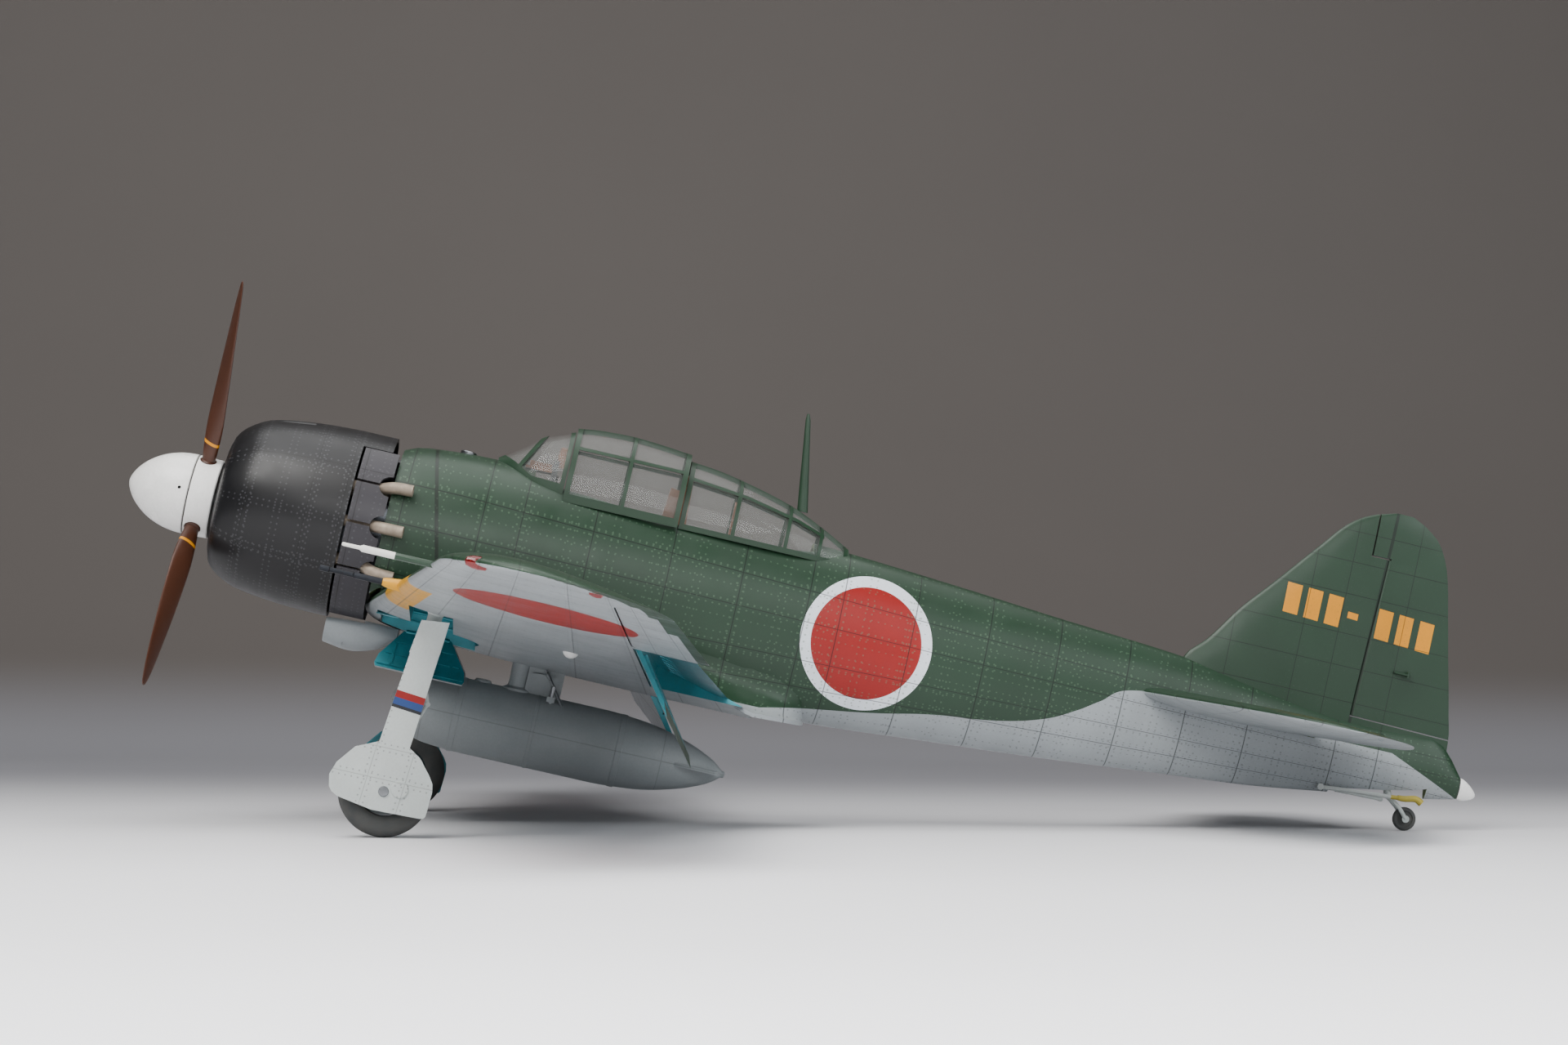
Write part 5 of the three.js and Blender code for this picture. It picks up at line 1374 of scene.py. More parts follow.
def build_cockpit():
    """Tub, seat, stick, panel with dials, gunsight and headrest."""
    tub = cut(block((-11.4, 110, -5.6), (11.4, 149, 18.4)), block((-10.4, 111, -4.6), (10.4, 148, 22)))
    consoles = [
        block((6.6, 115, -4.6), (10.3, 138, 9)),
        block((-10.3, 115, -4.6), (-6.6, 138, 8)),
        block((-2.2, 113, -4.6), (2.2, 118, 4)),
    ]
    for k in range(6):
        for side in (-1, 1):
            consoles.append(
                tube([(side * 10.2, 113 + k * 6.4, -4), (side * 10.2, 113 + k * 6.4, 18)], 0.4, 8)
            )
    knobs = []
    rng = random.Random(4)
    for k in range(14):
        place = (rng.choice((-1, 1)) * rng.uniform(7.2, 9.6), rng.uniform(116, 137), 9)
        knobs.append(
            lathe(
                [(0.02, -1.2), (0.45, -1.2), (0.45, 0.5), (0.3, 0.7), (0.02, 0.7)], 14, place, (0, 0, 1)
            )
        )
    stick = lathe(
        [
            (0.02, 0), (1.6, 0), (1.5, 1.6), (0.75, 2.6), (0.6, 12), (0.95, 12.6), (1.0, 15.2),
            (0.6, 15.9), (0.02, 16),
        ],
        24,
        (0, 124, -5),
        (0, 0.06, 1),
    )
    settle(
        "tub_surface",
        join([tub] + consoles),
        "airframe",
        ("cockpit_paint",),
        ("cockpit_tub",),
    )
    settle("stick_and_knobs", join([stick] + knobs), "airframe", ("black_paint",))

    pan = side_plate(
        [(133, -4.2), (143.6, -4.2), (146.2, 20), (144.6, 20.4), (141.6, 3.4), (133, 2.6)], -5.2, 5.2
    )
    scoop = side_plate([(131, 1.6), (141, 2.4), (144, 24), (131, 24)], -4.4, 4.4)
    holes = [tube([(x, 130, -1.4), (x, 150, -1.4)], 1.0, 20) for x in (-2.6, 2.6)]
    seat = cut(pan, scoop, *holes)
    belts = []
    for x in (-2, 2):
        belts.append(
            loft(
                [
                    [
                        (x - 0.8, s, t),
                        (x + 0.8, s, t),
                        (x + 0.8, s - 0.3, t + 0.15),
                        (x - 0.8, s - 0.3, t + 0.15),
                    ]
                    for s, t in ((144, 19.4), (143.2, 12), (141.2, 4), (139, 2.8), (134, 2.4))
                ]
            )
        )
    settle("seat_pan", seat, "airframe", ("seat_paint",), ("pilot_seat",))
    settle("seat_belts", join(belts), "airframe", ("webbing",))
    rest = [
        side_plate([(146.4, 14), (150.6, 14), (149.6, 33), (148.4, 36), (147.2, 33)], -7.4, 7.4),
        side_plate([(143.4, 23), (146.6, 22.6), (147, 31), (144.2, 31.4)], -2.6, 2.6),
        tube([(-5, 149.6, 15), (0, 149.4, 34.6)], 0.5, 12),
        tube([(5, 149.6, 15), (0, 149.4, 34.6)], 0.5, 12),
        tube([(0, 163, 18), (0, 163, 31.6)], 0.7, 16),
        block((-4.5, 160.5, 17), (4.5, 165.5, 22)),
    ]
    deck = block((-11.6, 150, 14.6), (11.6, 184, 15.8))
    settle("headrest", join(rest), "airframe", ("brown_leather",))
    settle("rear_deck", deck, "airframe", ("cockpit_paint",))

    face = arch_loft([(111.3, 31.6, 14, 11, 2.2), (112.8, 31.6, 14, 11, 2.2)], 0, 0)
    face = cut(face, block((-20, 100, -20), (20, 130, 9)))
    dials = []
    for x, t, r in (
        (-6, 24, 1.9), (-1.9, 25.4, 1.9), (2.4, 25.4, 1.9), (6.4, 23.6, 1.7), (-7.4, 19, 1.5),
        (-3.4, 20.2, 1.7), (0.8, 20.2, 1.7), (4.8, 19, 1.5), (-5, 14.8, 1.4), (0, 15, 1.5),
        (5, 14.6, 1.4),
    ):
        dials.append(
            lathe(
                [
                    (0.02, 0), (r * 0.86, 0), (r * 0.88, 0.35), (r, 0.45), (r * 1.05, 0.2),
                    (r * 1.05, -0.6), (0.02, -0.6),
                ],
                28,
                (x, 112.9, t),
                (0, 1, 0),
            )
        )
    settle("panel_face", face, "airframe", ("panel_paint",), ("instrument_panel",))
    settle("panel_dials", join(dials), "airframe", ("dial_face",))
    sight = [
        block((-1.6, 112.2, 29.6), (1.6, 115.4, 33)),
        lathe(
            [(0.9, 0), (1.5, 0), (1.5, 2.4), (1.2, 2.8), (0.9, 2.8)], 28, (0, 113.4, 32.6), (0, 0.15, 1)
        ),
        block((-6.5, 104, 27.6), (6.5, 112, 28.4)),
        block((-3.4, 105, 28.2), (3.4, 111, 30)),
    ]
    settle("gunsight_body", join(sight), "airframe", ("brown_leather",))
    reflector = plate(
        [(-1.7, 0), (1.7, 0), (1.7, 3.4), (-1.7, 3.4)], (0, 0.35), (0, -0.75, 0.66), (1, 0, 0),
        (0, 0.66, 0.75), (0, 111.2, 33.4),
    )
    settle("gunsight_glass", reflector, "airframe", ("clear_acrylic",))


# ---- Pieces: tank, landing gear and tail wheel ----


def build_tank():
    """Drop tank with its fins, straps and filler, and the pylon that holds it."""
    t = TANK_HEIGHT
    rows = [
        (82.6, 0.02), (84, 4.4), (87.5, 7.6), (94, 9.6), (104, 10.2), (140, 10.2), (152, 9.4), (163, 7),
        (172, 3.4), (176.4, 0.02),
    ]
    profile = [(0.02, 82.6), (1.6, 82.8), (3.0, 83.3)]
    profile += [(smooth_table(rows, s, 1), s) for s in spaced(84, 175.2, 1.1)] + [
        (0.9, 176), (0.02, 176.4)
    ]
    body = lathe(profile, 96, (0, 0, t))
    seam = [(10.1, 121.4), (10.32, 121.6), (10.32, 122.4), (10.1, 122.6), (9.9, 122)]
    parts = [body, transformed(ring_lathe(seam, 96), Matrix.Translation((0, 0, t)))]
    for s in (101, 146):
        r = smooth_table(rows, s, 1)
        bead = [(r - 0.2, s - 0.9), (r + 0.18, s - 0.8), (r + 0.18, s + 0.8), (r - 0.2, s + 0.9)]
        parts.append(transformed(ring_lathe(bead, 96), Matrix.Translation((0, 0, t))))
    outline = [
        (161, -7), (163.5, -8.3), (173, -8.4), (174, -7.6), (174, 7.6), (173, 8.4), (163.5, 8.3),
        (161, 7),
    ]
    fin = side_plate(outline, -0.45, 0.45)
    parts.append(
        transformed(turned(fin, (0, 0, 0), (0, 1, 0), math.pi / 2), Matrix.Translation((0, 0, t)))
    )
    cap = lathe(
        [(0.02, 11.0), (1.9, 10.9), (2.3, 10.5), (2.3, 9), (0.02, 9)], 32, (0, 106, t), (0, 0, 1)
    )
    parts.append(cap)
    settle("tank_body", join(parts), "airframe", ("tank_paint",), ("drop_tank",))
    column = lathe(
        [(3.9, -32.6), (3.9, -31.9), (2.7, -31.2), (2.55, -29), (2.9, -22), (4, -20)],
        48,
        (0, 115.4, 0),
        (0, 0, 1),
    )
    rest = [
        column,
        block((-2.2, 117.5, -32.4), (2.2, 127.4, -20.5)),
        block((-3.2, 119, -29), (3.2, 126, -26.5)),
        block((-6, 123.9, -33.4), (6, 126.1, -31.9)),
    ]
    rods = []
    for side in (-1, 1):
        rods.append(tube([(side * 5.2, 125, -36.2), (side * 5.2, 125, -29)], 0.6, 20))
        rods.append(tube([(side * 2.9, 122, -25), (side * 5.6, 128.5, -34)], 0.45, 16))
        rods.append(
            lathe(
                [(0.02, -36.4), (1.5, -36.3), (1.4, -35.2), (0.6, -34.9), (0.02, -34.9)],
                24,
                (side * 5.2, 125, 0),
                (0, 0, 1),
            )
        )
    settle("pylon_block", join(rest), "airframe", ("tank_paint",), ("tank_pylon",))
    settle("pylon_rods", join(rods), "airframe", ("bare_steel",))


def tyre_mesh(axle, radius, width, inner):
    """A tyre with a rounded shoulder, three tread grooves and a rim bead, on the x axis."""
    half = width / 2
    profile = []
    for k in range(41):
        angle = math.pi * k / 40
        across = -half * math.cos(angle)
        rise = math.sin(angle) ** 0.62
        profile.append((lerp(inner + 0.9, radius, rise), across))
    grooved = []
    for r, across in profile:
        depth = 0.0
        if r > radius * 0.965:
            for groove in (-1.15, 0, 1.15):
                depth = max(depth, 0.3 * math.exp(-((across - groove * width / 6.4) / 0.16) ** 2))
        grooved.append((r - depth, across))
    return ring_lathe(grooved + [(inner, half * 0.8), (inner, -half * 0.8)], 120, axle, (1, 0, 0))


def build_gear():
    """Both main legs with their covers, wheels, tyres and inner doors."""
    pivot, axle, _ = wheel_points()
    foot = Vector((axle.x, axle.y + 1.1, axle.z + 14.2))
    along = (foot - pivot).normalized()
    length = (foot - pivot).length
    profile = [
        (0.02, -1.9), (1.9, -1.6), (2.3, 0), (2.3, 3), (1.9, 3.6), (1.9, 19), (2.2, 19.4), (2.2, 21),
        (1.75, 21.4), (1.75, 23), (1.25, 23.2), (1.25, length - 2.6), (1.7, length - 2.2),
        (1.8, length), (0.02, length + 0.6),
    ]
    leg = [lathe(profile, 40, pivot, along)]
    leg.append(tube([pivot - Vector((0, 4, 0)), pivot + Vector((0, 4, 0))], 1.7, 32))
    side = axle.x + 4.2
    fork_top = Vector((side, axle.y + 0.9, axle.z + 13.4))
    leg.append(
        tube(
            curve_points(
                [foot + Vector((0, 0, 0.6)), (foot + fork_top) * 0.5 + Vector((0, 0, 1.2)), fork_top], 6
            ),
            1.25,
            24,
            0.95,
        )
    )
    leg.append(
        tube(
            curve_points(
                [
                    fork_top + Vector((0, 0, 0.6)),
                    Vector((side, axle.y + 0.7, axle.z + 7)),
                    Vector((side, axle.y, axle.z)),
                ],
                6,
            ),
            0.8,
            20,
        )
    )
    leg.append(
        tube([Vector((side + 0.9, axle.y, axle.z)), Vector((axle.x - 3.2, axle.y, axle.z))], 0.9, 28)
    )
    top = pivot + along * LINK_TOP + Vector((0, 2.0, 0))
    knee = pivot + along * (LINK_TOP + 5.4) + Vector((0, 4.2, 0))
    low = pivot + along * (length - 1.4) + Vector((0, 1.6, 0))
    links = []
    for x in (-0.7, 0.7):
        links.append(tube([top + Vector((x * 1.6, 0, 0)), knee + Vector((x * 0.5, 0, 0))], 0.42, 12))
        links.append(tube([knee + Vector((x * 0.5, 0, 0)), low + Vector((x * 1.6, 0, 0))], 0.42, 12))
    links.append(tube([knee - Vector((1.1, 0, 0)), knee + Vector((1.1, 0, 0))], 0.6, 16))
    hose = tube(
        curve_points(
            [
                pivot + along * 4 + Vector((-1.9, -1.2, 0)),
                pivot + along * 16 + Vector((-2.4, -1.9, 0)),
                pivot + along * 26 + Vector((-2.1, -2.2, 0)),
                Vector((axle.x - 1.6, axle.y - 1.9, axle.z + 14)),
            ],
            8,
        ),
        0.3,
        10,
    )
    cover_x = axle.x + 5.5
    outline = [
        (-13.6, -1.6), (-12.8, -2.7), (-11.1, -3.6), (-2, -5.1), (10.2, -4.7), (11.2, -4.5),
        (11.6, -3.9), (11.9, 2.4), (11.5, 4.4), (10.4, 6.1), (7, 10.1), (3.9, 12), (4.1, 14),
        (6.4, 43.6), (-0.6, 43.6), (-3.9, 12), (-9.4, 9.5), (-13.1, 4.7), (-14.2, 1.3),
    ]
    shape = [(axle.y + s, axle.z + t) for s, t in outline]
    cover = tag(side_plate(shape, cover_x, cover_x + 0.75), 0)
    cover.materials.append(bpy.data.materials.get("tag1") or bpy.data.materials.new("tag1"))
    for face in cover.polygons:
        face.material_index = 1 if face.center.x < cover_x + 0.1 else 0
    bracket = block(
        (pivot.x + 2.05, axle.y + 0.2, axle.z + 24), (cover_x + 0.2, axle.y + 2.6, axle.z + 27)
    )
    rim = cut(
        side_plate([(axle.y + s * 0.995, axle.z + t) for s, t in outline], cover_x - 0.5, cover_x + 0.1),
        side_plate(
            [(axle.y + 0.4 + (s - 0.4) * 0.93, axle.z + 19 + (t - 19) * 0.965) for s, t in outline],
            cover_x - 2,
            cover_x + 0.05,
        ),
    )
    disc = lathe(
        [(0.02, 0.35), (2.0, 0.35), (2.3, 0.1), (2.3, -0.4), (0.02, -0.4)],
        40,
        (cover_x + 0.78, axle.y + 3.8, axle.z + 1.3),
        (1, 0, 0),
    )
    screw = lathe(
        [(0.02, 0.45), (1.15, 0.4), (1.35, 0.1), (1.35, -0.5), (0.02, -0.5)],
        36,
        (cover_x + 0.8, axle.y, axle.z),
        (1, 0, 0),
    )
    screw = cut(
        screw,
        block((cover_x + 0.95, axle.y - 1.5, axle.z - 0.16), (cover_x + 2, axle.y + 1.5, axle.z + 0.16)),
    )
    tyre = tyre_mesh(axle, 11.8, 6.4, 6.4)
    rim_profile = [
        (0.95, -2.2), (2.2, -2.6), (2.9, -2.3), (3.3, -1.3), (5.0, -1.2), (5.5, -2.3), (6.05, -2.7),
        (6.1, -2.2), (6.1, 2.2), (6.05, 2.7), (5.5, 2.3), (5.0, 1.2), (3.3, 1.3), (2.9, 2.3),
        (2.2, 2.6), (0.95, 2.2),
    ]
    hub = ring_lathe(rim_profile, 72, axle, (1, 0, 0))
    holes = []
    for k in range(8):
        angle = math.pi * k / 4
        at = axle + Vector((0, 4.15 * math.cos(angle), 4.15 * math.sin(angle)))
        holes.append(tube([at - Vector((4, 0, 0)), at + Vector((4, 0, 0))], 0.55, 16))
    hub = cut(hub, *holes)
    door_pivot = pivot_of("inner_door_left_hinge")
    fall = 12.2
    low, high = door_pivot.x - 0.5, door_pivot.x + 0.3
    height, mid = door_pivot.z, 88.7
    shape = [
        (mid - 6.6, height), (mid + 6.6, height), (mid + 9.4, height - 4.6), (mid + 11.8, height - 8.4),
        (mid + 12.4, height - fall + 1), (mid + 12, height - fall), (mid - 12, height - fall),
        (mid - 12.4, height - fall + 1), (mid - 11.8, height - 8.4), (mid - 9.4, height - 4.6),
    ]
    panel = tag(side_plate(shape, low, high), 1)
    for face in panel.polygons:
        face.material_index = 1 if face.center.x > high - 0.01 else 0
    ribs = []
    for s in (-8, -4, 0, 4, 8):
        ribs.append(
            block(
                (high - 0.1, mid + s - 0.35, height - fall + 0.8),
                (high + 0.55, mid + s + 0.35, height - (1 if abs(s) < 7 else 4.2)),
            )
        )
    for t in (-3.6, -7.4, -11):
        reach = 6.4 + 0.5 * abs(t)
        ribs.append(
            block(
                (high - 0.1, mid - reach, height + t - 0.35),
                (high + 0.55, mid + reach, height + t + 0.35),
            )
        )
    knuckle = tube([(door_pivot.x, mid - 6, height), (door_pivot.x, mid + 6, height)], 0.6, 20)
    door = join([panel, tag(join(ribs + [knuckle]), 1)])
    door = turned(door, door_pivot, AFTWARD, -math.radians(DOOR_SPLAY))
    fairing = side_plate(
        [(87.0, -28.0), (94.6, -26.9), (95.2, -18.6), (88.2, -19.4)], cover_x - 0.7, cover_x + 1.0
    )
    for name, flip in (("left", lambda m: m), ("right", mirrored)):
        body = "gear_" + name
        settle(
            "leg_oleo_" + name,
            flip(join(leg + links)),
            body,
            ("leg_paint",),
            ("gear_leg_" + name,),
            30,
        )
        settle("brake_hose_" + name, flip(hose), body, ("black_paint",))
        settle(
            "leg_cover_" + name,
            flip(join([cover, tag(rim, 1), tag(join([bracket, disc, fairing]), 0)])),
            body,
            ("cover_paint", "teal_lacquer"),
            ("gear_cover_" + name,),
        )
        settle("axle_screw_" + name, flip(screw), body, ("bare_steel",))
        settle(
            "tyre_rubber_" + name,
            flip(tyre),
            "wheel_" + name,
            ("tyre_rubber",),
            ("tyre_" + name,),
            40,
        )
        settle(
            "rim_" + name, flip(hub), "wheel_" + name, ("cast_alloy",), ("wheel_hub_" + name,)
        )
        settle(
            "door_panel_" + name,
            flip(door),
            "inner_door_" + name,
            ("under_paint", "teal_lacquer"),
            ("inner_door_" + name,),
        )


def build_tail_wheel():
    """Tail strut, its wheel and the arrester hook."""
    axle, steer = pivot_of("tail_wheel_spin"), pivot_of("tail_wheel_steer")
    knee = Vector((0, steer.y + 0.7, steer.z - 2))
    parts = [
        tube(
            [Vector((0, steer.y - 1, steer.z + 3.4)), Vector((0, steer.y + 0.6, steer.z - 1.6))], 1.1, 28
        )
    ]
    parts.append(tube([knee - Vector((2.15, 0, 0)), knee + Vector((2.15, 0, 0))], 0.85, 24))
    for side in (-1, 1):
        top = Vector((side * 1.75, knee.y, knee.z))
        end = Vector((side * 1.75, axle.y, axle.z))
        parts.append(
            tube(curve_points([top, (top + end) * 0.5 + Vector((0, 0.35, 0.2)), end], 6), 0.55, 18, 0.6)
        )
        parts.append(lathe([(0.02, -0.35), (1.0, -0.3), (1.0, 0.3), (0.02, 0.35)], 28, end, (1, 0, 0)))
    parts.append(tube([axle - Vector((2.15, 0, 0)), axle + Vector((2.15, 0, 0))], 0.5, 20))
    settle("tail_fork", join(parts), "tail_strut", ("leg_paint",), ("tail_strut",), 35)
    profile = []
    for k in range(21):
        angle = math.pi * k / 20
        profile.append((lerp(2.3, 3.3, math.sin(angle) ** 0.6), -math.cos(angle)))
    wheel = ring_lathe(
        profile + [(2.05, 0.7), (0.6, 0.75), (0.6, -0.75), (2.05, -0.7)], 64, axle, (1, 0, 0)
    )
    settle("tail_tyre", wheel, "tail_wheel", ("tyre_rubber",), ("tail_wheel",), 40)
    pivot = pivot_of("hook_hinge")
    bend = Vector((pivot.x, 362, -6.7))
    hook = [
        tube([pivot - Vector((0.9, 0, 0)), pivot + Vector((0.9, 0, 0))], 0.9, 24),
        tube([pivot, bend], 0.6, 20),
    ]
    hook.append(
        tube(
            curve_points(
                [
                    bend - Vector((0, 2, 0.1)),
                    bend,
                    Vector((pivot.x, 365, -6.1)),
                    Vector((pivot.x, 366.8, -6.9)),
                ],
                6,
            ),
            0.75,
            20,
            1.0,
        )
    )
    settle("hook_arm", join(hook), "arrester_hook", ("hook_paint",), ("arrester_hook",), 40)
    stays = [tube([(side * 1.6, 343.5, -8.6), (side * 0.5, 356.2, -8.3)], 0.42, 14) for side in (-1, 1)]
    stays.append(tube([(-0.9, 356.2, -8.3), (0.9, 356.2, -8.3)], 0.6, 16))
    settle("tail_stays", join(stays), "airframe", ("leg_paint",))


# ---- Materials ----


def srgb(code):
    """A hex colour as linear RGBA."""
    parts = [int(code[i : i + 2], 16) / 255 for i in (1, 3, 5)]
    return tuple(c / 12.92 if c <= 0.04045 else ((c + 0.055) / 1.055) ** 2.4 for c in parts) + (1.0,)


def wire(tree, kind, inputs=(), out=0, **settings):
    """Adds a node with its settings; inputs holds values or sockets to link. Returns one output socket."""
    made = tree.nodes.new(kind)
    for name, value in settings.items():
        setattr(made, name, value)
    for key, value in dict(inputs).items():
        if isinstance(value, bpy.types.NodeSocket):
            tree.links.new(value, made.inputs[key])
        else:
            made.inputs[key].default_value = value
    return made.outputs[out]


def start_material(name):
    """A fresh material with its Principled shader, registered by name."""
    material = bpy.data.materials.new(name)
    material.use_nodes = True
    MATERIALS[name] = material
    tree = material.node_tree
    return tree, tree.nodes["Principled BSDF"]


def plug(tree, shader, values):
    """Sets the shader's sockets from values or links."""
    for key, value in values.items():
        if isinstance(value, bpy.types.NodeSocket):
            tree.links.new(value, shader.inputs[key])
        else:
            shader.inputs[key].default_value = value


def airframe_axes(tree):
    """The x, s and t coordinates in airframe millimetres, and their vector."""
    place = wire(tree, "ShaderNodeTexCoord", out="Object")
    euler = AIRFRAME.to_euler()
    vector = wire(
        tree,
        "ShaderNodeMapping",
        {"Vector": place, "Location": TIP, "Rotation": tuple(euler), "Scale": (MM, MM, MM)},
        vector_type="TEXTURE",
    )
    split = tree.nodes.new("ShaderNodeSeparateXYZ")
    tree.links.new(vector, split.inputs[0])
    return vector, split.outputs[0], split.outputs[1], split.outputs[2]


def nearest_line(tree, value, places):
    """Distance from a coordinate to the nearest of some lines."""
    best = None
    for place in places:
        away = wire(tree, "ShaderNodeMath", {0: value, 1: place}, operation="SUBTRACT")
        away = wire(tree, "ShaderNodeMath", {0: away}, operation="ABSOLUTE")
        best = away if best is None else wire(
            tree, "ShaderNodeMath", {0: best, 1: away}, operation="MINIMUM"
        )
    return best


def largest_of(tree, masks):
    """The greatest of several masks."""
    best = masks[0]
    for mask in masks[1:]:
        best = wire(tree, "ShaderNodeMath", {0: best, 1: mask}, operation="MAXIMUM")
    return best


def within(tree, value, middle, reach):
    """1 where a coordinate is within reach of a middle."""
    return wire(tree, "ShaderNodeMath", {0: value, 1: middle, 2: reach}, operation="COMPARE")


def blend_colour(tree, share, first, second):
    """A mix of two colours."""
    return wire(tree, "ShaderNodeMix", {0: share, 6: first, 7: second}, out=2, data_type="RGBA")


def seams_and_rivets(tree, groups, width=0.15, pitch=1.9, offset=1.1, radius=0.28):
    """Panel lines and rivet rows. Each group is (coordinate across, its lines, coordinate along).
    Real 1/24 rivets are nearer 0.2 mm across; they are drawn coarser so that they still read."""
    lines, dots = [], []
    for across, places, along in groups:
        away = nearest_line(tree, across, places)
        lines.append(within(tree, away, 0.0, width))
        beat = wire(tree, "ShaderNodeMath", {0: along, 1: pitch / 2}, operation="PINGPONG")
        row = wire(tree, "ShaderNodeMath", {0: away, 1: offset}, operation="SUBTRACT")
        reach = wire(tree, "ShaderNodeCombineXYZ", {0: row, 1: beat})
        far = wire(tree, "ShaderNodeVectorMath", {0: reach}, out="Value", operation="LENGTH")
        dots.append(wire(tree, "ShaderNodeMath", {0: far, 1: radius}, operation="LESS_THAN"))
    return largest_of(tree, lines), largest_of(tree, dots)


def rivet_grid(tree, across, step, along, offset=0.0, pitch=1.9, radius=0.24):
    """Rows of rivets at an even step. An offset makes each row a pair."""
    away = wire(tree, "ShaderNodeMath", {0: across, 1: step / 2}, operation="PINGPONG")
    row = wire(tree, "ShaderNodeMath", {0: away, 1: offset}, operation="SUBTRACT")
    beat = wire(tree, "ShaderNodeMath", {0: along, 1: pitch / 2}, operation="PINGPONG")
    reach = wire(tree, "ShaderNodeCombineXYZ", {0: row, 1: beat})
    far = wire(tree, "ShaderNodeVectorMath", {0: reach}, out="Value", operation="LENGTH")
    return wire(tree, "ShaderNodeMath", {0: far, 1: radius}, operation="LESS_THAN")


def weather(tree, vector, scale, low, high, detail=4.0):
    """Soft cloudy variation between two values; scale is in cycles per mm."""
    cloud = wire(
        tree,
        "ShaderNodeTexNoise",
        {"Vector": vector, "Scale": scale, "Detail": detail, "Roughness": 0.6},
    )
    return wire(tree, "ShaderNodeMapRange", {0: cloud, 1: 0.3, 2: 0.7, 3: low, 4: high})


def painted(
    tree, shader, vector, colour, seams=None, dots=None, rough=(0.34, 0.46), dark=0.6, rivet=None
):
    """Model paint over plastic: cloudy tone, washed panel lines, rivets and a satin clear coat."""
    tone = weather(tree, vector, 0.035, 0.88, 1.1)
    speck = weather(tree, vector, 1.6, 0.965, 1.03, 2.0)
    tone = wire(tree, "ShaderNodeMath", {0: tone, 1: speck}, operation="MULTIPLY")
    height = weather(tree, vector, 2.2, 0.0, 0.02, 2.0)
    if seams is not None:
        wash = bpy.context.scene.warbird_finish.wash
        # Rivet dots take the rivet colour: a dark wash by default, while the lighter colours given for
        # dark paint are painted glints.
        spots = wire(tree, "ShaderNodeMath", {0: dots, 1: 0.5 * wash}, operation="MULTIPLY")
        colour = blend_colour(tree, spots, colour, rivet or srgb("#3B3D3E"))
        lines = wire(tree, "ShaderNodeMath", {0: seams, 1: dark * wash}, operation="MULTIPLY")
        light = wire(tree, "ShaderNodeMath", {0: 1.0, 1: lines}, operation="SUBTRACT")
        tone = wire(tree, "ShaderNodeMath", {0: tone, 1: light}, operation="MULTIPLY")
        sunk = wire(
            tree, "ShaderNodeMath", {0: largest_of(tree, [seams, dots]), 1: -1.0}, operation="MULTIPLY"
        )
        height = wire(tree, "ShaderNodeMath", {0: height, 1: sunk}, operation="ADD")
    shade = wire(tree, "ShaderNodeHueSaturation", {"Value": tone, "Color": colour})
    values = {
        "Base Color": shade,
        "Roughness": weather(tree, vector, 0.12, rough[0], rough[1]),
        "Normal": wire(tree, "ShaderNodeBump", {"Strength": 0.5, "Distance": 0.1 * MM, "Height": height}),
        "Specular IOR Level": 0.38,
        "Coat Weight": 0.05,
        "Coat Roughness": 0.22,
    }
    plug(tree, shader, values)


def under_boundary(tree, s, t):
    """1 on the body's grey underside, with the demarcation that climbs towards the tail."""
    curve = wire(
        tree,
        "ShaderNodeMapRange",
        {0: s, 1: 180.0, 2: 300.0, 3: 0.0, 4: 1.0},
    )
    bend = tree.nodes.new("ShaderNodeFloatCurve")
    tree.links.new(curve, bend.inputs["Value"])
    points = (
        (187.8, -20.4), (211.7, -16.5), (227.7, -13.3), (244.1, -11.2), (256.8, -8.0), (265.9, -3.5),
        (271.9, 0.5), (280.2, 5.5),
    )
    line = bend.mapping.curves[0]
    line.points[0].location = (0.0, 0.0)
    line.points[1].location = (1.0, 0.95)
    for at, height in points:
        line.points.new((at - 180) / 120, (height + 22) / 30)
    bend.mapping.update()
    rim = wire(tree, "ShaderNodeMath", {0: bend.outputs[0], 1: 30.0, 2: -22.0}, operation="MULTIPLY_ADD")
    chin = wire(tree, "ShaderNodeMath", {0: s, 1: 100.0}, operation="LESS_THAN")
    rim = wire(tree, "ShaderNodeMix", {0: chin, 2: rim, 3: -15.0}, data_type="FLOAT")
    tail = wire(tree, "ShaderNodeMapRange", {0: s, 1: 356.0, 2: 378.0, 3: 4.9, 4: -4.0})
    aft_of = wire(tree, "ShaderNodeMath", {0: s, 1: 318.0}, operation="GREATER_THAN")
    rim = wire(tree, "ShaderNodeMix", {0: aft_of, 2: rim, 3: tail}, data_type="FLOAT")
    return wire(tree, "ShaderNodeMath", {0: t, 1: rim}, operation="LESS_THAN")


GREEN, UNDER = "#1F3726", "#8F9598"
# RIVET_GLINT is a lighter green for rivet dots on green paint: a painted glint on the rivet heads.
RIVET_GLINT = "#4F6852"
RED, WHITE, YELLOW = "#8E110D", "#DDE3EA", "#D48A00"


# Plain blocks that stand where a tail number would be: middle, half length, half height.
MARKS = (
    (319.6, 2.1, 4.2), (325.6, 2.1, 4.2), (331.6, 2.1, 4.2), (337.2, 1.5, 0.9), (346.4, 2.1, 4.2),
    (352.4, 2.1, 4.2), (358.6, 2.1, 4.2),
)


def disc_mask(tree, a, b, middle_a, middle_b, radius):
    """1 inside a circle in two coordinates."""
    da = wire(tree, "ShaderNodeMath", {0: a, 1: middle_a}, operation="SUBTRACT")
    db = wire(tree, "ShaderNodeMath", {0: b, 1: middle_b}, operation="SUBTRACT")
    both = wire(tree, "ShaderNodeCombineXYZ", {0: da, 1: db})
    far = wire(tree, "ShaderNodeVectorMath", {0: both}, out="Value", operation="LENGTH")
    return wire(tree, "ShaderNodeMath", {0: far, 1: radius}, operation="LESS_THAN")


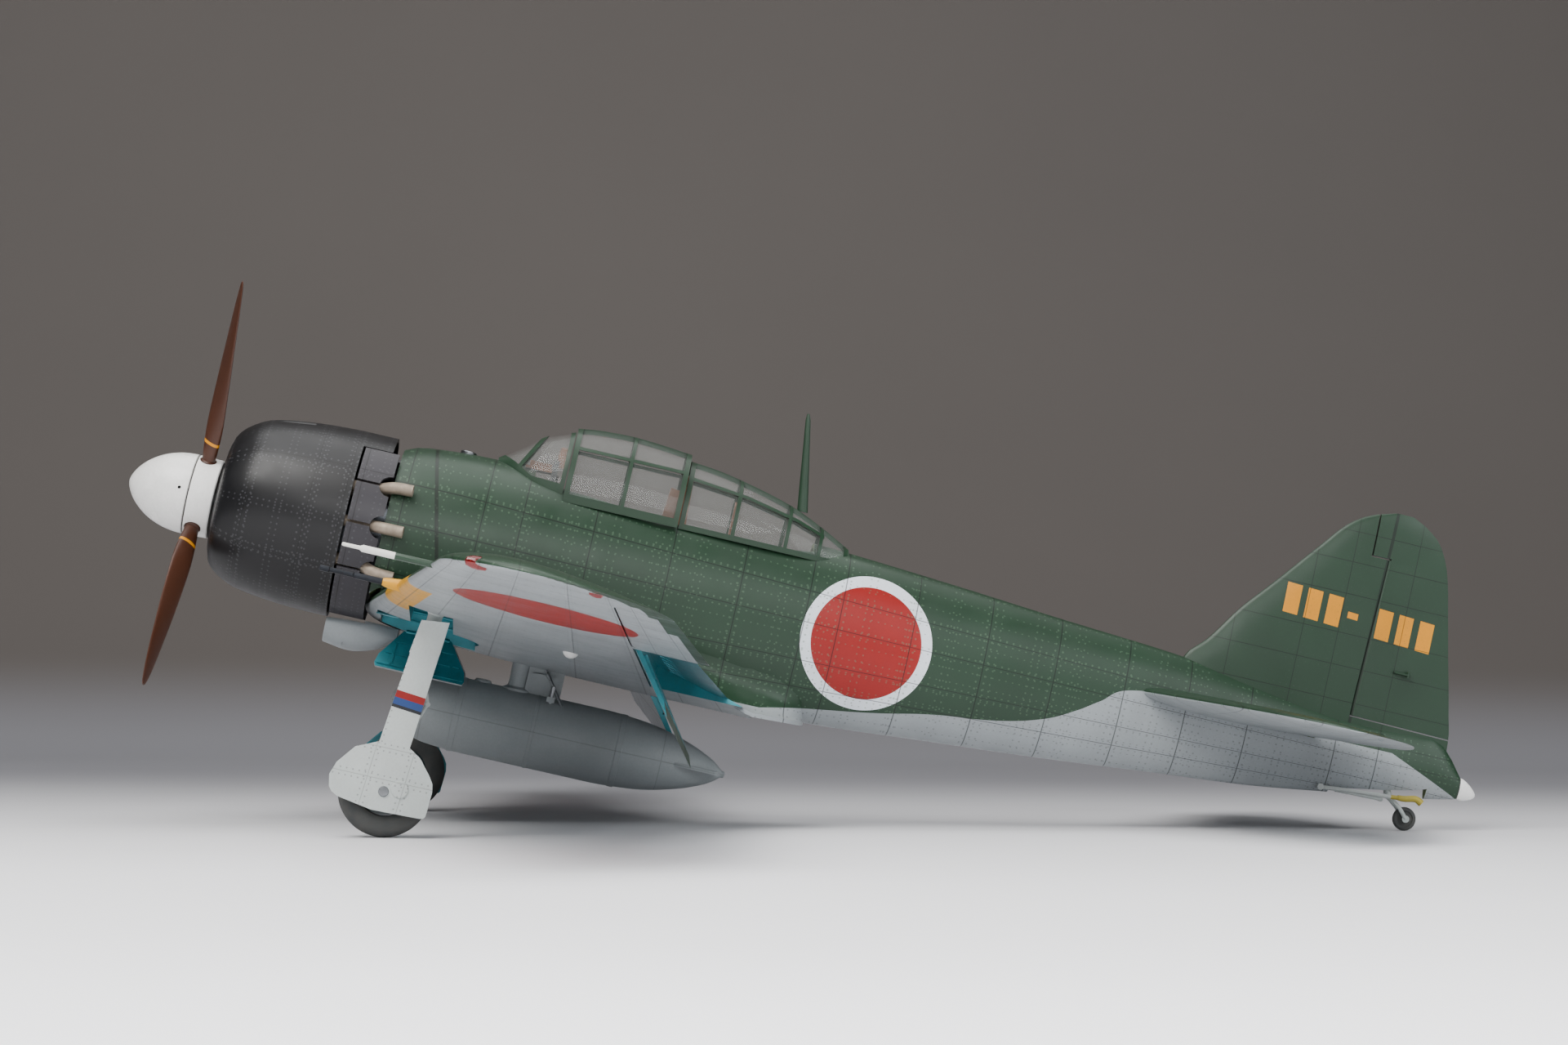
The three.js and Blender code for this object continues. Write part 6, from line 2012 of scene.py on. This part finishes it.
def make_airframe_paints():
    """Satin camouflage enamel: the body's, the wings' and the tail's own panel layouts."""
    # Fuselage: satin dark green over grey, a red roundel with a white ring on each side.
    tree, shader = start_material("fuselage_paint")
    vector, x, s, t = airframe_axes(tree)
    below = under_boundary(tree, s, t)
    colour = blend_colour(tree, below, srgb(GREEN), srgb(UNDER))
    # Rivet dots: lighter green on the green paint as a painted glint, darker on the grey underside.
    rivet = blend_colour(tree, below, srgb(RIVET_GLINT), srgb("#4C5052"))
    side = wire(tree, "ShaderNodeMath", {0: x}, operation="ABSOLUTE")
    side = wire(tree, "ShaderNodeMath", {0: side, 1: 3.0}, operation="GREATER_THAN")
    for radius, paint in ((18.3, WHITE), (15.3, RED)):
        mask = wire(
            tree,
            "ShaderNodeMath",
            {0: disc_mask(tree, s, t, 205.0, 1.5, radius), 1: side},
            operation="MULTIPLY",
        )
        colour = blend_colour(tree, mask, colour, srgb(paint))
    taper = wire(tree, "ShaderNodeMapRange", {0: s, 1: 90.0, 2: 340.0, 3: 1.0, 4: 0.42})
    level = wire(tree, "ShaderNodeMath", {0: t, 1: taper}, operation="DIVIDE")
    groups = [
        (s, [74.5, 96, 106.5, 126, 148, 168, 187, 196.5, 217, 238, 258, 278, 296, 314, 339.5, 352], t),
        (level, [15.5, 4.5, -9.0, -18.5], s),
    ]
    seams, dots = seams_and_rivets(tree, groups)
    dots = largest_of(tree, [dots, rivet_grid(tree, s, 12.0, t, 0.9), rivet_grid(tree, level, 5.4, s)])
    gap = wire(tree, "ShaderNodeMath", {0: t, 1: -0.235, 2: SEAM_OFFSET}, operation="MULTIPLY_ADD")
    deep = within(tree, wire(tree, "ShaderNodeMath", {0: s, 1: gap}, operation="SUBTRACT"), 0.0, 0.5)
    painted(tree, shader, vector, colour, largest_of(tree, [seams, deep]), dots, dark=0.8, rivet=rivet)

    # Wing: rib and spar lines that follow its taper, yellow identification band on the leading edge.
    for name, base in (("wing_top_paint", GREEN), ("wing_under_paint", UNDER)):
        tree, shader = start_material(name)
        vector, x, s, t = airframe_axes(tree)
        out = wire(tree, "ShaderNodeMath", {0: x}, operation="ABSOLUTE")
        nose = wire(tree, "ShaderNodeMath", {0: out, 1: 0.11, 2: 70.0}, operation="MULTIPLY_ADD")
        chord = wire(tree, "ShaderNodeMath", {0: out, 1: -0.28, 2: 110.0}, operation="MULTIPLY_ADD")
        back = wire(tree, "ShaderNodeMath", {0: s, 1: nose}, operation="SUBTRACT")
        share = wire(tree, "ShaderNodeMath", {0: back, 1: chord}, operation="DIVIDE")
        spars = wire(tree, "ShaderNodeMath", {0: share, 1: 80.0}, operation="MULTIPLY")
        colour = srgb(base)
        band = wire(
            tree,
            "ShaderNodeMath",
            {
                0: within(tree, out, 98.0, 32.0),
                1: wire(tree, "ShaderNodeMath", {0: back, 1: 6.5}, operation="LESS_THAN"),
            },
            operation="MULTIPLY",
        )
        colour = blend_colour(tree, band, colour, srgb("#CB9000"))
        if base == UNDER:
            colour = blend_colour(tree, disc_mask(tree, out, s, 154.0, 117.8, 22.0), colour, srgb(RED))
        else:
            colour = blend_colour(tree, disc_mask(tree, out, s, 154.0, 117.8, 23.6), colour, srgb(WHITE))
            colour = blend_colour(tree, disc_mask(tree, out, s, 154.0, 117.8, 21.0), colour, srgb(RED))
        groups = [
            (out, [27, 45, 62, 80, 97, 121, 140, 158, 176, 192, 206, 217], s),
            (spars, [3.2, 12.0, 26.0, 44.0, 58.5, 66.0, 74.0], out),
        ]
        seams, dots = seams_and_rivets(tree, groups)
        dots = largest_of(tree, [dots, rivet_grid(tree, out, 9.0, s)])
        # Rivet dots are lighter than the green top as a painted glint, darker than the grey underside.
        painted(
            tree, shader, vector, colour, seams, dots, rivet=srgb(RIVET_GLINT if base == GREEN else "#6A6F71")
        )

    # Fin and rudder: rib lines, and plain yellow bars where a serial would be.
    tree, shader = start_material("tail_paint")
    vector, x, s, t = airframe_axes(tree)
    colour = srgb(GREEN)
    lean = wire(tree, "ShaderNodeMath", {0: s, 1: -0.06, 2: 59.9}, operation="MULTIPLY_ADD")
    rise = wire(tree, "ShaderNodeMath", {0: t, 1: lean}, operation="SUBTRACT")
    for middle, half, tall in MARKS:
        bar = wire(
            tree,
            "ShaderNodeMath",
            {0: within(tree, s, middle, half), 1: within(tree, rise, 0.0, tall)},
            operation="MULTIPLY",
        )
        colour = blend_colour(tree, bar, colour, srgb(YELLOW))
    lines = [(t, [16.0, 25.5, 34.5, 45.5, 54.5, 63.0], s), (s, [305, 324, 334, 352], t)]
    seams, dots = seams_and_rivets(tree, lines, 0.1, radius=0.12)
    hinge = wire(tree, "ShaderNodeMath", {0: t, 1: -0.0225, 2: s}, operation="MULTIPLY_ADD")
    seams = largest_of(tree, [seams, within(tree, hinge, 342.4, 0.45)])
    painted(tree, shader, vector, colour, seams, dots, dark=0.75)

    tree, shader = start_material("tailplane_paint")
    vector, x, s, t = airframe_axes(tree)
    out = wire(tree, "ShaderNodeMath", {0: x}, operation="ABSOLUTE")
    below = wire(tree, "ShaderNodeMath", {0: t, 1: TAILPLANE_HEIGHT - 0.05}, operation="LESS_THAN")
    colour = blend_colour(tree, below, srgb(GREEN), srgb(UNDER))
    seams, dots = seams_and_rivets(
        tree, [(out, [14, 27, 40, 53, 66, 79, 88], s), (s, [300, 315, 326, 341], out)]
    )
    # Rivet dots are lighter than the green top as a painted glint, darker than the grey underside.
    painted(tree, shader, vector, colour, seams, dots, rivet=srgb(RIVET_GLINT))

    # Cowling: satin charcoal, panel seams round it and between its segments, and rivet dots drawn lighter
    # than the paint as a painted glint.
    for name, base, places in (
        ("cowl_paint", "#121214", (33.5, 50.0, 59.0)), ("cowl_flap_paint", "#2F2D32", (62.6,))
    ):
        tree, shader = start_material(name)
        vector, x, s, t = airframe_axes(tree)
        rise = wire(tree, "ShaderNodeMath", {0: t, 1: COWL_RISE}, operation="SUBTRACT")
        angle = wire(tree, "ShaderNodeMath", {0: rise, 1: x}, operation="ARCTAN2")
        around = wire(tree, "ShaderNodeMath", {0: angle, 1: 25.0}, operation="MULTIPLY")
        groups = [
            (s, list(places), around),
            (around, [25 * math.radians(a) for a in (-150, -90, -30, 35, 90, 145)], s),
        ]
        seams, dots = seams_and_rivets(tree, groups)
        dots = largest_of(
            tree,
            [
                dots,
                rivet_grid(tree, s, 8.5, around, 0.8, 1.6, 0.24),
                rivet_grid(tree, around, 13.0, s, 0.8, 1.6, 0.24),
            ],
        )
        painted(tree, shader, vector, srgb(base), seams, dots, (0.34, 0.46), 0.65, srgb("#4C4C50"))

    # Plain airframe enamels without panel lines of their own.
    for name, base, rough in (
        ("frame_paint", GREEN, (0.34, 0.46)),
        ("under_paint", UNDER, (0.36, 0.5)),
        ("leg_paint", "#B9C0BE", (0.3, 0.42)),
        ("pitot_paint", "#DAD9D2", (0.3, 0.4)),
        ("white_enamel", "#E4E4E2", (0.28, 0.4)),
        ("black_paint", "#1D1E20", (0.4, 0.55)),
        ("panel_paint", "#202224", (0.5, 0.65)),
        ("cockpit_paint", "#6F7F4F", (0.5, 0.65)),
        ("seat_paint", "#84885A", (0.45, 0.6)),
        ("hook_paint", "#A9AEAC", (0.35, 0.5)),
        ("case_paint", "#45484C", (0.4, 0.55)),
    ):
        tree, shader = start_material(name)
        vector, x, s, t = airframe_axes(tree)
        colour = srgb(base)
        if name == "hook_paint":
            hook_end = wire(tree, "ShaderNodeMath", {0: s, 1: 358.0}, operation="GREATER_THAN")
            colour = blend_colour(tree, hook_end, colour, srgb("#A39338"))
        if name == "pitot_paint":
            root = wire(tree, "ShaderNodeMath", {0: s, 1: 82.5}, operation="GREATER_THAN")
            colour = blend_colour(tree, root, colour, srgb(GREEN))
        painted(tree, shader, vector, colour, rough=rough)

    # Spinner: warm ivory gloss enamel. It has a fine seam ring and light handling marks.
    tree, shader = start_material("spinner_paint")
    vector, x, s, t = airframe_axes(tree)
    painted(
        tree,
        shader,
        vector,
        srgb("#F2F1EE"),
        within(tree, s, 16.9, 0.12),
        within(tree, s, 16.9, 0.05),
        (0.2, 0.32),
        0.5,
    )

    # Propeller: red-brown satin enamel with a small yellow band near the root.
    tree, shader = start_material("blade_paint")
    vector, x, s, t = airframe_axes(tree)
    out = wire(tree, "ShaderNodeCombineXYZ", {0: x, 1: t})
    far = wire(tree, "ShaderNodeVectorMath", {0: out}, out="Value", operation="LENGTH")
    colour = blend_colour(tree, within(tree, far, 16.4, 0.45), srgb("#46281B"), srgb(YELLOW))
    painted(tree, shader, vector, colour, rough=(0.3, 0.45))

    # Drop tank: matt grey with fine welded seams.
    tree, shader = start_material("tank_paint")
    vector, x, s, t = airframe_axes(tree)
    seams, dots = seams_and_rivets(tree, [(s, [92, 158], x), (t, [TANK_HEIGHT], s)], radius=0.05)
    painted(tree, shader, vector, srgb("#868C8E"), seams, dots, (0.42, 0.56), 0.25)

    # Leg covers: light grey with three recognition stripes and rivet rows along both edges.
    tree, shader = start_material("cover_paint")
    vector, x, s, t = airframe_axes(tree)
    colour = srgb("#BFC6C4")
    slope = wire(tree, "ShaderNodeMath", {0: s, 1: -0.09, 2: 8.0}, operation="MULTIPLY_ADD")
    height = wire(tree, "ShaderNodeMath", {0: t, 1: slope}, operation="SUBTRACT")
    for middle, half, paint in ((-38.9, 0.9, RED), (-40.7, 0.9, "#27457F"), (-42.0, 0.4, "#23252A")):
        colour = blend_colour(tree, within(tree, height, middle, half), colour, srgb(paint))
    lean = wire(tree, "ShaderNodeMath", {0: t, 1: -0.075, 2: 0.0}, operation="MULTIPLY_ADD")
    straight = wire(tree, "ShaderNodeMath", {0: s, 1: lean}, operation="ADD")
    seams, dots = seams_and_rivets(
        tree, [(straight, [88.4, 98.0], t), (t, [-52.6, -60.5], s)], 0.1, 1.6, 0.9, 0.22
    )
    painted(tree, shader, vector, colour, seams, dots, (0.34, 0.46), 0.35)


def start_solid(name):
    """A fresh material, its shader and the airframe's coordinates."""
    tree, shader = start_material(name)
    return tree, shader, airframe_axes(tree)[0]


def make_hard_materials():
    """Metals, rubber, lacquer, clear parts and electronics."""
    # Bare metals: default index of refraction, streaked roughness from machining or casting.
    for name, base, low, high, scale, relief in (
        ("bare_steel", "#8C8F92", 0.24, 0.38, 3.0, 0.02),
        ("cast_alloy", "#A3A6A8", 0.32, 0.5, 1.5, 0.06),
        ("cylinder_alloy", "#5A5C5F", 0.4, 0.6, 1.2, 0.06),
        ("anodised_alloy", "#6C7076", 0.25, 0.35, 2.0, 0.01),
        ("gunmetal", "#2E3034", 0.3, 0.46, 2.0, 0.03),
        ("exhaust_metal", "#9C8F80", 0.45, 0.7, 0.8, 0.08),
    ):
        tree, shader, vector = start_solid(name)
        tone = weather(tree, vector, 0.4, 0.75, 1.15)
        grain = weather(tree, vector, scale, 0.0, 1.0, 5.0)
        plug(
            tree,
            shader,
            {
                "Base Color": wire(tree, "ShaderNodeHueSaturation", {"Value": tone, "Color": srgb(base)}),
                "Metallic": 0.6 if name == "exhaust_metal" else 1.0,
                "Roughness": weather(tree, vector, scale / 3, low, high),
                "Normal": wire(
                    tree, "ShaderNodeBump", {"Strength": 0.4, "Distance": relief * MM, "Height": grain}
                ),
            },
        )

    # Blue-green metallic lacquer inside wells and flaps: a coloured flake base under a thin clear coat.
    tree, shader, vector = start_solid("teal_lacquer")
    flake = wire(tree, "ShaderNodeTexVoronoi", {"Vector": vector, "Scale": 3.5}, out="Distance")
    plug(
        tree,
        shader,
        {
            "Base Color": wire(
                tree,
                "ShaderNodeHueSaturation",
                {"Value": weather(tree, vector, 0.15, 0.8, 1.2), "Color": srgb("#2A7F8A")},
            ),
            "Metallic": 0.55,
            "Roughness": wire(tree, "ShaderNodeMapRange", {0: flake, 1: 0.0, 2: 1.0, 3: 0.28, 4: 0.44}),
            "Coat Weight": 0.4,
            "Coat Roughness": 0.15,
        },
    )

    # Tyre rubber: matt, dusty on the tread, fine grain in the surface.
    tree, shader, vector = start_solid("tyre_rubber")
    grain = weather(tree, vector, 4.0, 0.0, 1.0, 3.0)
    dust = weather(tree, vector, 0.25, 0.0, 0.25)
    plug(
        tree,
        shader,
        {
            "Base Color": blend_colour(tree, dust, srgb("#3C3F40"), srgb("#7A756C")),
            "Roughness": weather(tree, vector, 0.5, 0.72, 0.9),
            "Normal": wire(
                tree, "ShaderNodeBump", {"Strength": 0.35, "Distance": 0.05 * MM, "Height": grain}
            ),
        },
    )

    # Clear moulded acrylic: you see through it, with a faint pale veil that is a painted sheen, gloss and
    # polish marks.
    tree, shader, vector = start_solid("clear_acrylic")
    marks = weather(tree, vector, 0.8, 0.015, 0.05)
    plug(
        tree,
        shader,
        {
            # The pale base colour at low alpha is the painted sheen on the glass.
            "Base Color": srgb("#C9CDCB"),
            "Alpha": 0.06,
            "IOR": 1.49,
            "Roughness": marks,
            "Coat Weight": 1.0,
        },
    )

    # Tinted lamp lenses: transparent coloured styrene with a soft ribbing.
    for name, base in (("red_lens", "#C0181C"), ("blue_lens", "#1E4FB0")):
        tree, shader, vector = start_solid(name)
        ribs = wire(tree, "ShaderNodeTexWave", {"Vector": vector, "Scale": 0.6}, out="Fac")
        bump = wire(tree, "ShaderNodeBump", {"Strength": 0.2, "Distance": 0.05 * MM, "Height": ribs})
        plug(
            tree,
            shader,
            {
                "Base Color": srgb(base),
                "Transmission Weight": 0.8,
                "IOR": 1.59,
                "Roughness": 0.08,
                "Normal": bump,
            },
        )

    # Woven harness and leather padding: rough cloth-like response with a fine weave or grain.
    for name, base, scale in (("webbing", "#8C7A58", 6.0), ("brown_leather", "#6A4630", 1.8)):
        tree, shader, vector = start_solid(name)
        cells = wire(tree, "ShaderNodeTexVoronoi", {"Vector": vector, "Scale": scale}, out="Distance")
        bump = wire(tree, "ShaderNodeBump", {"Strength": 0.4, "Distance": 0.08 * MM, "Height": cells})
        shade = wire(
            tree,
            "ShaderNodeHueSaturation",
            {"Value": weather(tree, vector, 0.5, 0.8, 1.15), "Color": srgb(base)},
        )
        plug(tree, shader, {"Base Color": shade, "Roughness": 0.7, "Sheen Weight": 0.2, "Normal": bump})

    # Instrument faces: black with pale graduations, glossy like the clear disc over them.
    tree, shader, vector = start_solid("dial_face")
    rings = wire(tree, "ShaderNodeTexVoronoi", {"Vector": vector, "Scale": 0.9}, out="Distance")
    pale = within(tree, rings, 0.3, 0.035)
    plug(
        tree,
        shader,
        {"Base Color": blend_colour(tree, pale, srgb("#101214"), srgb("#D8D8CC")), "Roughness": 0.15},
    )

    # Electronics: shrink wrap with a slight orange peel, and a green laminate with traces.
    tree, shader, vector = start_solid("shrink_wrap")
    peel = weather(tree, vector, 0.9, 0.0, 1.0, 2.0)
    bump = wire(tree, "ShaderNodeBump", {"Strength": 0.3, "Distance": 0.1 * MM, "Height": peel})
    plug(
        tree,
        shader,
        {
            "Base Color": srgb("#2F4F9E"),
            "Roughness": weather(tree, vector, 0.3, 0.25, 0.4),
            "Normal": bump,
        },
    )
    tree, shader, vector = start_solid("circuit_laminate")
    traces = wire(
        tree, "ShaderNodeTexBrick", {"Vector": vector, "Scale": 0.35, "Mortar Size": 0.03}, out="Fac"
    )
    plug(
        tree,
        shader,
        {"Base Color": blend_colour(tree, traces, srgb("#1F5C33"), srgb("#B88A3A")), "Roughness": 0.35},
    )

    # Studio: seamless matt paper, pale in front with painted shade that greys it towards the back, and
    # shaded grey-brown where it sweeps up.
    tree, shader = start_material("paper_with_painted_shade")
    place = wire(tree, "ShaderNodeTexCoord", out="Object")
    split = tree.nodes.new("ShaderNodeSeparateXYZ")
    tree.links.new(place, split.inputs[0])
    cloud = wire(tree, "ShaderNodeTexNoise", {"Vector": place, "Scale": 6.0, "Detail": 5.0})
    tone = wire(tree, "ShaderNodeMapRange", {0: cloud, 1: 0.3, 2: 0.7, 3: 0.98, 4: 1.02})
    # The floor's fade from near white in front to grey towards the backdrop is painted shade.
    far = wire(
        tree,
        "ShaderNodeMapRange",
        {0: split.outputs[0], 1: 0.3, 2: -0.4},
        interpolation_type="SMOOTHSTEP",
    )
    near = blend_colour(tree, far, srgb("#FAFAFD"), srgb("#77777C"))
    rise = wire(
        tree,
        "ShaderNodeMapRange",
        {0: split.outputs[2], 1: 0.0, 2: 0.045},
        interpolation_type="SMOOTHSTEP",
    )
    paper_and_painted_shade = blend_colour(tree, rise, near, srgb("#544F4C"))
    shade = wire(tree, "ShaderNodeHueSaturation", {"Value": tone, "Color": paper_and_painted_shade})
    plug(tree, shader, {"Base Color": shade, "Roughness": 0.8})


def dress_equipment():
    """Finishes on the power and radio equipment, whose own meshes are shown."""
    for node, look, slot in (
        ("battery_pack", "shrink_wrap", "blue_wrap"),
        ("speed_controller", "circuit_laminate", "circuit"),
        ("receiver", "black_paint", "black"),
        ("tail_servos", "black_paint", "black"),
    ):
        carried = frame["nodes"][node]
        carried.data.materials.clear()
        carried.data.materials.append(MATERIALS[look])


# ---- Stage ----


def aim(thing, target):
    """Turns a light so that it faces a point."""
    thing.rotation_mode = "QUATERNION"
    thing.rotation_quaternion = (Vector(target) - thing.location).to_track_quat("-Z", "Y")


def build_stage():
    """Pale floor that sweeps up into a darker backdrop, soft lights and the camera."""
    stage = bpy.context.scene.warbird_stage
    sweep = []
    for k in range(25):
        angle = 0.5 * math.pi * k / 24
        sweep.append((-0.52 - 0.5 * math.sin(angle), 0.5 - 0.5 * math.cos(angle)))
    line = [(2.4, 0.0), (0.5, 0.0), (-0.52, 0.0)] + sweep[1:] + [(-1.02, 2.4)]
    points, faces = [], []
    for y in (-2.6, 2.6):
        points += [(px, y, pz) for px, pz in line]
    for i in range(len(line) - 1):
        faces.append((i, i + 1, i + 1 + len(line), i + len(line)))
    mesh = bpy.data.meshes.new("studio_sweep")
    mesh.from_pydata(points, [], faces)
    mesh.materials.append(MATERIALS["paper_with_painted_shade"])
    mesh.polygons.foreach_set("use_smooth", [True] * len(mesh.polygons))
    floor = bpy.data.objects.new("studio_sweep", mesh)
    bpy.context.scene.collection.objects.link(floor)
    for name, place, target, size, power, tint in (
        ("key", (0.7, -0.5, 1.1), (0, -0.02, 0.06), 0.8, stage.key_power, (1.0, 0.985, 0.96)),
        ("fill", (0.9, 0.9, 0.55), (0, 0.05, 0.06), 0.7, stage.key_power * 0.35, (0.95, 0.98, 1.0)),
        ("top", (-0.1, 0.0, 1.3), (0, 0, 0), 1.2, stage.key_power * 0.7, (1.0, 1.0, 1.0)),
        ("floor", (0.8, 0.0, 0.3), (0.75, 0, 0), 0.5, stage.key_power * 0.22, (1.0, 1.0, 1.0)),
    ):
        data = bpy.data.lights.new(name, "AREA")
        data.shape, data.size, data.energy, data.color = "SQUARE", size, power, tint
        light = bpy.data.objects.new(name, data)
        light.location = place
        bpy.context.scene.collection.objects.link(light)
        aim(light, target)
    world = bpy.data.worlds.new("studio_air")
    world.use_nodes = True
    world.node_tree.nodes["Background"].inputs["Color"].default_value = srgb("#C9CCD2")
    world.node_tree.nodes["Background"].inputs["Strength"].default_value = stage.air
    bpy.context.scene.world = world

    lens = bpy.data.cameras.new("studio_camera")
    lens.sensor_width = 36.0
    lens.lens = stage.lens
    lens.clip_start, lens.clip_end = 0.05, 20.0
    camera = bpy.data.objects.new("studio_camera", lens)
    camera.location = Vector((stage.distance, TIP.y + stage.aft, stage.height))
    heading = Vector((-0.9973, 0.0732, 0)).normalized()
    pitch = math.radians(stage.pitch)
    ahead = heading * math.cos(pitch) + Vector((0, 0, math.sin(pitch)))
    camera.rotation_mode = "QUATERNION"
    roll = Quaternion((0, 0, 1), math.radians(stage.roll))
    camera.rotation_quaternion = ahead.to_track_quat("-Z", "Y") @ roll
    bpy.context.scene.collection.objects.link(camera)
    bpy.context.scene.camera = camera


# ---- Add-on ----


class WarbirdFinish(bpy.types.PropertyGroup):
    """How strongly the finish shows its panel lines."""

    # Besides the dark wash, this sets how strongly the lighter rivet dots on dark paint show as painted
    # glints.
    wash: bpy.props.FloatProperty(
        name="Wash",
        description="Strength of the dark wash in panel lines and rivets",
        default=0.85,
        min=0,
        max=1,
        subtype="FACTOR",
    )


class WarbirdStage(bpy.types.PropertyGroup):
    """Where the studio camera stands and how bright the lights are."""

    distance: bpy.props.FloatProperty(
        name="Distance",
        description="Camera distance to the left of the model",
        default=0.9682,
        unit="LENGTH",
    )
    aft: bpy.props.FloatProperty(
        name="Aft", description="Camera station aft of the spinner tip", default=0.1078, unit="LENGTH"
    )
    height: bpy.props.FloatProperty(
        name="Height", description="Camera height over the floor", default=0.0481, unit="LENGTH"
    )
    pitch: bpy.props.FloatProperty(
        name="Pitch", description="Camera tilt upwards in degrees", default=2.09
    )
    roll: bpy.props.FloatProperty(name="Roll", description="Camera roll in degrees", default=0.64)
    lens: bpy.props.FloatProperty(name="Lens", description="Focal length in millimetres", default=80.8)
    key_power: bpy.props.FloatProperty(
        name="Key light", description="Key light power in watts", default=19.0
    )
    air: bpy.props.FloatProperty(
        name="Ambient", description="Strength of the ambient light", default=0.2
    )


class WarbirdStep(bpy.types.Operator):
    """One step of the model: runs its builders and fails if any of them fails."""

    bl_options = {"REGISTER", "UNDO"}
    builders = ()

    def execute(self, context):
        for builder in self.builders:
            builder()
        return {"FINISHED"}


class WARBIRD_OT_finishes(WarbirdStep):
    """Makes every paint, metal, rubber, clear and studio material"""

    bl_idname = "warbird.finishes"
    bl_label = "Finishes"
    builders = (make_airframe_paints, make_hard_materials)


class WARBIRD_OT_wings(WarbirdStep):
    """Builds wing skins, ailerons, flaps, wheel wells and root fairings"""

    bl_idname = "warbird.wings"
    bl_label = "Wings"
    builders = (build_wings,)


class WARBIRD_OT_fuselage(WarbirdStep):
    """Builds the body shell, its caps and the tail lamp"""

    bl_idname = "warbird.fuselage"
    bl_label = "Fuselage"
    builders = (build_fuselage,)


class WARBIRD_OT_tail(WarbirdStep):
    """Builds fin, rudder, tailplane and elevators"""

    bl_idname = "warbird.tail"
    bl_label = "Tail surfaces"
    builders = (build_tail,)


class WARBIRD_OT_canopy(WarbirdStep):
    """Builds the windscreen, sliding hood, rear glazing and mast"""

    bl_idname = "warbird.canopy"
    bl_label = "Canopy"
    builders = (build_canopy,)


class WARBIRD_OT_guns(WarbirdStep):
    """Builds cannon barrels, pitot tube and wing lamps"""

    bl_idname = "warbird.guns"
    bl_label = "Guns and lamps"
    builders = (build_guns,)


class WARBIRD_OT_cowling(WarbirdStep):
    """Builds the cowling, its flaps, gun troughs and oil cooler"""

    bl_idname = "warbird.cowling"
    bl_label = "Cowling"
    builders = (build_cowling,)


class WARBIRD_OT_engine(WarbirdStep):
    """Builds the radial engine, its exhaust pipes, the motor and shaft"""

    bl_idname = "warbird.engine"
    bl_label = "Engine"
    builders = (build_engine,)


class WARBIRD_OT_propeller(WarbirdStep):
    """Builds spinner, backplate and blades"""

    bl_idname = "warbird.propeller"
    bl_label = "Propeller"
    builders = (build_propeller,)


class WARBIRD_OT_cockpit(WarbirdStep):
    """Builds the tub, seat, panel, gunsight and headrest"""

    bl_idname = "warbird.cockpit"
    bl_label = "Cockpit"
    builders = (build_cockpit,)


class WARBIRD_OT_tank(WarbirdStep):
    """Builds the drop tank and its pylon"""

    bl_idname = "warbird.tank"
    bl_label = "Drop tank"
    builders = (build_tank,)


class WARBIRD_OT_gear(WarbirdStep):
    """Builds main legs, covers, wheels and inner doors"""

    bl_idname = "warbird.gear"
    bl_label = "Main gear"
    builders = (build_gear,)


class WARBIRD_OT_tail_wheel(WarbirdStep):
    """Builds the tail strut, tail wheel and arrester hook"""

    bl_idname = "warbird.tail_wheel"
    bl_label = "Tail wheel and hook"
    builders = (build_tail_wheel,)


class WARBIRD_OT_equipment(WarbirdStep):
    """Puts finishes on the battery, speed controller, receiver and servos"""

    bl_idname = "warbird.equipment"
    bl_label = "Equipment finishes"
    builders = (dress_equipment,)


class WARBIRD_OT_stage(WarbirdStep):
    """Builds the floor, backdrop, lights and camera"""

    bl_idname = "warbird.stage"
    bl_label = "Studio stage"
    builders = (build_stage,)


STEPS = (
    WARBIRD_OT_finishes,
    WARBIRD_OT_fuselage,
    WARBIRD_OT_wings,
    WARBIRD_OT_tail,
    WARBIRD_OT_canopy,
    WARBIRD_OT_guns,
    WARBIRD_OT_cowling,
    WARBIRD_OT_engine,
    WARBIRD_OT_propeller,
    WARBIRD_OT_cockpit,
    WARBIRD_OT_tank,
    WARBIRD_OT_gear,
    WARBIRD_OT_tail_wheel,
    WARBIRD_OT_equipment,
    WARBIRD_OT_stage,
)


class WARBIRD_PT_panel(bpy.types.Panel):
    """The model's steps in the 3D view's sidebar"""

    bl_label = "Warbird"
    bl_idname = "WARBIRD_PT_panel"
    bl_space_type = "VIEW_3D"
    bl_region_type = "UI"
    bl_category = "Warbird"

    def draw(self, context):
        """Lists the steps and their settings."""
        for step in STEPS:
            self.layout.operator(step.bl_idname)
        self.layout.prop(context.scene.warbird_finish, "wash")
        for name in WarbirdStage.__annotations__:
            self.layout.prop(context.scene.warbird_stage, name)


CLASSES = (WarbirdFinish, WarbirdStage) + STEPS + (WARBIRD_PT_panel,)


def register():
    """Registers the settings, the steps and the panel."""
    for entry in CLASSES:
        bpy.utils.register_class(entry)
    bpy.types.Scene.warbird_finish = bpy.props.PointerProperty(type=WarbirdFinish)
    bpy.types.Scene.warbird_stage = bpy.props.PointerProperty(type=WarbirdStage)


def unregister():
    """Takes it all out again."""
    del bpy.types.Scene.warbird_stage
    del bpy.types.Scene.warbird_finish
    for entry in reversed(CLASSES):
        bpy.utils.unregister_class(entry)


def main():
    """Builds the whole model."""
    register()
    for step in STEPS:
        group, name = step.bl_idname.split(".")
        if getattr(getattr(bpy.ops, group), name)() != {"FINISHED"}:
            raise RuntimeError(step.bl_label + " did not finish")


if __name__ == "__main__":
    main()
